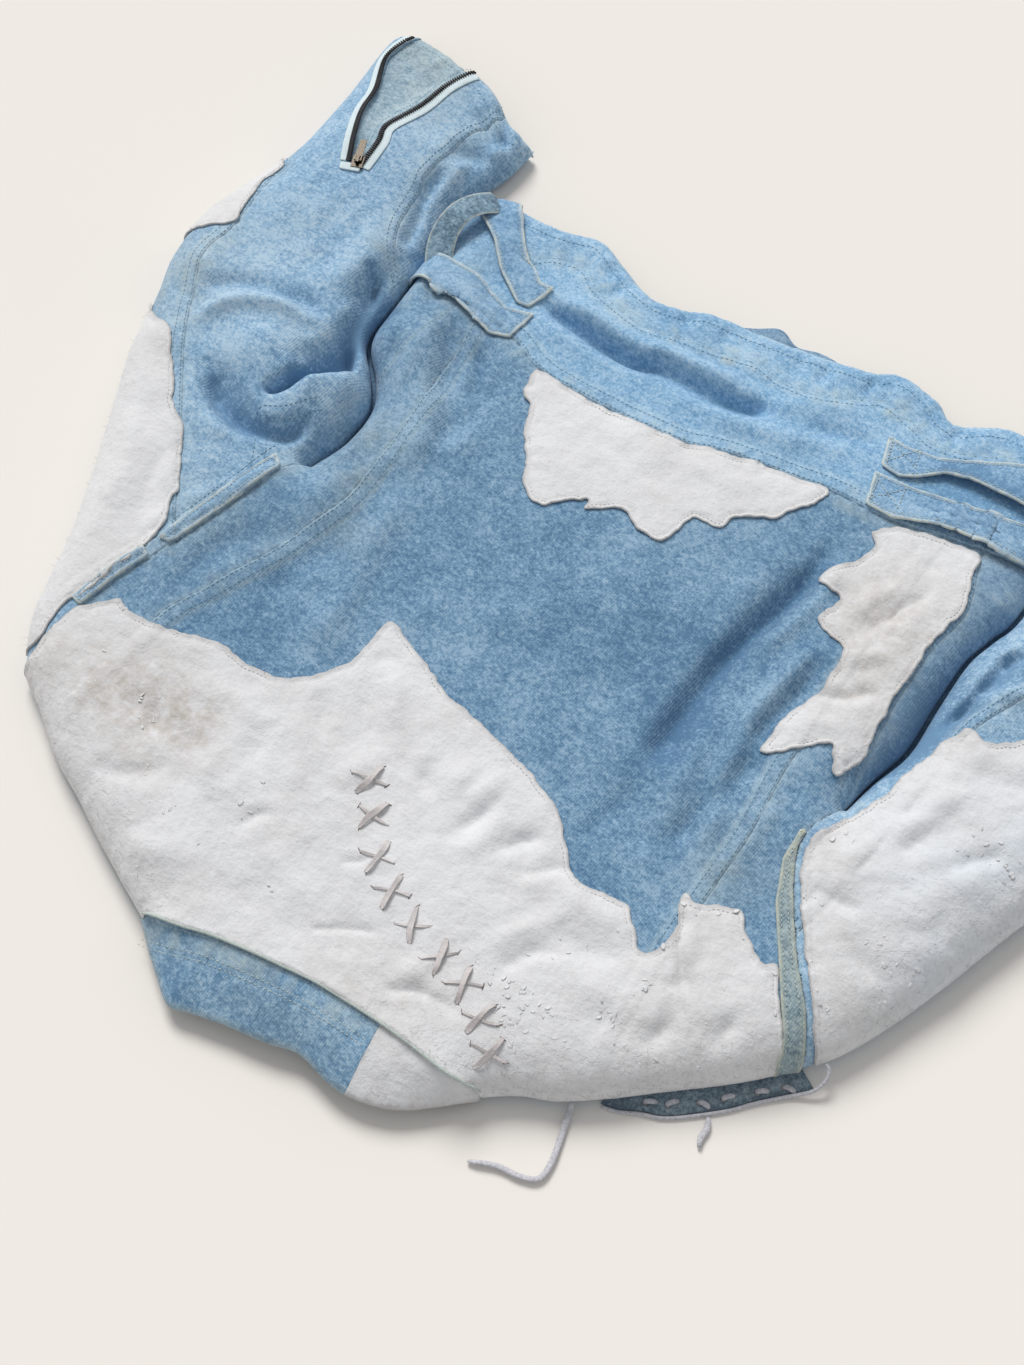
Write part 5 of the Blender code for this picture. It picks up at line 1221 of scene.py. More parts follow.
@dataclass(frozen=True)
class PlainFinish:
    """A small part's finish with fine grain.

    Attributes:
        name: The material's name.
        colour: Its colour.
        roughness: Its roughness.
        metallic: 1 for metal.
        grain_mm: The size of its grain.
        depth_mm: How deep the grain is.
        spread: How much the colour varies.
    """

    name: str
    colour: tuple
    roughness: float = 0.8
    metallic: float = 0.0
    grain_mm: float = 1.0
    depth_mm: float = 0.15
    spread: float = 0.35

    def build(self) -> bpy.types.Material:
        """Return the material."""
        shader = Shader(self.name)
        grain = shader.noise(self.grain_mm, 4.0, 0.6)
        dark = tuple(c * (1.0 - self.spread) for c in self.colour)
        bright = tuple(min(1.0, c * (1.0 + self.spread)) for c in self.colour)
        colour = shader.ramp(grain, [(0.3, dark), (0.5, self.colour), (0.7, bright)])
        normal = shader.bump(grain, self.depth_mm, 0.8)
        return shader.finish(colour, self.roughness, normal, 0.0, self.metallic)


FINISHES = (
    DenimFinish("denim_back", (0.085, 0.19, 0.33), (0.168, 0.306, 0.455), (0.30, 0.45, 0.60)),
    DenimFinish("denim_band", (0.145, 0.31, 0.51), (0.262, 0.462, 0.675), (0.42, 0.61, 0.79)),
    DenimFinish("denim_sleeve", (0.15, 0.29, 0.46), (0.277, 0.452, 0.635), (0.45, 0.61, 0.75), contrast=1.1),
    DenimFinish("denim_front", (0.11, 0.21, 0.34), (0.19, 0.32, 0.47), (0.28, 0.42, 0.56)),
    DenimFinish("denim_collar", (0.11, 0.23, 0.38), (0.215, 0.37, 0.53), (0.38, 0.54, 0.68), contrast=1.2),
    DenimFinish("denim_strap", (0.13, 0.27, 0.45), (0.23, 0.405, 0.60), (0.37, 0.54, 0.71),
                (0.72, 0.74, 0.64), 1.2),
    DenimFinish("denim_edge", (0.13, 0.20, 0.25), (0.26, 0.35, 0.39), (0.40, 0.48, 0.49),
                (0.56, 0.58, 0.48), 1.2),
    DenimFinish("denim_inside", (0.20, 0.32, 0.42), (0.35, 0.48, 0.57), (0.50, 0.62, 0.68), contrast=1.2),
    # A darker copy of the strap's denim: painted shade on the loop that turns over the hem's corner.
    DenimFinish("denim_loop_shaded", (0.08, 0.15, 0.22), (0.19, 0.31, 0.42), (0.33, 0.47, 0.57),
                (0.60, 0.64, 0.58), 1.4),
    DenimFinish("denim_strip", (0.11, 0.16, 0.21), (0.23, 0.31, 0.37), (0.38, 0.46, 0.52),
                (0.44, 0.52, 0.56), 1.5),
    SuedeFinish("suede"),
    SuedeFinish("suede_thong", (0.64, 0.60, 0.595), (0.46, 0.41, 0.40)),
    # Painted shadow in the slits at the thongs' ends.
    PlainFinish("slit_shadow", (0.17, 0.13, 0.12), 0.9),
    PlainFinish("thread_blue", (0.15, 0.275, 0.37), 0.8, grain_mm=0.6),
    PlainFinish("thread_pale", (0.52, 0.58, 0.55), 0.8, grain_mm=0.6),
    PlainFinish("thread_white", (0.66, 0.64, 0.62), 0.85, grain_mm=0.6),
    PlainFinish("lace", (0.56, 0.56, 0.60), 0.9, grain_mm=1.6, depth_mm=0.3, spread=0.25),
    PlainFinish("tape", (0.68, 0.79, 0.83), 0.85, grain_mm=0.9, spread=0.12),
    PlainFinish("chain", (0.045, 0.045, 0.05), 0.42, 1.0, 0.8, 0.05),
    PlainFinish("slider", (0.055, 0.047, 0.038), 0.34, 1.0, 1.2, 0.06))


class Workshop:
    """Holds what the pieces share: heights, domains and materials."""

    def __init__(self) -> None:
        """Work out the lines, the domains and the materials."""
        self.garment = Garment()
        g = self.garment
        back_hem = smooth_line(BACK_HEM)
        front_hem = smooth_line(FRONT_HEM)
        front_neck = smooth_line(FRONT_NECK)
        neck_to_front = [np.array([NECK_RIGHT, FRONT_NECK[-1]], dtype=float), front_neck[::-1],
                         np.array([FRONT_NECK[0], NECK_LEFT], dtype=float)]
        start = [g.body_left]
        sides = [g.body_right[::-1], g.armhole_right, g.shoulder_right[::-1]]
        end = [g.shoulder_left[::-1], g.armhole_left[::-1]]
        left = [g.outer_left, smooth_line(CUFF_LEFT), g.inner_left[::-1], g.armhole_left]
        right = [g.outer_right, smooth_line(CUFF_RIGHT), g.inner_right[::-1], g.armhole_right]
        self.domains = {
            "body": Domain(g, start + [back_hem] + sides + [g.neck[::-1]] + end, Side.UPPER),
            "body_under": Domain(g, start + [front_hem] + sides + neck_to_front + end, Side.LOWER),
            "sleeve_left": Domain(g, left, Side.UPPER),
            "sleeve_left_floor": Domain(g, left, Side.LOWER),
            "sleeve_right": Domain(g, right, Side.UPPER),
            "sleeve_right_floor": Domain(g, right, Side.LOWER)}
        self.materials = {finish.name: finish.build() for finish in FINISHES}
        self.count = 0

    def give(self, made: bpy.types.Object, finish: str, slot: str, body: str = BODY) -> bpy.types.Object:
        """Give a piece its material and its body, and log its triangles."""
        made.data.materials.clear()
        made.data.materials.append(self.materials[finish])
        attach(made, body)
        triangles = sum(len(face.vertices) - 2 for face in made.data.polygons)
        self.count += triangles
        LOG.info("%s: %d triangles", made.name, triangles)
        return made


# Lighter and darker wash tones with painted shade in creases and between the straps, soiled places, stains
# with painted grey shade on suede that faces away, frayed places, and painted bluish shade on suede, as (x,
# y, radius, amount)
WASH_AND_SHADE_SPOTS = [
    (224, -61, 9, -0.12), (237, -94, 9, -0.14), (258, -127, 9, -0.14), (276, -153, 9, -0.14),
    (290, -171, 9, -0.12), (-271, 71, 7, -0.34), (-263, 88, 6, -0.26), (-259, 104, 7, -0.20),
    (-304, 15, 14, -0.10), (-280, 16, 13, -0.10),
    (-259, 151, 9, -0.24), (-262, 174, 8, -0.24), (-258, 128, 8, -0.20), (-318, 130, 18, -0.08),
    (170, 262, 8, -0.20), (187, 263, 9, -0.24), (205, 264, 9, -0.24), (222, 262, 9, -0.24),
    (-40, 60, 120, -0.05), (10, -60, 110, -0.02), (125, 60, 40, -0.13), (118, -40, 34, -0.16),
    (-170, 120, 40, 0.10), (-210, -60, 60, 0.02), (-160, -110, 70, 0.03), (150, -110, 50, 0.08),
    (-150, 170, 30, 0.08), (168, 10, 30, 0.04), (150, 30, 12, 0.10),
    (-340, 150, 60, 0.10), (-345, 270, 60, 0.02), (-330, 60, 40, 0.06), (-300, -40, 60, -0.02),
    (-350, 350, 40, -0.03), (-330, 400, 40, 0.06), (-245, 40, 30, -0.10), (-240, 110, 30, -0.12),
    (250, 60, 30, -0.16), (262, 120, 40, -0.12), (300, 150, 50, -0.05),
    (-40, 210, 120, 0.03), (0, 290, 140, 0.02), (112, -17, 30, -0.20), (180, -71, 32, -0.18),
    (-224, -79, 50, -0.14), (-218, -105, 40, -0.06), (125, -131, 40, -0.14), (255, 70, 34, -0.14),
    (-293, 32, 24, -0.22), (-78, -46, 60, 0.12), (-328, 324, 44, 0.12), (88, 39, 24, -0.08),
    (98, 121, 26, -0.08),
    (180, 255, 26, -0.30), (240, 171, 22, -0.12), (239, 89, 22, -0.16), (242, 38, 20, -0.16)]
GRIME_SPOTS = [
    (-410, 60, 40, 0.35), (-405, 120, 40, 0.4), (-385, 400, 30, 0.3), (-350, 395, 40, 0.35),
    (-330, 350, 30, 0.2), (-225, 240, 20, 0.3), (-205, 60, 24, 0.35), (-190, 20, 16, 0.3),
    (-165, -20, 20, 0.25), (190, -100, 26, 0.35), (340, 100, 40, 0.35), (-260, -60, 40, 0.2)]
# Stains, and painted grey shade on the side patch and the right sleeve's patch, which face away.
STAIN_AND_SHADE_SPOTS = [
    (-205, -190, 26, 1.0), (-168, -206, 22, 0.9), (-226, -214, 26, 0.75), (-186, -232, 22, 0.55),
    (-250, -196, 24, 0.45), (-160, -180, 14, 0.5), (206, -196, 30, 0.30), (190, -170, 30, 0.25),
    (250, -60, 26, 0.25), (180, 130, 40, 0.30), (160, 60, 26, 0.22), (-345, -40, 40, 0.12),
    (191, 123, 40, 0.5), (199, 63, 34, 0.5), (289, -111, 34, 0.5), (-300, -120, 30, 0.25),
    (-290, -205, 24, 0.5), (60, -286, 30, 0.35), (20, -296, 30, 0.3), (-400, 160, 22, 0.3)]
FRAY_SPOTS = [(320, -60, 60, 0.5), (60, -280, 50, 0.5)]
# Painted bluish shade on the sleeves' suede.
BLUE_SHADE_SPOTS = [
    (330, -60, 60, 0.35), (372, 20, 50, 0.7), (300, -30, 34, 0.3), (352, -110, 34, 0.7),
    (-410, -20, 30, 0.6), (-385, -95, 24, 0.5), (-335, -190, 24, 0.4)]


def spotted(points: np.ndarray, spots: list) -> np.ndarray:
    """Return the sum of soft round spots at plan points."""
    total = np.zeros(len(points))
    for x, y, radius, amount in spots:
        squares = (points[:, 0] - x) ** 2 + (points[:, 1] - y) ** 2
        total += amount * np.exp(-squares / radius ** 2)
    return total


def denim_facts(garment: Garment, points: np.ndarray) -> dict:
    """Return how washed, worn and soiled denim is at plan points, and where shade and highlight are painted
    on it.
    """
    wear_and_edge_shade = np.zeros(len(points))
    for line, seam in garment.seams:
        gap, where, side = nearest_on(line, points, 30.0)
        beat = np.column_stack([where, gap * 0.25])
        wave = garment.ripple.layer(beat, SEAM_BEAT) + 0.5 * garment.ripple.layer(beat + 91.0, 4.0)
        wave = 0.6 + 1.1 * np.maximum(wave, -0.4)
        wear_and_edge_shade = np.maximum(wear_and_edge_shade, 0.40 * np.exp(-(gap / 2.6) ** 2))
        wear_and_edge_shade = np.maximum(wear_and_edge_shade, 0.42 * seam.pucker * wave * np.exp(-((gap - 6.0) / 5.0) ** 2))
        on_side = side == seam.side
        if seam.welt > 0.0:
            wear_and_edge_shade = np.maximum(wear_and_edge_shade, np.where(on_side, 0.34 * np.exp(-((gap - seam.width) / 2.0) ** 2), 0.0))
            wear_and_edge_shade = np.maximum(wear_and_edge_shade, np.where(on_side & (gap < seam.width), 0.10, 0.0))
    for line in garment.open_edges:
        gap = nearest_on(line, points, 30.0)[0]
        wear_and_edge_shade = np.maximum(wear_and_edge_shade, 0.55 * np.exp(-(gap / 3.0) ** 2))
    # Wash tone, with painted shade in creases, in the elbow's hole and between the straps.
    wash = spotted(points, WASH_AND_SHADE_SPOTS)
    wash += 0.05 * garment.wrinkles(points, 34.0)
    # Painted shade in fold troughs and painted highlight on fold ridges.
    for line, lift, width in garment.folds:
        gap = nearest_on(line, points, width * 2.5)[0]
        wash += 0.02 * lift * np.exp(-(gap / width) ** 2) * (gap < width * 2.5)
    return {"wear_and_edge_shade": np.clip(wear_and_edge_shade, 0, 1), "wash": wash, "grime": np.clip(spotted(points, GRIME_SPOTS), 0, 1)}


def suede_facts(garment: Garment, points: np.ndarray, edge: np.ndarray) -> dict:
    """Return how stained and frayed suede is at plan points, and where shade is painted on it.

    Args:
        garment: The shared lines.
        points: The plan points.
        edge: Each point's distance from the patch's own cut edge.

    Returns:
        The point values by name.
    """
    closed = garment.edge_distance(points, 60.0)
    low = np.exp(-(closed / 26.0) ** 2)
    below = (points[:, 1] < 0.25 * points[:, 0] - 90.0) | (points[:, 0] > 200.0)
    fray = np.where(below, low, 0.15 * low) + spotted(points, FRAY_SPOTS)
    # Stains, painted grey shade on patches that face away, and some darkening towards the lower closed
    # edges.
    stain_and_shade = spotted(points, STAIN_AND_SHADE_SPOTS) + 0.10 * low * below
    # Painted shade: a dark line along the cut edge and a faint one in the stitch groove.
    wear_and_edge_shade = 0.50 * np.exp(-(edge / 0.8) ** 2) + 0.07 * np.exp(-((edge - 3.2) / 0.7) ** 2)
    # The bluish values are painted shade.
    return {
        "wash": 0.06 * garment.wrinkles(points, 30.0), "stain_and_shade": np.clip(stain_and_shade, 0, 1),
        "blue_shade": np.clip(spotted(points, BLUE_SHADE_SPOTS), 0, 1), "wear_and_edge_shade": np.clip(wear_and_edge_shade, 0, 1),
        "fray": np.clip(fray, 0, 1)}


def beside(line: np.ndarray, far: tuple) -> np.ndarray:
    """Return the outline of the region between a line and the same line moved far off."""
    given = np.array(line, dtype=float)
    away = np.array(far)
    return np.vstack([given, given[-1] + away, given[0] + away])


@dataclass
class Cloth:
    """One cut piece of cloth, shown as a thin shell.

    Attributes:
        name: The piece's name.
        nodes: The frame's nodes that it stands for.
        finish: Its material.
        slot: Its record slot.
        flat: The width and length it was cut from, in metres; not used.
        area: The cut's area in square metres.
        thickness: The cloth's thickness in millimetres.
    """

    name: str
    nodes: tuple
    finish: str
    slot: str
    flat: tuple
    area: float
    thickness: float = DENIM

    def make(self, shop: Workshop, points: np.ndarray, triangles: np.ndarray, facts: dict,
             out: np.ndarray | float = 0.0, into: np.ndarray | float | None = None) -> bpy.types.Object:
        """Args:
            shop: The shared materials.
            points: The sheet's points.
            triangles: Its triangles, facing out.
            facts: Point values by name.
            out: How far the outer side stands out of the points.
            into: How far the inner side lies under them.

        Returns:
            The piece.
        """
        count = len(points)
        outer = np.broadcast_to(np.asarray(out, dtype=float), (count,)).copy()
        inner = self.thickness if into is None else into
        inner = np.broadcast_to(np.asarray(inner, dtype=float), (count,)).copy()
        solid, faces, origin = walled(points, triangles, outer, inner)
        solid[:, 2] = np.maximum(solid[:, 2], 0.05)
        made = mesh_object(self.name, solid, faces, {key: value[origin] for key, value in facts.items()})
        if self.nodes:
            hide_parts(*self.nodes)
        shop.give(made, self.finish, self.slot)
        a, b, c = (points[triangles[:, i]] * MM for i in range(3))
        measured = 0.5 * np.linalg.norm(np.cross(b - a, c - a), axis=1).sum()
        LOG.info("%s: cut %.4f, shown %.4f square metres", self.name, self.area, measured)
        return made


def seam_rows(lines: list, offsets: tuple) -> list:
    """Return lines beside some seams, along which points come closer together."""
    return [shifted(even(line, ROW_STEP), offset) for line in lines for offset in offsets]


@dataclass
class DenimShell:
    """The denim panels of the body and both sleeves."""

    shop: Workshop
    under_left: np.ndarray = field(init=False)
    under_right: np.ndarray = field(init=False)

    def __post_init__(self) -> None:
        """Work out the outlines of the sleeves' under pieces."""
        self.under_left = np.vstack([
            smooth_line(SLEEVE_SEAM_LEFT), UNDER_LEFT_CUFF_CORNERS, smooth_line(UNDERARM_SEAM_LEFT),
            UNDER_LEFT_BODY_CORNERS])
        self.under_right = np.vstack([
            smooth_line(SLEEVE_SEAM_RIGHT), UNDER_RIGHT_CUFF_CORNERS, smooth_line(UNDERARM_SEAM_RIGHT),
            UNDER_RIGHT_BODY_CORNERS])

    def build(self) -> None:
        """Build every panel."""
        self.build_body()
        self.build_sleeve("left", self.under_left, [np.array(CUFF_NOTCH, dtype=float)])
        self.build_sleeve("right", self.under_right, [])
        self.build_valley("left", VALLEY_LEFT)
        self.build_valley("right", VALLEY_RIGHT)

    def build_valley(self, side: str, line: list) -> None:
        """Build the folded cloth that shows deep between a sleeve and the body, painted darker as shade."""
        plan = even(smooth_line(line), 6.0)
        route = np.column_stack([plan, np.full(len(plan), VALLEY_CLOTH_HEIGHT)])
        points, faces = tube(route, VALLEY_CLOTH_HALF_WIDTH, 1.2, 12)
        none = np.zeros(len(points))
        # The cloth is painted darker, as shade deep in the valley.
        facts = {"wear_and_edge_shade": none, "wash": none - 0.3, "grime": none}
        made = mesh_object(f"underarm_cloth_{side}", points, faces, facts)
        self.shop.give(made, "denim_front", "denim")

    def sheet(self, domain: str, cuts: list, rows: list, cell: float) -> tuple:
        """Return a domain's points with heights, its triangles and its denim values."""
        place = self.shop.domains[domain]
        plan, triangles = place.mesh(cuts, rows, cell)
        triangles = triangles_in(plan, triangles, [place.ring], [])
        points = np.column_stack([plan, place.heights(plan)])
        facts = denim_facts(self.shop.garment, plan)
        return points, facing(points, triangles, place.side is Side.UPPER), facts

    def panel(self, cloth: Cloth, parts: list) -> None:
        """Build one panel from its parts on the two walls.

        Args:
            cloth: The piece.
            parts: For each wall, points, triangles and facts.
        """
        points = np.vstack([part[0] for part in parts])
        offsets = np.cumsum([0] + [len(part[0]) for part in parts[:-1]])
        triangles = np.vstack([part[1] + offset for part, offset in zip(parts, offsets)])
        values = {key: np.concatenate([part[2][key] for part in parts]) for key in parts[0][2]}
        kept, faces, source = compact(points, triangles)
        cloth.make(self.shop, kept, faces, {key: value[source] for key, value in values.items()})

    def build_body(self) -> None:
        """Build the back, the fronts and the waistband."""
        g = self.shop.garment
        seam_left = smooth_line(BACK_SEAM_LEFT)
        seam_right = smooth_line(BACK_SEAM_RIGHT)
        band = smooth_line(BAND_SEAM)
        beyond = [SHOULDER_CORNER_RIGHT, PAST_SHOULDER_RIGHT]
        side = joined(smooth_line(SIDE_SEAM_RIGHT), g.armhole_right, beyond)
        rows = seam_rows([band, seam_left, seam_right], (-1.6, 1.6))
        rows += seam_rows([band], (11.6, 13.2)) + seam_rows([seam_left], (10.6, 12.2))
        rows += seam_rows([seam_right], (-10.6, -12.2))
        top = self.sheet("body", [band, seam_left, seam_right, side], rows, TOP_CELL)
        under = self.sheet("body_under", [band], [], UNDER_CELL)
        below = beside(band, (0.0, -FAR))
        left_of_left = beside(seam_left, (-FAR, 0.0))
        right_of_right = beside(seam_right, (FAR, 0.0))
        left_of_side = beside(side, (-FAR, 0.0))
        right_half = beside(np.array(FRONT_OPENING, dtype=float), (FAR, 0.0))

        def part(sheet: tuple, keep: list, drop: list) -> tuple:
            """Return a sheet with only the triangles of one panel."""
            return sheet[0], triangles_in(sheet[0][:, :2], sheet[1], keep, drop), sheet[2]

        panels = [
            ("back_left", "denim_back", (0.10, 0.46), 0.026, [part(top, [below, left_of_left], [])]),
            ("back_centre", "denim_back", (0.42, 0.52), 0.201,
             [part(top, [below], [left_of_left, right_of_right])]),
            ("back_right", "denim_back", (0.09, 0.50), 0.026,
             [part(top, [below, right_of_right, left_of_side], [])]),
            ("waistband_back", "denim_band", (0.56, 0.13), 0.066, [part(top, [], [below])]),
            ("front_left", "denim_front", (0.32, 0.52), 0.118, [part(under, [below], [right_half])]),
            ("front_right", "denim_front", (0.34, 0.52), 0.130,
             [part(top, [below], [left_of_side, left_of_left]), part(under, [below, right_half], [])]),
            ("waistband_front_left", "denim_front", (0.29, 0.13), 0.032,
             [part(under, [], [below, right_half])]),
            ("waistband_front_right", "denim_front", (0.27, 0.12), 0.027,
             [part(under, [right_half], [below])])]
        for node, finish, flat, area, parts in panels:
            self.panel(Cloth(f"{node}_panel", (node,), finish, "denim", flat, area), parts)

    def build_sleeve(self, side: str, region: np.ndarray, notches: list) -> None:
        """Build one sleeve's two pieces.

        Args:
            side: Which sleeve, left or right.
            region: The outline of its under piece, which faces up here.
            notches: Outlines that are cut open at its cuff.
        """
        outline = np.vstack([region, region[:1]])
        closed_notches = [np.vstack([notch, notch[:1]]) for notch in notches]
        seams, offsets, cuts = {
            "left": ([SLEEVE_SEAM_LEFT, UNDERARM_SEAM_LEFT], (-1.6, 1.6, 8.6, 10.0),
                     [(0.17, 0.56), 0.057, (0.32, 0.68), 0.127]),
            "right": ([SLEEVE_SEAM_RIGHT, UNDERARM_SEAM_RIGHT], (-1.6, 1.6, 7.8, 9.4),
                      [(0.11, 0.52), 0.032, (0.36, 0.68), 0.142])}[side]
        rows = seam_rows([smooth_line(seam) for seam in seams], offsets)
        top = self.sheet("sleeve_" + side, [outline] + closed_notches, rows, TOP_CELL)
        floor = self.sheet(f"sleeve_{side}_floor", [], [], UNDER_CELL)
        plan = top[0][:, :2]
        under = (top[0], triangles_in(plan, top[1], [region], notches), top[2])
        upper = (top[0], triangles_in(plan, top[1], [], [region]), top[2])
        for name, flat, area, parts in (("under", *cuts[:2], [under]), ("top", *cuts[2:], [upper, floor])):
            node = f"sleeve_{side}_{name}"
            self.panel(Cloth(f"{node}_panel", (node,), "denim_sleeve", "denim", flat, area), parts)


def ragged(outline: np.ndarray, amount: float, seed: int, step: float = 1.7) -> np.ndarray:
    """Return a closed outline with an uneven hand-cut edge.

    Args:
        outline: The outline's corners.
        amount: How far the edge wanders, in millimetres.
        seed: Which uneven edge to make.
        step: The distance between its points.

    Returns:
        The closed line, its first point repeated at the end.
    """
    closed = np.vstack([outline, outline[:1]])
    line = even(smooth_line([tuple(p) for p in closed], 6), step)
    grain = Grain(seed)
    where = np.column_stack([reached_along(line), np.zeros(len(line))])
    wander = grain.layer(where, 13.0) + 0.7 * grain.layer(where + 31.0, 5.0)
    wander += 0.35 * grain.layer(where, 2.6)
    made = shifted(line, (wander * amount).tolist())
    made[-1] = made[0]
    return made


@dataclass(frozen=True)
class PatchPlan:
    """One suede patch.

    Attributes:
        name: The piece's name.
        node: The frame's node that it stands for.
        domain: The sheet it lies on.
        outline: Its corners.
        flat: Its cut's width and length in metres.
        area: Its cut's area in square metres.
        seed: Which ragged edge it has.
        rough: How lumpy it is.
    """

    name: str
    node: str
    domain: str
    outline: list
    flat: tuple
    area: float
    seed: int
    rough: float = 1.0


@dataclass
class SuedePatches:
    """The ragged suede patches, stitched down near their cut edges."""

    shop: Workshop
    edges: dict = field(default_factory=dict)

    def plans(self) -> list:
        """Return every patch's plan."""
        g = self.shop.garment
        armhole = [tuple(p) for p in shifted(g.armhole_left, 1.2)[::4] if p[1] < -146]
        band_edge = [tuple(p) for p in shifted(np.array(ARMHOLE_BAND_RIGHT[3:], dtype=float), -1.2)]
        under_band = [tuple(p) for p in shifted(smooth_line(BAND_SEAM), -1.2)[::4] if -129 < p[0] < 103]
        yoke = YOKE_EDGE + band_edge + YOKE_BEYOND_SHOULDER + armhole[::-1]
        hem = HEM_PATCH_EDGE + under_band[::-1]
        return [
            PatchPlan("yoke_suede", "yoke_patch", "body", yoke, (0.58, 0.24), 0.094, 31, 1.0),
            PatchPlan("hem_suede", "hem_patch", "body", hem, (0.24, 0.11), 0.0156, 37, 0.7),
            PatchPlan("side_suede", "side_patch", "body", SIDE_PATCH, (0.09, 0.22), 0.0131, 41, 0.9),
            PatchPlan("sleeve_left_suede", "sleeve_left_patch", "sleeve_left", SLEEVE_LEFT_PATCH,
                      (0.12, 0.30), 0.0199, 43, 0.8),
            PatchPlan("sleeve_left_small_suede", "sleeve_left_small_patch", "sleeve_left",
                      SLEEVE_LEFT_SMALL_PATCH, (0.06, 0.11), 0.0046, 47, 0.8),
            PatchPlan("sleeve_right_suede", "sleeve_right_patch", "sleeve_right",
                      SLEEVE_RIGHT_PATCH, (0.17, 0.30), 0.0349, 53, 1.5)]

    def build(self) -> None:
        """Build every patch and remember its edge."""
        for plan in self.plans():
            self.build_patch(plan)

    def build_patch(self, plan: PatchPlan) -> None:
        """Build one patch.

        Args:
            plan: What it is.
        """
        g = self.shop.garment
        domain = self.shop.domains[plan.domain]
        edge = ragged(np.array(plan.outline, dtype=float), 1.2, plan.seed)
        self.edges[plan.name] = (plan.domain, edge)
        points, faces = domain.laid(edge, (-4.4, -3.0, -1.5, 1.5, 3.0, 4.4), PATCH_CELL)
        flat = points[:, :2]
        cut = nearest_on(edge, flat, 40.0)[0]
        closed = g.edge_distance(flat, 60.0)
        grain = Grain(plan.seed + 1)
        where = nearest_on(edge, flat, 12.0)[1]
        beat = np.column_stack([where, cut * 0.3])
        height = 0.45 * np.exp(-(cut / 1.1) ** 2) - 0.45 * np.exp(-((cut - 3.0) / 0.9) ** 2)
        near_cut = np.exp(-(cut / 7.0) ** 2)
        height += 0.5 * (1.0 - near_cut) + 0.45 * grain.layer(beat, 6.5) * near_cut
        height += plan.rough * (0.9 * grain(flat, 34.0) + 0.7 * grain(flat, 15.0) + 0.25 * grain(flat, 6.0))
        facts = suede_facts(g, flat, cut)
        tufts = np.maximum(grain(flat, 4.2), 0.0) + np.maximum(grain.layer(flat + 50.0, 7.5), 0.0)
        height += facts["fray"] * 0.55 * tufts
        keep = np.clip(closed / 3.0, 0.25, 1.0)
        out = LAYER_GAP + SUEDE + np.maximum(height * keep, -0.7)
        cloth = Cloth(plan.name, (plan.node,), "suede", "suede", plan.flat, plan.area, SUEDE)
        cloth.make(self.shop, points, faces, facts, out, -0.3)


def pieces_from(name: str, template: bpy.types.Object, places: list) -> bpy.types.Object:
    """Return one object with the template's mesh at many places.

    Args:
        name: The new object's name.
        template: A small object, which is removed.
        places: A matrix in millimetres for each copy.

    Returns:
        The joined object.
    """
    source = template.data
    source.calc_loop_triangles()
    corners = np.array([vertex.co for vertex in source.vertices], dtype=float)
    faces = np.array([tuple(face.vertices) for face in source.loop_triangles])
    matrices = np.array([np.array(place) for place in places])
    whole = np.column_stack([corners, np.ones(len(corners))])
    spots = np.einsum("nij,kj->nki", matrices, whole)[:, :, :3].reshape(-1, 3)
    shift = np.arange(len(places))[:, None, None] * len(corners)
    bpy.data.objects.remove(template, do_unlink=True)
    return mesh_object(name, spots, (faces[None] + shift).reshape(-1, 3))


def bead(segments: int = 5, rings: int = 4) -> bpy.types.Object:
    """Return a small round template of one millimetre across."""
    bpy.ops.mesh.primitive_uv_sphere_add(segments=segments, ring_count=rings, radius=0.5)
    return bpy.context.object


def block(bevel: float = 0.0) -> bpy.types.Object:
    """Return a cube template of one millimetre across, its edges bevelled if asked."""
    bpy.ops.mesh.primitive_cube_add(size=1.0)
    made = bpy.context.object
    if bevel > 0.0:
        rounding = made.modifiers.new("Bevel", "BEVEL")
        rounding.width = bevel
        rounding.segments = 2
        bpy.ops.object.modifier_apply(modifier=rounding.name)
    return made


def placing(origin: np.ndarray, ahead: np.ndarray, up: np.ndarray, size: tuple) -> Matrix:
    """Return a matrix that puts a unit template at a place, its X axis ahead.

    Args:
        origin: Where it goes.
        ahead: Its long direction.
        up: The direction it stands on.
        size: Its length, width and height.

    Returns:
        The matrix, in millimetres.
    """
    x = Vector(ahead).normalized()
    z = Vector(up)
    z = (z - x * z.dot(x)).normalized()
    y = z.cross(x)
    turn = Matrix((x, y, z)).transposed().to_4x4()
    return Matrix.Translation(Vector(origin)) @ turn @ Matrix.Diagonal((*size, 1.0))


class Ground:
    """Gives places and directions on the upper wall."""

    def __init__(self, garment: Garment) -> None:
        """Keep the garment."""
        self.garment = garment

    def on(self, plan: np.ndarray, lift: float | np.ndarray = 0.0) -> tuple:
        """Return points on the wall and the wall's normals there.

        Args:
            plan: The plan points.
            lift: How far above the wall to put them.

        Returns:
            Points and unit normals.
        """
        reach = 1.2
        steps = ((0.0, 0.0), (reach, 0.0), (-reach, 0.0), (0.0, reach), (0.0, -reach))
        heights = self.garment.upper(np.vstack([plan + step for step in steps])).reshape(5, -1)
        normal = np.column_stack([
            (heights[2] - heights[1]) / (2 * reach), (heights[4] - heights[3]) / (2 * reach),
            np.ones(len(plan))])
        normal /= np.linalg.norm(normal, axis=1)[:, None]
        lifted = np.column_stack([plan, heights[0]]) + normal * np.asarray(lift).reshape(-1, 1)
        return lifted, normal


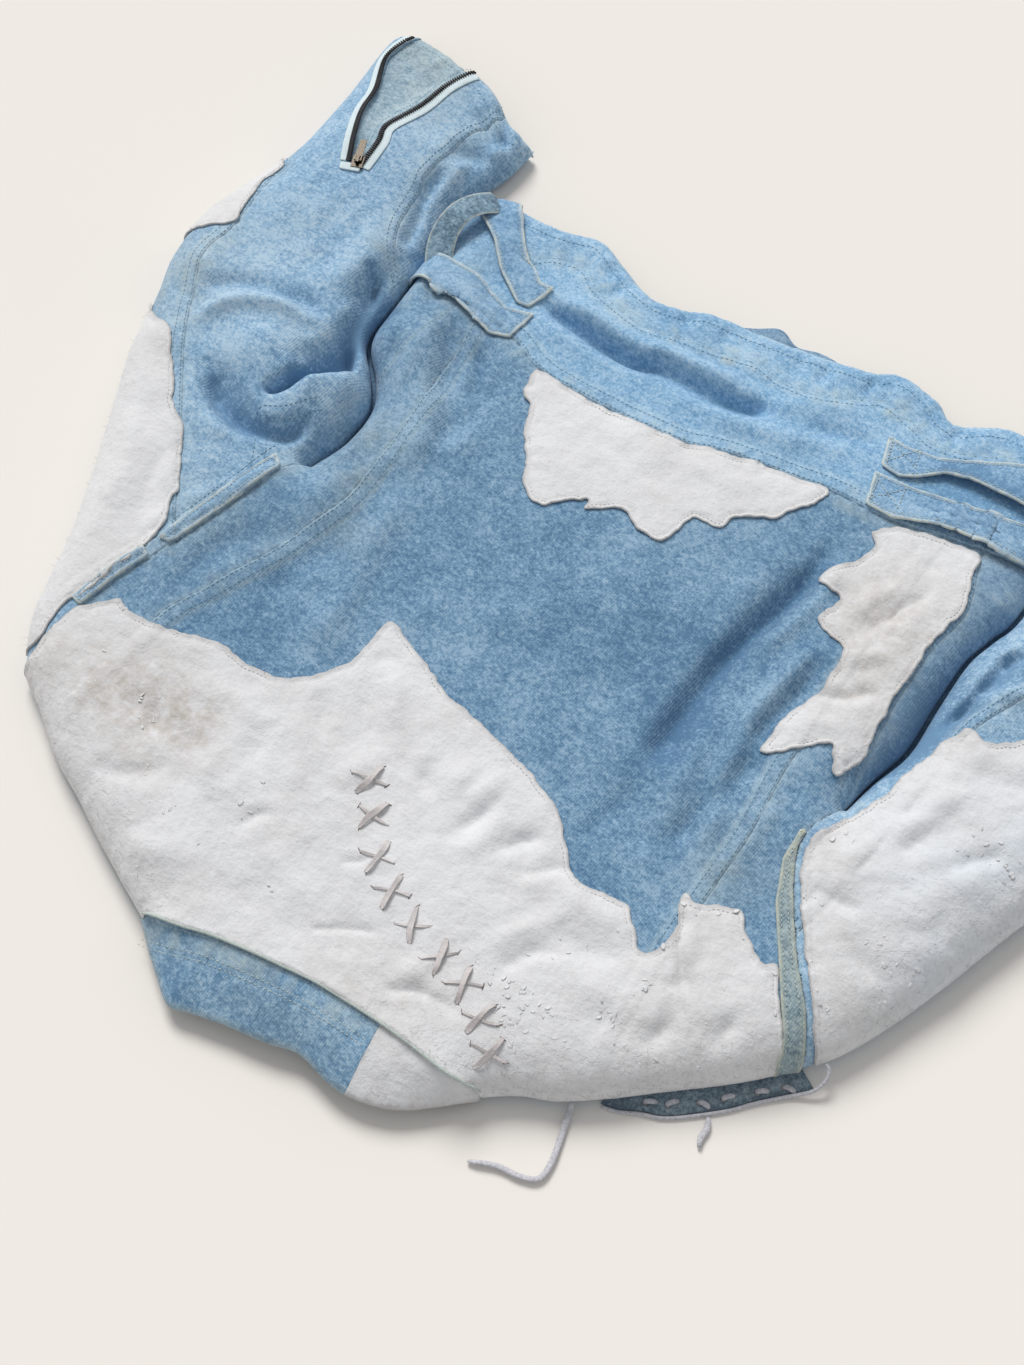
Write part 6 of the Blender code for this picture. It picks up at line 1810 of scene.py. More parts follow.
@dataclass
class StitchRow:
    """A row of stitches along a plan line.

    Attributes:
        line: The plan line.
        lift: How far the stitches lie above the wall.
        raised: A function of plan points that adds to the lift, or None.
        length: A stitch's length.
        gap: The gap between stitches.
        width: The thread's width.
    """

    line: np.ndarray
    lift: float
    length: float = 2.7
    gap: float = 1.1
    width: float = 0.75
    raised: object = None

    def places(self, ground: Ground, within: np.ndarray) -> list:
        """Return a matrix for each stitch.

        Args:
            ground: Where the wall is.
            within: The outline of the sheet it is sewn to.

        Returns:
            The matrices.
        """
        spots = even(self.line, self.length + self.gap)
        ahead = np.gradient(spots, axis=0)
        kept = inside(within, spots) & (ground.garment.edge_distance(spots, 3.0) > 2.0)
        spots, ahead = spots[kept], ahead[kept]
        if len(spots) == 0:
            return []
        lift = self.lift if self.raised is None else self.lift + self.raised(spots)
        points, normals = ground.on(spots, lift)
        tips, _ = ground.on(spots + ahead * 0.1, lift)
        return [placing(point, tip - point, normal, (self.length, self.width, self.width * 0.7))
                for point, tip, normal in zip(points, tips, normals)]


@dataclass
class Stitching:
    """All the topstitching, grouped by thread."""

    shop: Workshop
    patches: SuedePatches

    def build(self) -> None:
        """Build the rows on denim and those around the patches."""
        ground = Ground(self.shop.garment)
        ring = {name: domain.ring for name, domain in self.shop.domains.items()}
        body = self.denim_rows()
        for name, domain in (("stitches_body", "body"), ("stitches_sleeve_left", "sleeve_left"),
                             ("stitches_sleeve_right", "sleeve_right")):
            places = []
            for row in body[domain]:
                places += row.places(ground, ring[domain])
            made = pieces_from(name, bead(), places)
            self.shop.give(made, "thread_blue", "denim")
        places = []
        for domain, edge in self.patches.edges.values():
            rows = [StitchRow(shifted(edge, offset), LAYER_GAP + SUEDE - 0.25, 2.2, 0.9, 0.6)
                    for offset in (3.0, -3.0)]
            for row in rows:
                row.line = row.line[inside(edge, row.line)]
                if len(row.line) > 3:
                    places += row.places(ground, ring[domain])
        made = pieces_from("stitches_patches", bead(), places)
        self.shop.give(made, "thread_white", "suede")

    def denim_rows(self) -> dict:
        """Return the stitch rows on denim, by the sheet they are on."""
        band = smooth_line(BAND_SEAM)
        left, right = smooth_line(BACK_SEAM_LEFT), smooth_line(BACK_SEAM_RIGHT)
        tunnel = smooth_line(TUNNEL_LINE)
        side = smooth_line(SIDE_SEAM_RIGHT)
        body = [(band, 2.2), (band, 10.4), (left, 2.0), (left, 9.6), (right, -2.0), (right, -9.6),
                (tunnel, 0.0), (tunnel, -5.0), (smooth_line(BACK_HEM), -12.5),
                (smooth_line(SIDE_STITCH_LEFT), 0.0), (side, -2.0), (side, -7.4)]
        seam, under = smooth_line(SLEEVE_SEAM_LEFT), smooth_line(UNDERARM_SEAM_LEFT)
        strip = smooth_line(GUSSET_STRIP_LEFT)
        sleeve_left = [(seam, 2.0), (seam, 8.2), (under, -2.0), (under, -6.4), (strip, 0.0), (strip, 8.0),
                       (smooth_line(SLEEVE_TOPSTITCH_LEFT), 0.0), (smooth_line(CUFF_LEFT), -13.0)]
        seam, under = smooth_line(SLEEVE_SEAM_RIGHT), smooth_line(UNDERARM_SEAM_RIGHT)
        sleeve_right = [(seam, 2.0), (seam, 7.2), (under, 2.0), (under, 7.2),
                        (smooth_line(CUFF_RIGHT), -13.0)]
        groups = {"body": body, "sleeve_left": sleeve_left, "sleeve_right": sleeve_right}
        return {name: [StitchRow(shifted(line, offset), 0.12) for line, offset in rows]
                for name, rows in groups.items()}


@dataclass(frozen=True)
class StrapPlan:
    """One denim strap or band sewn on.

    Attributes:
        name: The piece's name.
        node: The frame's node that it stands for.
        domain: The sheet it lies on.
        outline: Its corners.
        thickness: How thick it is.
        arch: How far its middle stands off the cloth.
        box_end: 1 where a crossed box is sewn at its square end.
        finish: Its material.
        flat: Its cut's width and length in metres.
        area: Its cut's area in square metres.
    """

    name: str
    node: str
    domain: str
    outline: list
    thickness: float
    finish: str
    flat: tuple
    area: float
    arch: float = 0.0
    box_end: float = 0.0


@dataclass
class Straps:
    """The side straps and the armhole bands, with their topstitching."""

    shop: Workshop

    def plans(self) -> list:
        """Return every strap's plan."""
        g = self.shop.garment
        left = [tuple(p) for p in shifted(g.armhole_left, -1.2)[::4] if -96 < p[1] < 10]
        lower = [tuple(p) for p in shifted(g.armhole_left, -1.2)[::3] if -172 < p[1] < -94]
        beyond = [tuple(p) for p in shifted(g.armhole_left, -9.0)[::3] if -172 < p[1] < -94]
        right = [tuple(p) for p in shifted(g.armhole_right, -1.2)[::4] if p[1] < -44]
        return [
            StrapPlan("side_strap_upper_left", "strap_upper_left", "body", STRAP_UPPER_LEFT, 2.0,
                      "denim_strap", (0.034, 0.13), 0.0030, 3.5, 0.0),
            StrapPlan("side_strap_lower_left", "strap_lower_left", "body", STRAP_LOWER_LEFT, 2.0,
                      "denim_strap", (0.034, 0.12), 0.0031, 3.5, 0.0),
            StrapPlan("side_strap_upper_right", "strap_upper_right", "body", STRAP_UPPER_RIGHT, 2.0,
                      "denim_strap", (0.034, 0.15), 0.0039, 6.0, 1.0),
            StrapPlan("side_strap_lower_right", "strap_lower_right", "body", STRAP_LOWER_RIGHT, 2.0,
                      "denim_strap", (0.034, 0.15), 0.0041, 5.0, 1.0),
            StrapPlan("armhole_welt_left", "armhole_band_left", "sleeve_left",
                      ARMHOLE_BAND_LEFT + left[::-1], 1.6, "denim_strap", (0.014, 0.12), 0.0010),
            StrapPlan("armhole_welt_left_lower", "", "sleeve_left", beyond + lower[::-1], 1.6,
                      "denim_strap", (0.010, 0.08), 0.00065),
            StrapPlan("armhole_welt_right", "armhole_band_right", "body",
                      ARMHOLE_BAND_RIGHT + right[::-1], 1.6, "denim_edge", (0.018, 0.15), 0.0018)]

    def build(self) -> None:
        """Build the straps and a row of stitches inside their edges."""
        ground = Ground(self.shop.garment)
        places = []
        for plan in self.plans():
            edge, ring = self.build_strap(plan)
            for offset in (2.6, -2.6):
                line = shifted(edge, offset)
                line = line[inside(edge, line)]
                if len(line) > 3:
                    row = StitchRow(line, LAYER_GAP + plan.thickness + 0.30, 2.4, 0.9, 0.7)
                    row.raised = self.bow(plan)
                    places += row.places(ground, ring)
            for line in self.box(plan):
                row = StitchRow(even(line, 2.0), LAYER_GAP + plan.thickness + 0.50, 2.4, 0.7, 0.8)
                row.raised = self.bow(plan)
                places += row.places(ground, ring)
        made = pieces_from("stitches_straps", bead(), places)
        self.shop.give(made, "thread_pale", "denim")
        self.loop()

    def loop(self) -> None:
        """Build the end of the upper left strap that loops over the hem's corner."""
        route = even(smooth_line(STRAP_LOOP_ROUTE), 1.6)
        points, faces = tube(route, STRAP_LOOP_HALF_WIDTH, 1.0, 22)
        gap, _, _ = nearest_on(route[:, :2], points[:, :2], 30.0)
        rim = np.exp(-((STRAP_LOOP_HALF_WIDTH - gap) / 1.3) ** 2)
        wash = 0.12 * Grain(93)(points, 9.0) - 0.05
        facts = {"wear_and_edge_shade": np.clip(rim, 0, 1), "wash": wash, "grime": 0.1 + 0.0 * rim}
        made = mesh_object("side_strap_upper_left_loop", points, faces, facts)
        # Painted shade: the loop takes the darker copy of the strap's denim.
        self.shop.give(made, "denim_loop_shaded", "denim")

    @staticmethod
    def axis(plan: StrapPlan) -> tuple:
        """Return a strap's middle, its long direction and the reach of its two ends."""
        line = even(np.vstack([plan.outline, plan.outline[:1]]).astype(float), 2.0)
        middle = line.mean(axis=0)
        _, _, turned = np.linalg.svd(line - middle, full_matrices=False)
        along_it = turned[0] * np.sign(turned[0][0])
        reach = (line - middle) @ along_it
        return middle, along_it, reach.min(), reach.max()

    def bow(self, plan: StrapPlan) -> object:
        """Return a function of plan points that gives how far a strap stands off the cloth."""
        middle, along_it, low, high = self.axis(plan)

        def rise(points: np.ndarray) -> np.ndarray:
            """Return the strap's height over the cloth at plan points."""
            share = np.clip(((points - middle) @ along_it - low) / (high - low), 0.0, 1.0)
            return plan.arch * np.sin(math.pi * share) ** 1.5

        return rise

    def box(self, plan: StrapPlan) -> list:
        """Return the lines of the crossed box sewn at a strap's square end."""
        if plan.box_end == 0.0:
            return []
        middle, along_it, low, _ = self.axis(plan)
        across = np.array((-along_it[1], along_it[0]))
        a, b, c, d = (middle + along_it * (low + s) + across * t
                      for s, t in ((4.0, -9.0), (25.0, -9.0), (25.0, 9.0), (4.0, 9.0)))
        return [np.array(pair) for pair in ((b, c), (a, c), (b, d), (a, d))]

    def build_strap(self, plan: StrapPlan) -> tuple:
        """Build one strap and return its edge and its sheet's outline."""
        g = self.shop.garment
        domain = self.shop.domains[plan.domain]
        corners = np.array(plan.outline, dtype=float)
        edge = even(np.vstack([corners, corners[:1]]), 1.8)
        points, faces = domain.laid(edge, (-3.8, -2.6, -1.2, 1.2, 2.6, 3.8), STRAP_CELL)
        flat = points[:, :2]
        cut = nearest_on(edge, flat, 30.0)[0]
        out = LAYER_GAP + plan.thickness + 0.35 * np.exp(-(cut / 1.2) ** 2)
        out = out - 0.35 * np.exp(-((cut - 2.6) / 0.8) ** 2) + 0.25 * g.ripple(flat, 6.0)
        rise = self.bow(plan)(flat)
        out = out + rise
        facts = denim_facts(g, flat)
        facts["wear_and_edge_shade"] = np.maximum(0.25 * facts["wear_and_edge_shade"], 0.95 * np.exp(-(cut / 1.25) ** 2))
        nodes = (plan.node,) if plan.node else ()
        cloth = Cloth(plan.name, nodes, plan.finish, "denim", plan.flat, plan.area, plan.thickness)
        cloth.make(self.shop, points, faces, facts, out, -0.3 - rise)
        return edge, domain.ring


@dataclass
class Lacing:
    """The row of crossed suede thongs on the yoke patch."""

    shop: Workshop

    def build(self) -> None:
        """Build a piece for each cross of the frame."""
        ground = Ground(self.shop.garment)
        for number, (x, y, first, second) in enumerate(LACING, start=1):
            points, faces = [], []
            for order, angle in enumerate((second, first)):
                self.thong(ground, (x, y), angle, order, number, points, faces)
            made = mesh_object(f"thong_cross_{number}", np.vstack(points), np.vstack(faces))
            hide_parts(f"lace_cross_{number}")
            self.shop.give(made, "suede_thong", "suede")
        self.slit_shadows(ground)

    def slit_shadows(self, ground: Ground) -> None:
        """Add dark marks at the thongs' ends, painted shadow in the slits that they go into."""
        places = []
        for number, (x, y, first, second) in enumerate(LACING, start=1):
            for order, angle in enumerate((first, second)):
                heading = math.radians(angle)
                ahead = np.array((math.cos(heading), math.sin(heading)))
                for end in (-1.0, 1.0):
                    lean = heading + end * 0.9 + 0.5 * math.sin(number * 1.9 + order)
                    run = np.array((math.cos(lean), math.sin(lean)))
                    spot = np.array((x, y)) + end * ahead * 0.5 * THONG_CROSS_LENGTH
                    spots = np.array([spot, spot + run * 2.6])
                    points, normals = ground.on(spots, LAYER_GAP + SUEDE + 0.45)
                    places.append(placing(points[0], points[1] - points[0], normals[0], (5.6, 0.8, 0.7)))
        made = pieces_from("thong_slit_shadows", bead(6, 5), places)
        self.shop.give(made, "slit_shadow", "suede")

    def thong(self, ground: Ground, centre: tuple, angle: float, order: int, number: int,
              points: list, faces: list) -> None:
        """Add one thong, arched over the suede and a little twisted.

        Args:
            ground: Where the wall is.
            centre: The middle of the cross.
            angle: Its heading in degrees.
            order: 0 for the lower thong and 1 for the upper one.
            number: Which cross it is in.
            points: The points so far.
            faces: The triangles so far.
        """
        steps, around = 15, 8
        half = 0.5 * THONG_CROSS_LENGTH * (1.02 if order else 1.0)
        heading = math.radians(angle)
        ahead = np.array((math.cos(heading), math.sin(heading)))
        side = np.array((-ahead[1], ahead[0]))
        share = np.linspace(-1.0, 1.0, steps)
        bend = 1.1 * math.sin(number * 2.1 + order) * (1.0 - share ** 2)
        plan = np.array(centre) + share[:, None] * half * ahead + bend[:, None] * side
        arch = (0.9 + 1.2 * order) * (1.0 - np.abs(share) ** 2.6)
        middle, normal = ground.on(plan, 0.0)
        middle = middle + normal * (LAYER_GAP + SUEDE + 0.7 + arch)[:, None]
        rings = []
        for index in range(steps):
            twist = math.radians(26.0) * math.sin(share[index] * 2.4 + number + 2.0 * order)
            width = THONG_HALF_WIDTHS[order] * (1.0 - 0.35 * abs(share[index]) ** 6)
            width *= 1.0 - 0.2 * math.cos(number * 1.7 + share[index] * 3.0)
            across = np.array((*side, 0.0))
            across = across - normal[index] * (across @ normal[index])
            across /= np.linalg.norm(across)
            for turn in range(around):
                a = 2 * math.pi * turn / around
                u, v = width * math.cos(a), 0.34 * math.sin(a) + 0.45 * math.cos(a) ** 2
                wide = u * math.cos(twist) - v * math.sin(twist)
                high = u * math.sin(twist) + v * math.cos(twist)
                rings.append(middle[index] + across * wide + normal[index] * high)
        faces.append(tube_faces(steps, around)[:, ::-1] + sum(len(part) for part in points))
        points.append(np.array(rings))


@dataclass
class CuffZip:
    """The open zip at the left cuff: gusset, tapes, teeth and metal parts."""

    shop: Workshop

    def build(self) -> None:
        """Build the gusset, both tapes and both rows of teeth."""
        domain = self.shop.domains["sleeve_left"]
        ground = Ground(self.shop.garment)
        self.gusset(domain)
        self.tape(domain, "left", ZIP_LEFT_LINE, 0.8, TAPE_OUTER_REACH)
        self.tape(domain, "right", ZIP_RIGHT_LINE, TAPE_OUTER_REACH + 1.2, 0.8)
        places = []
        for line, sign in ((ZIP_LEFT_LINE, -1.0), (ZIP_RIGHT_LINE, 1.0)):
            spots = even(shifted(smooth_line(line), sign * 0.4), 2.1)
            points, normals = ground.on(spots, LAYER_GAP + TAPE_THICKNESS + 0.7)
            ahead = np.gradient(points, axis=0)
            places += [placing(point, np.cross(normal, run), normal, TOOTH_SIZE)
                       for point, run, normal in zip(points, ahead, normals)]
            middle = even(shifted(smooth_line(line), sign * 0.1), 1.6)
            cord, _ = ground.on(middle, LAYER_GAP + TAPE_THICKNESS + 0.45)
            points, faces = tube(cord, 0.75, 0.5, 6)
            name = "zip_cord_left" if sign < 0 else "zip_cord_right"
            self.shop.give(mesh_object(name, points, faces), "chain", "zip_metal")
        teeth = pieces_from("zip_teeth", block(0.16), places)
        self.shop.give(teeth, "chain", "zip_metal")
        places = []
        for line, sign in ((ZIP_LEFT_LINE, 1.0), (ZIP_RIGHT_LINE, -1.0)):
            beside_teeth = shifted(smooth_line(line), sign * 5.4)
            row = StitchRow(beside_teeth, LAYER_GAP + TAPE_THICKNESS + 0.05, 2.2, 0.9, 0.6)
            places += row.places(ground, domain.ring)
        made = pieces_from("stitches_zip", bead(), places)
        self.shop.give(made, "thread_blue", "zip_tape")
        foot, normal = ground.on(np.array([(-350.5, 259.0)]), LAYER_GAP + 0.9)
        block_place = placing(foot[0], (0.34, -0.94, 0.0), normal[0], (7.0, 16.0, 1.6))
        made = pieces_from("zip_tape_end", block(0.12), [block_place])
        self.shop.give(made, "tape", "zip_tape")

    def gusset(self, domain: Domain) -> None:
        """Build the wall that shows in the open zip, sunk below the cuff."""
        outline = np.array(CUFF_GUSSET, dtype=float)
        edge = np.vstack([outline, outline[:1]])
        points, faces = domain.laid(edge, (), PATCH_CELL)
        flat = points[:, :2].copy()
        grain = Grain(91)
        notch = np.vstack([CUFF_NOTCH, CUFF_NOTCH[:1]]).astype(float)
        depth = np.clip(nearest_on(notch, flat, 20.0)[0] / 14.0, 0.0, 1.0) * inside(notch, flat)
        points[:, 2] -= DENIM + 0.5 + 3.0 * depth + 0.8 * depth * (1.0 + grain(flat, 14.0))
        facts = denim_facts(self.shop.garment, flat)
        facts["wear_and_edge_shade"] = 0.3 * facts["wear_and_edge_shade"]
        facts["grime"] = 0.5 * facts["grime"]
        cloth = Cloth("cuff_gusset_cloth", ("cuff_gusset",), "denim_inside", "denim", (0.08, 0.17),
                      0.0094, 1.3)
        cloth.make(self.shop, points, faces, facts)

    def tape(self, domain: Domain, side: str, line: list, left: float, right: float) -> None:
        """Build one woven tape."""
        middle = smooth_line(line)
        edge = np.vstack([shifted(middle, left), shifted(middle, -right)[::-1]])
        edge = np.vstack([edge, edge[:1]])
        points, faces = domain.laid(edge, (), TAPE_CELL)
        node = f"zip_tape_{side}"
        cloth = Cloth(f"{node}_cloth", (node,), "tape", "zip_tape", (0.0105, 0.17), 0.0013, TAPE_THICKNESS)
        zero = {"wear_and_edge_shade": np.zeros(len(points))}
        cloth.make(self.shop, points, faces, zero, LAYER_GAP + TAPE_THICKNESS, -0.3)


@dataclass
class Collar:
    """The stand collar, denim with a suede end, and its plain half underneath."""

    shop: Workshop

    def build(self) -> None:
        """Build the three pieces and the stitching."""
        g = self.shop.garment
        seam = shifted(g.neck, 0.2)
        outer = smooth_line(COLLAR_OUTER)
        length = reached_along(seam)[-1]
        plan, triangles = self.mesh_between(seam, outer, 2.4, np.array(COLLAR_SPLIT, dtype=float))
        gap_seam, where, _ = nearest_on(seam, plan, 200.0)
        gap_edge = nearest_on(outer, plan, 200.0)[0]
        v = gap_seam / np.maximum(gap_seam + gap_edge, 1e-6)
        u = np.clip(where / length, 0.0, 1.0)
        at_seam = g.upper(along(seam, where)) - 0.6
        place = COLLAR_END_INSET + (1.0 - 2.0 * COLLAR_END_INSET) * u
        at_edge = COLLAR_EDGE_LOW + COLLAR_EDGE_LIFT * np.sqrt(np.sin(np.pi * place))
        height = at_seam * (1 - v) + at_edge * v + COLLAR_BELLY * np.sin(np.pi * v) * np.sin(np.pi * u)
        grain = Grain(71)
        height += 0.8 * grain(plan, 24.0) + 0.35 * grain(plan, 9.0)
        for offset in (3.0, 14.0, 18.0):
            height -= 0.35 * np.exp(-((gap_seam - offset) / 0.8) ** 2)
        rungs = g.ripple.layer(np.column_stack([where, gap_seam * 0.2]), 6.0)
        puckers = g.ripple.layer(np.column_stack([where, gap_seam * 0.3]), 6.5)
        height += 0.5 * rungs * np.exp(-((gap_seam - 9.0) / 7.0) ** 2)
        height += 0.35 * puckers * np.exp(-(gap_seam / 9.0) ** 2)
        height -= 1.2 * np.exp(-(gap_edge / 1.6) ** 2)
        points = np.column_stack([plan, height])
        triangles = facing(points, triangles, True)
        wear_and_edge_shade = np.maximum(
            0.6 * np.exp(-(gap_edge / 2.2) ** 2), 0.4 * np.exp(-((gap_seam - 1.0) / 2.0) ** 2))
        wear_and_edge_shade = np.maximum(wear_and_edge_shade, 0.55 * np.exp(-((gap_seam - 9.0) / 6.0) ** 2) * (0.5 + 1.2 * rungs))
        facts = {"wear_and_edge_shade": np.clip(wear_and_edge_shade, 0, 1), "wash": 0.06 * grain(plan, 20.0),
                 "grime": np.clip(0.05 + 0.25 * grain(plan, 30.0), 0, 1)}
        right = beside(np.array(COLLAR_SPLIT, dtype=float), (FAR, 0.0))
        denim = triangles_in(plan, triangles, [], [right])
        suede = triangles_in(plan, triangles, [right], [])
        cloth = Cloth("collar_denim_panel", ("collar_denim",), "denim_collar", "denim", (0.19, 0.06),
                      0.0081, 3.0)
        self.panel(cloth, points, denim, facts)
        split_gap = nearest_on(np.array(COLLAR_SPLIT, dtype=float), plan, 60.0)[0]
        soft = suede_facts(g, plan, np.minimum(split_gap, gap_edge))
        soft["fray"] = np.clip(0.3 + np.exp(-(gap_edge / 9.0) ** 2), 0, 1)
        cloth = Cloth("collar_suede_panel", ("collar_suede",), "suede", "suede", (0.085, 0.05), 0.0027, 3.0)
        self.panel(cloth, points, suede, soft)
        self.under()
        self.stitches(points, seam)
        self.seam_cord(points, seam)

    def mesh_between(self, start: np.ndarray, end: np.ndarray, cell: float, cut: np.ndarray) -> tuple:
        """Mesh the plan region between two lines that both run to the right."""
        ring = np.vstack([even(start, cell), even(end, cell)[::-1]])
        split = even(cut, cell)
        split = split[inside(ring, split)]
        plan, triangles = triangulated(ring, [split], square_grid(ring, cell, [start, end], 1.5))
        return plan, triangles_in(plan, triangles, [ring], [])

    def panel(self, cloth: Cloth, points: np.ndarray, triangles: np.ndarray, facts: dict) -> None:
        """Build one piece from some of the triangles."""
        used = np.unique(triangles)
        place = np.full(len(points), -1)
        place[used] = np.arange(len(used))
        values = {key: value[used] for key, value in facts.items()}
        cloth.make(self.shop, points[used], place[triangles], values)

    def under(self) -> None:
        """Build the plain half that lies on the floor."""
        g = self.shop.garment
        scoop = even(smooth_line(FRONT_NECK), 4.0)
        outer = smooth_line(COLLAR_OUTER)
        total = reached_along(outer)[-1]
        edge = along(outer, np.linspace(0.14 * total, 0.86 * total, 60)) + (0.0, COLLAR_UNDER_INSET)
        plan, triangles = self.mesh_between(scoop, edge, 5.0, np.array([(0, -270), (0, -271)], dtype=float))
        gap = nearest_on(scoop, plan, 200.0)[0]
        far = nearest_on(edge, plan, 200.0)[0]
        v = gap / np.maximum(gap + far, 1e-6)
        height = 2.4 + COLLAR_UNDER_LIFT * v + 0.3 * g.wrinkles(plan, 20.0)
        points = np.column_stack([plan, height])
        triangles = facing(points, triangles, True)
        facts = {"wear_and_edge_shade": 0.3 * np.exp(-(far / 3.0) ** 2), "wash": 0.0 * v, "grime": 0.2 + 0.0 * v}
        cloth = Cloth("collar_under_panel", ("collar_under",), "denim_inside", "denim", (0.22, 0.09),
                      0.0148, 2.2)
        self.panel(cloth, points, triangles, facts)

    def stitches(self, points: np.ndarray, seam: np.ndarray) -> None:
        """Sew three rows along the collar's seam."""
        places = []
        for offset in (-3.0, -14.0, -18.0):
            row = even(shifted(seam, offset), 3.6)
            row = row[(row[:, 0] < 50.0) & (row[:, 0] > -116.0)]
            for spot, run in zip(row, np.gradient(row, axis=0)):
                height = points[self.near(points, spot), 2].mean() + 0.15
                places.append(placing((*spot, height), (*run, 0.0), (0.0, 0.0, 1.0), (2.6, 0.7, 0.5)))
        self.shop.give(pieces_from("stitches_collar", bead(), places), "thread_pale", "denim")

    def seam_cord(self, points: np.ndarray, seam: np.ndarray) -> None:
        """Build the pale cord along the seam between collar and yoke."""
        line = even(shifted(seam, -1.0), 5.0)
        heights = [points[self.near(points, spot), 2].max() + 1.8 for spot in line]
        cord, faces = tube(np.column_stack([line, heights]), 1.2, 1.0, 8)
        self.shop.give(mesh_object("collar_seam_cord", cord, faces), "thread_pale", "denim")

    @staticmethod
    def near(points: np.ndarray, spot: np.ndarray) -> np.ndarray:
        """Return which three points are nearest to a plan spot."""
        return ((points[:, :2] - spot) ** 2).sum(axis=1).argsort()[:3]


def tube_faces(rings: int, around: int) -> np.ndarray:
    """Return the triangles of a closed tube of rings of points."""
    faces = []
    for index in range(rings - 1):
        for number in range(around):
            a, b = index * around + number, index * around + (number + 1) % around
            faces += [(a, b + around, b), (a, a + around, b + around)]
    last = (rings - 1) * around
    faces += [(0, number, number + 1) for number in range(1, around - 1)]
    faces += [(last, last + number + 1, last + number) for number in range(1, around - 1)]
    return np.array(faces)


def tube(route: np.ndarray, across: float, high: float, around: int = 10, turn: float = 0.0) -> tuple:
    """Return points and triangles of a tube along a route, flattened if asked.

    Args:
        route: The route's points.
        across: Half its width.
        high: Half its height.
        around: How many sides it has.
        turn: How much it twists from end to end, in radians.

    Returns:
        Points and triangles.
    """
    ahead = np.gradient(route, axis=0)
    ahead /= np.linalg.norm(ahead, axis=1)[:, None]
    up = np.array((0.0, 0.0, 1.0))
    points = []
    for index, (spot, run) in enumerate(zip(route, ahead)):
        side = np.cross(up, run)
        side /= max(np.linalg.norm(side), 1e-9)
        over = np.cross(run, side)
        tilt = turn * index / len(route)
        taper = min(1.0, 0.55 + 0.25 * index, 0.55 + 0.25 * (len(route) - 1 - index))
        for number in range(around):
            a = 2 * math.pi * number / around
            u, v = across * taper * math.cos(a), high * taper * math.sin(a)
            wide, tall = u * math.cos(tilt) - v * math.sin(tilt), u * math.sin(tilt) + v * math.cos(tilt)
            points.append(spot + side * wide + over * tall)
    return np.array(points), tube_faces(len(route), around)


@dataclass
class LacedStrip:
    """The laced strip below the right shoulder, with its piping, thong bits and free ends."""

    shop: Workshop

    def build(self) -> None:
        """Build the strip, the piping, the bits in the holes and the laces."""
        self.strip()
        route = even(smooth_line(STRIP_PIPING_ROUTE), 1.6)
        points, faces = tube(route, 1.3, 1.3)
        made = mesh_object("strip_piping_cord", points, faces)
        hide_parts("strip_piping")
        self.shop.give(made, "lace", "suede")
        self.bits()
        self.lace("lace_long_thong", "lace_long", LACE_LONG_ROUTE, True)
        self.lace("lace_short_thong", "lace_short", LACE_SHORT_ROUTE, False)

    def strip(self) -> None:
        """Build the holed strip."""
        outer = even(smooth_line(STRIP_OUTER), 2.0)
        inner = even(smooth_line(STRIP_INNER), 2.0)
        ring = np.vstack([outer, inner[::-1]])
        holes = []
        for x, y in LACE_HOLES:
            angles = np.linspace(0.0, 2 * math.pi, 13)
            wide, high = LACE_HOLE_RADIUS * np.cos(angles), 0.8 * LACE_HOLE_RADIUS * np.sin(angles)
            holes.append(np.column_stack([x + wide, y + high]))
        grid = square_grid(ring, 1.8, [outer, inner] + holes, 0.8)
        plan, triangles = triangulated(ring, [hole[:-1] for hole in holes], grid, True)
        triangles = triangles_in(plan, triangles, [ring], holes)
        grain = Grain(61)
        height = 1.6 + 0.3 * grain(plan, 9.0) + 0.15 * grain(plan, 3.0)
        flat = np.column_stack([plan, height])
        used, faces, _ = compact(flat, triangles)
        faces = facing(used, faces, True)
        edge = nearest_on(outer, used[:, :2], 20.0)[0]
        # The outer edge is painted darker, as shadow under the shoulder roll.
        facts = {
            "wear_and_edge_shade": 0.25 * np.exp(-((edge - 6.0) / 3.0) ** 2),
            "wash": 0.1 * grain(used, 12.0) - 0.35 * np.exp(-(edge / 2.2) ** 2), "grime": 0.1 + 0.0 * edge}
        cloth = Cloth("laced_strip_panel", ("laced_strip",), "denim_strip", "denim", (0.14, 0.02),
                      0.0022, 1.5)
        cloth.make(self.shop, used, faces, facts)

    def bits(self) -> None:
        """Build the thong bits that show in the strip's holes."""
        parts, faces = [], []
        for number, (x, y) in enumerate(LACE_HOLES):
            angle = 0.7 + 0.5 * math.sin(number * 2.3)
            reach = np.array((math.cos(angle), math.sin(angle)))
            across = np.array((-reach[1], reach[0]))
            here = np.array((x, y))
            route = [(*(here - reach * 1.0), 1.0), (*(here + reach * 0.5 + across * 0.5), 2.8),
                     (*(here + reach * 4.0), 3.2), (*(here + reach * 7.5 - across * 1.5), 2.6)]
            spots, made = tube(even(smooth_line(route), 1.2), 1.9, 0.7, 8, 0.5)
            faces.append(made + sum(len(part) for part in parts))
            parts.append(spots)
        made = mesh_object("strip_thong_bits", np.vstack(parts), np.vstack(faces))
        self.shop.give(made, "lace", "suede")

    def lace(self, name: str, node: str, route: list, long: bool) -> None:
        line = even(smooth_line(route), 3.0)
        points, faces = tube(line, LACE_DIAMETER / 2, 1.5, 12, 0.9 if long else 0.4)
        points[:, 2] = np.maximum(points[:, 2], 0.1)
        made = mesh_object(name, points, faces)
        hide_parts(node)
        self.shop.give(made, "lace", "suede")
        if long:
            length = float(reached_along(line)[-1]) * MM
            LOG.info("%s: %.4f m long", name, length)


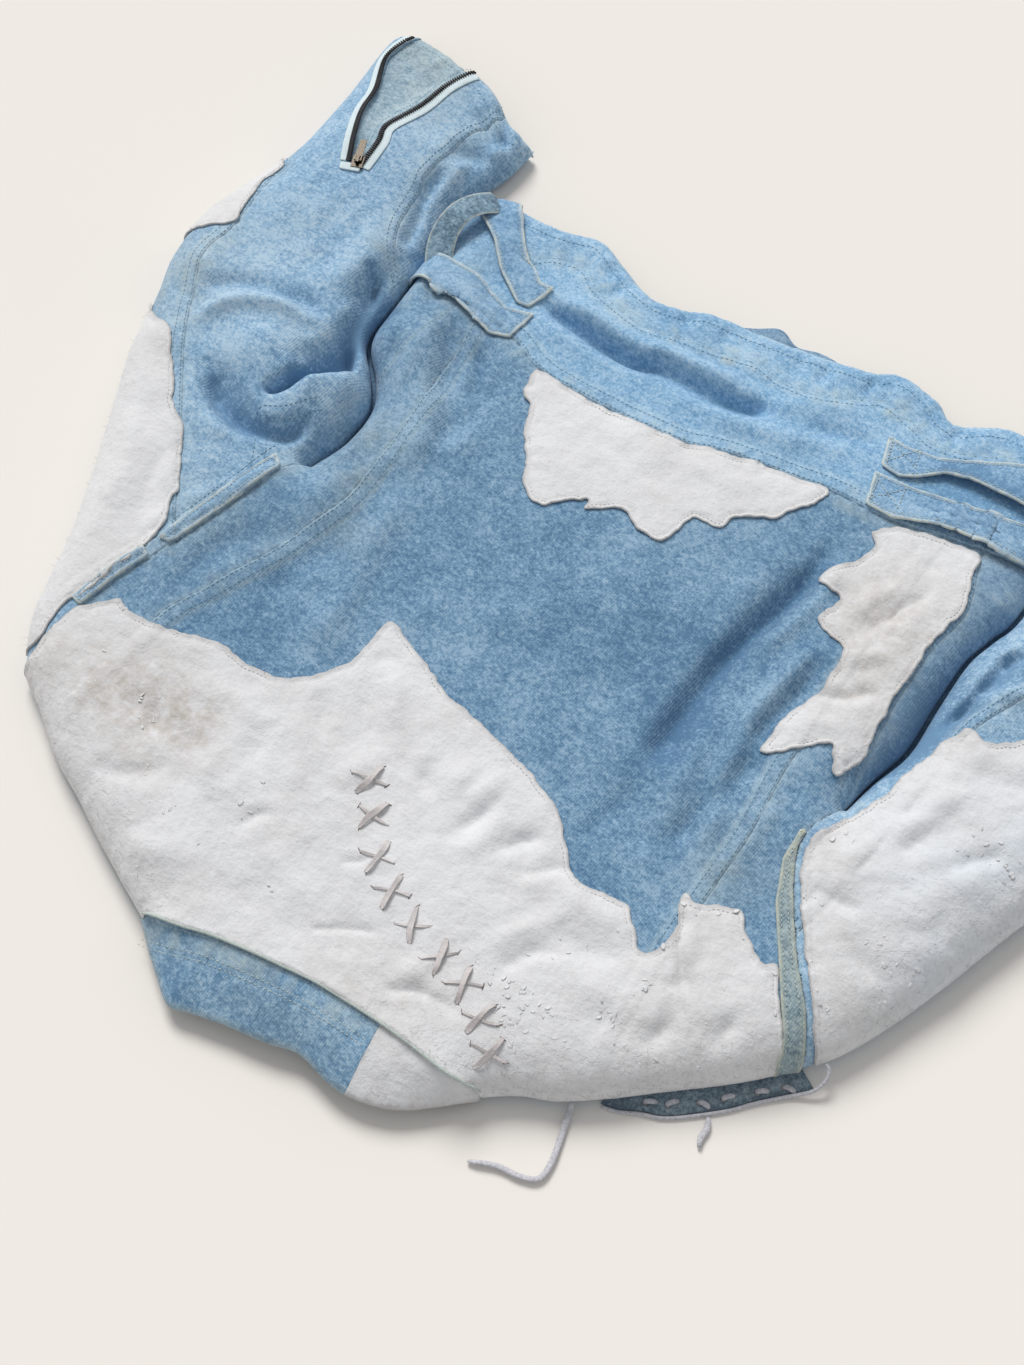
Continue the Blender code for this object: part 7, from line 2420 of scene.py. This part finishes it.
@dataclass
class Fuzz:
    """Loose fibres along the torn and frayed suede edges."""

    shop: Workshop
    patches: SuedePatches

    def build(self) -> None:
        """Build the fibres of the shoulder rolls and the patch edges."""
        g = self.shop.garment
        ground = Ground(g)
        draw = np.random.default_rng(5)
        places = []
        lines = [(g.shoulder_right, 900, 13.0), (shifted(g.neck, 4.0)[-20:], 60, 6.0),
                 (g.outer_right[:70], 800, 16.0), (g.shoulder_left, 260, 9.0), (g.outer_left[:60], 160, 7.0)]
        for line, count, reach in lines:
            total = reached_along(line)[-1]
            base = along(line, draw.uniform(0.0, total, count))
            spots = base + draw.normal(0.0, reach * 0.5, (count, 2))
            spots = spots[self.on_suede(spots)]
            if len(spots):
                places += self.tufts(ground, spots, draw, 1.25)
        for domain, edge in self.patches.edges.values():
            pick = draw.uniform(0.0, reached_along(edge)[-1], 260)
            spots = along(edge, pick) + draw.normal(0.0, 0.4, (260, 2))
            within = inside(self.shop.domains[domain].ring, spots)
            spots = spots[within & (g.edge_distance(spots, 5.0) > 2.0)]
            places += self.tufts(ground, spots, draw, 0.5)
        bpy.ops.mesh.primitive_cone_add(vertices=3, radius1=0.5, radius2=0.12, depth=1.0)
        made = pieces_from("suede_fibres", bpy.context.object, places)
        self.shop.give(made, "thread_white", "suede")
        self.flakes(ground, draw)

    def flakes(self, ground: Ground, draw: np.random.Generator) -> None:
        """Build the small peeled flakes on the lower and right suede."""
        parts = []
        for x, y, radius, count in FLAKE_SPOTS:
            parts.append(draw.normal((x, y), radius, (count, 2)))
        spots = np.vstack(parts)
        spots = spots[self.on_suede(spots) & (ground.garment.edge_distance(spots, 9.0) > 4.0)]
        points, normals = ground.on(spots, LAYER_GAP + SUEDE + 0.15)
        places = []
        for point, normal in zip(points, normals):
            up = normal + draw.normal(0.0, 0.22, 3)
            ahead = draw.normal(0.0, 1.0, 3)
            long = draw.uniform(1.6, 5.2)
            size = (long, long * draw.uniform(0.35, 0.7), FLAKE_THICKNESS)
            places.append(placing(point, ahead - normal * (ahead @ normal), up, size))
        made = pieces_from("suede_flakes", bead(6, 4), places)
        self.shop.give(made, "suede", "suede")

    def on_suede(self, spots: np.ndarray) -> np.ndarray:
        """Tell which plan points lie on a suede patch."""
        result = np.zeros(len(spots), dtype=bool)
        for domain, edge in self.patches.edges.values():
            result |= inside(edge, spots) & inside(self.shop.domains[domain].ring, spots)
        return result

    @staticmethod
    def tufts(ground: Ground, spots: np.ndarray, draw: np.random.Generator, size: float) -> list:
        """Return a matrix for each fibre."""
        points, normals = ground.on(spots, LAYER_GAP + SUEDE + 0.2)
        places = []
        for point, normal in zip(points, normals):
            lean = normal * draw.uniform(0.1, 0.7) + draw.normal(0.0, 0.6, 3)
            lean /= np.linalg.norm(lean)
            length = size * draw.uniform(1.6, 4.6)
            other = np.cross(lean, (0.3, 0.5, 0.8))
            turn = placing(point + lean * length * 0.45, other, lean, (0.34, 0.34, length))
            places.append(turn)
        return places


@dataclass
class Studio:
    """The floor, the light and the camera."""

    def build(self) -> None:
        """Build them all."""
        bpy.ops.mesh.primitive_plane_add(size=9.0)
        floor = bpy.context.object
        floor.name = "floor"
        shader = Shader("floor_paper")
        grain = shader.noise(3.0, 2.0)
        floor.data.materials.append(shader.finish(FLOOR_COLOUR, 0.95, shader.bump(grain, 0.02, 0.2)))
        world = bpy.data.worlds.new("studio")
        bpy.context.scene.world = world
        world.use_nodes = True
        back = world.node_tree.nodes["Background"]
        back.inputs["Color"].default_value = (0.97, 0.985, 1.0, 1.0)
        back.inputs["Strength"].default_value = 0.44
        self.sun((-0.66, 0.62, 0.88), 2.46, 27.0)
        self.camera()

    def sun(self, towards: tuple, strength: float, spread: float) -> None:
        """Add a soft sun that shines from a direction."""
        data = bpy.data.lights.new("window", "SUN")
        data.energy = strength
        data.angle = math.radians(spread)
        data.color = (1.0, 0.985, 0.965)
        made = bpy.data.objects.new("window", data)
        made.rotation_euler = Vector(towards).to_track_quat("Z", "Y").to_euler()
        bpy.context.scene.collection.objects.link(made)

    def camera(self) -> None:
        """Place the camera at the photograph's angle."""
        data = bpy.data.cameras.new("camera")
        data.lens = LENS_MM
        data.sensor_width = 36.0
        data.clip_start = 0.05
        made = bpy.data.objects.new("camera", data)
        made.location = CAMERA_AT
        away = Vector(CAMERA_AT) - Vector(CAMERA_TARGET)
        made.rotation_euler = away.to_track_quat("Z", "Y").to_euler()
        bpy.context.scene.collection.objects.link(made)
        bpy.context.scene.camera = made
        bpy.context.scene.view_settings.view_transform = "Standard"


def main() -> None:
    """Build the whole jacket and its studio."""
    for name in ("Cube", "Light", "Camera"):
        default = bpy.data.objects.get(name)
        if default is not None:
            bpy.data.objects.remove(default, do_unlink=True)
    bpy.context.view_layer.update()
    Studio().build()
    shop = Workshop()
    LacedStrip(shop).build()
    DenimShell(shop).build()
    patches = SuedePatches(shop)
    patches.build()
    Straps(shop).build()
    Stitching(shop, patches).build()
    Lacing(shop).build()
    CuffZip(shop).build()
    Collar(shop).build()
    Fuzz(shop, patches).build()
    for node in ("zip_slider", "zip_pull"):
        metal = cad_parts[node]
        metal.data.materials.clear()
        metal.data.materials.append(shop.materials["slider"])
    LOG.info("all pieces: %d triangles", shop.count)


if __name__ == "__main__":
    main()
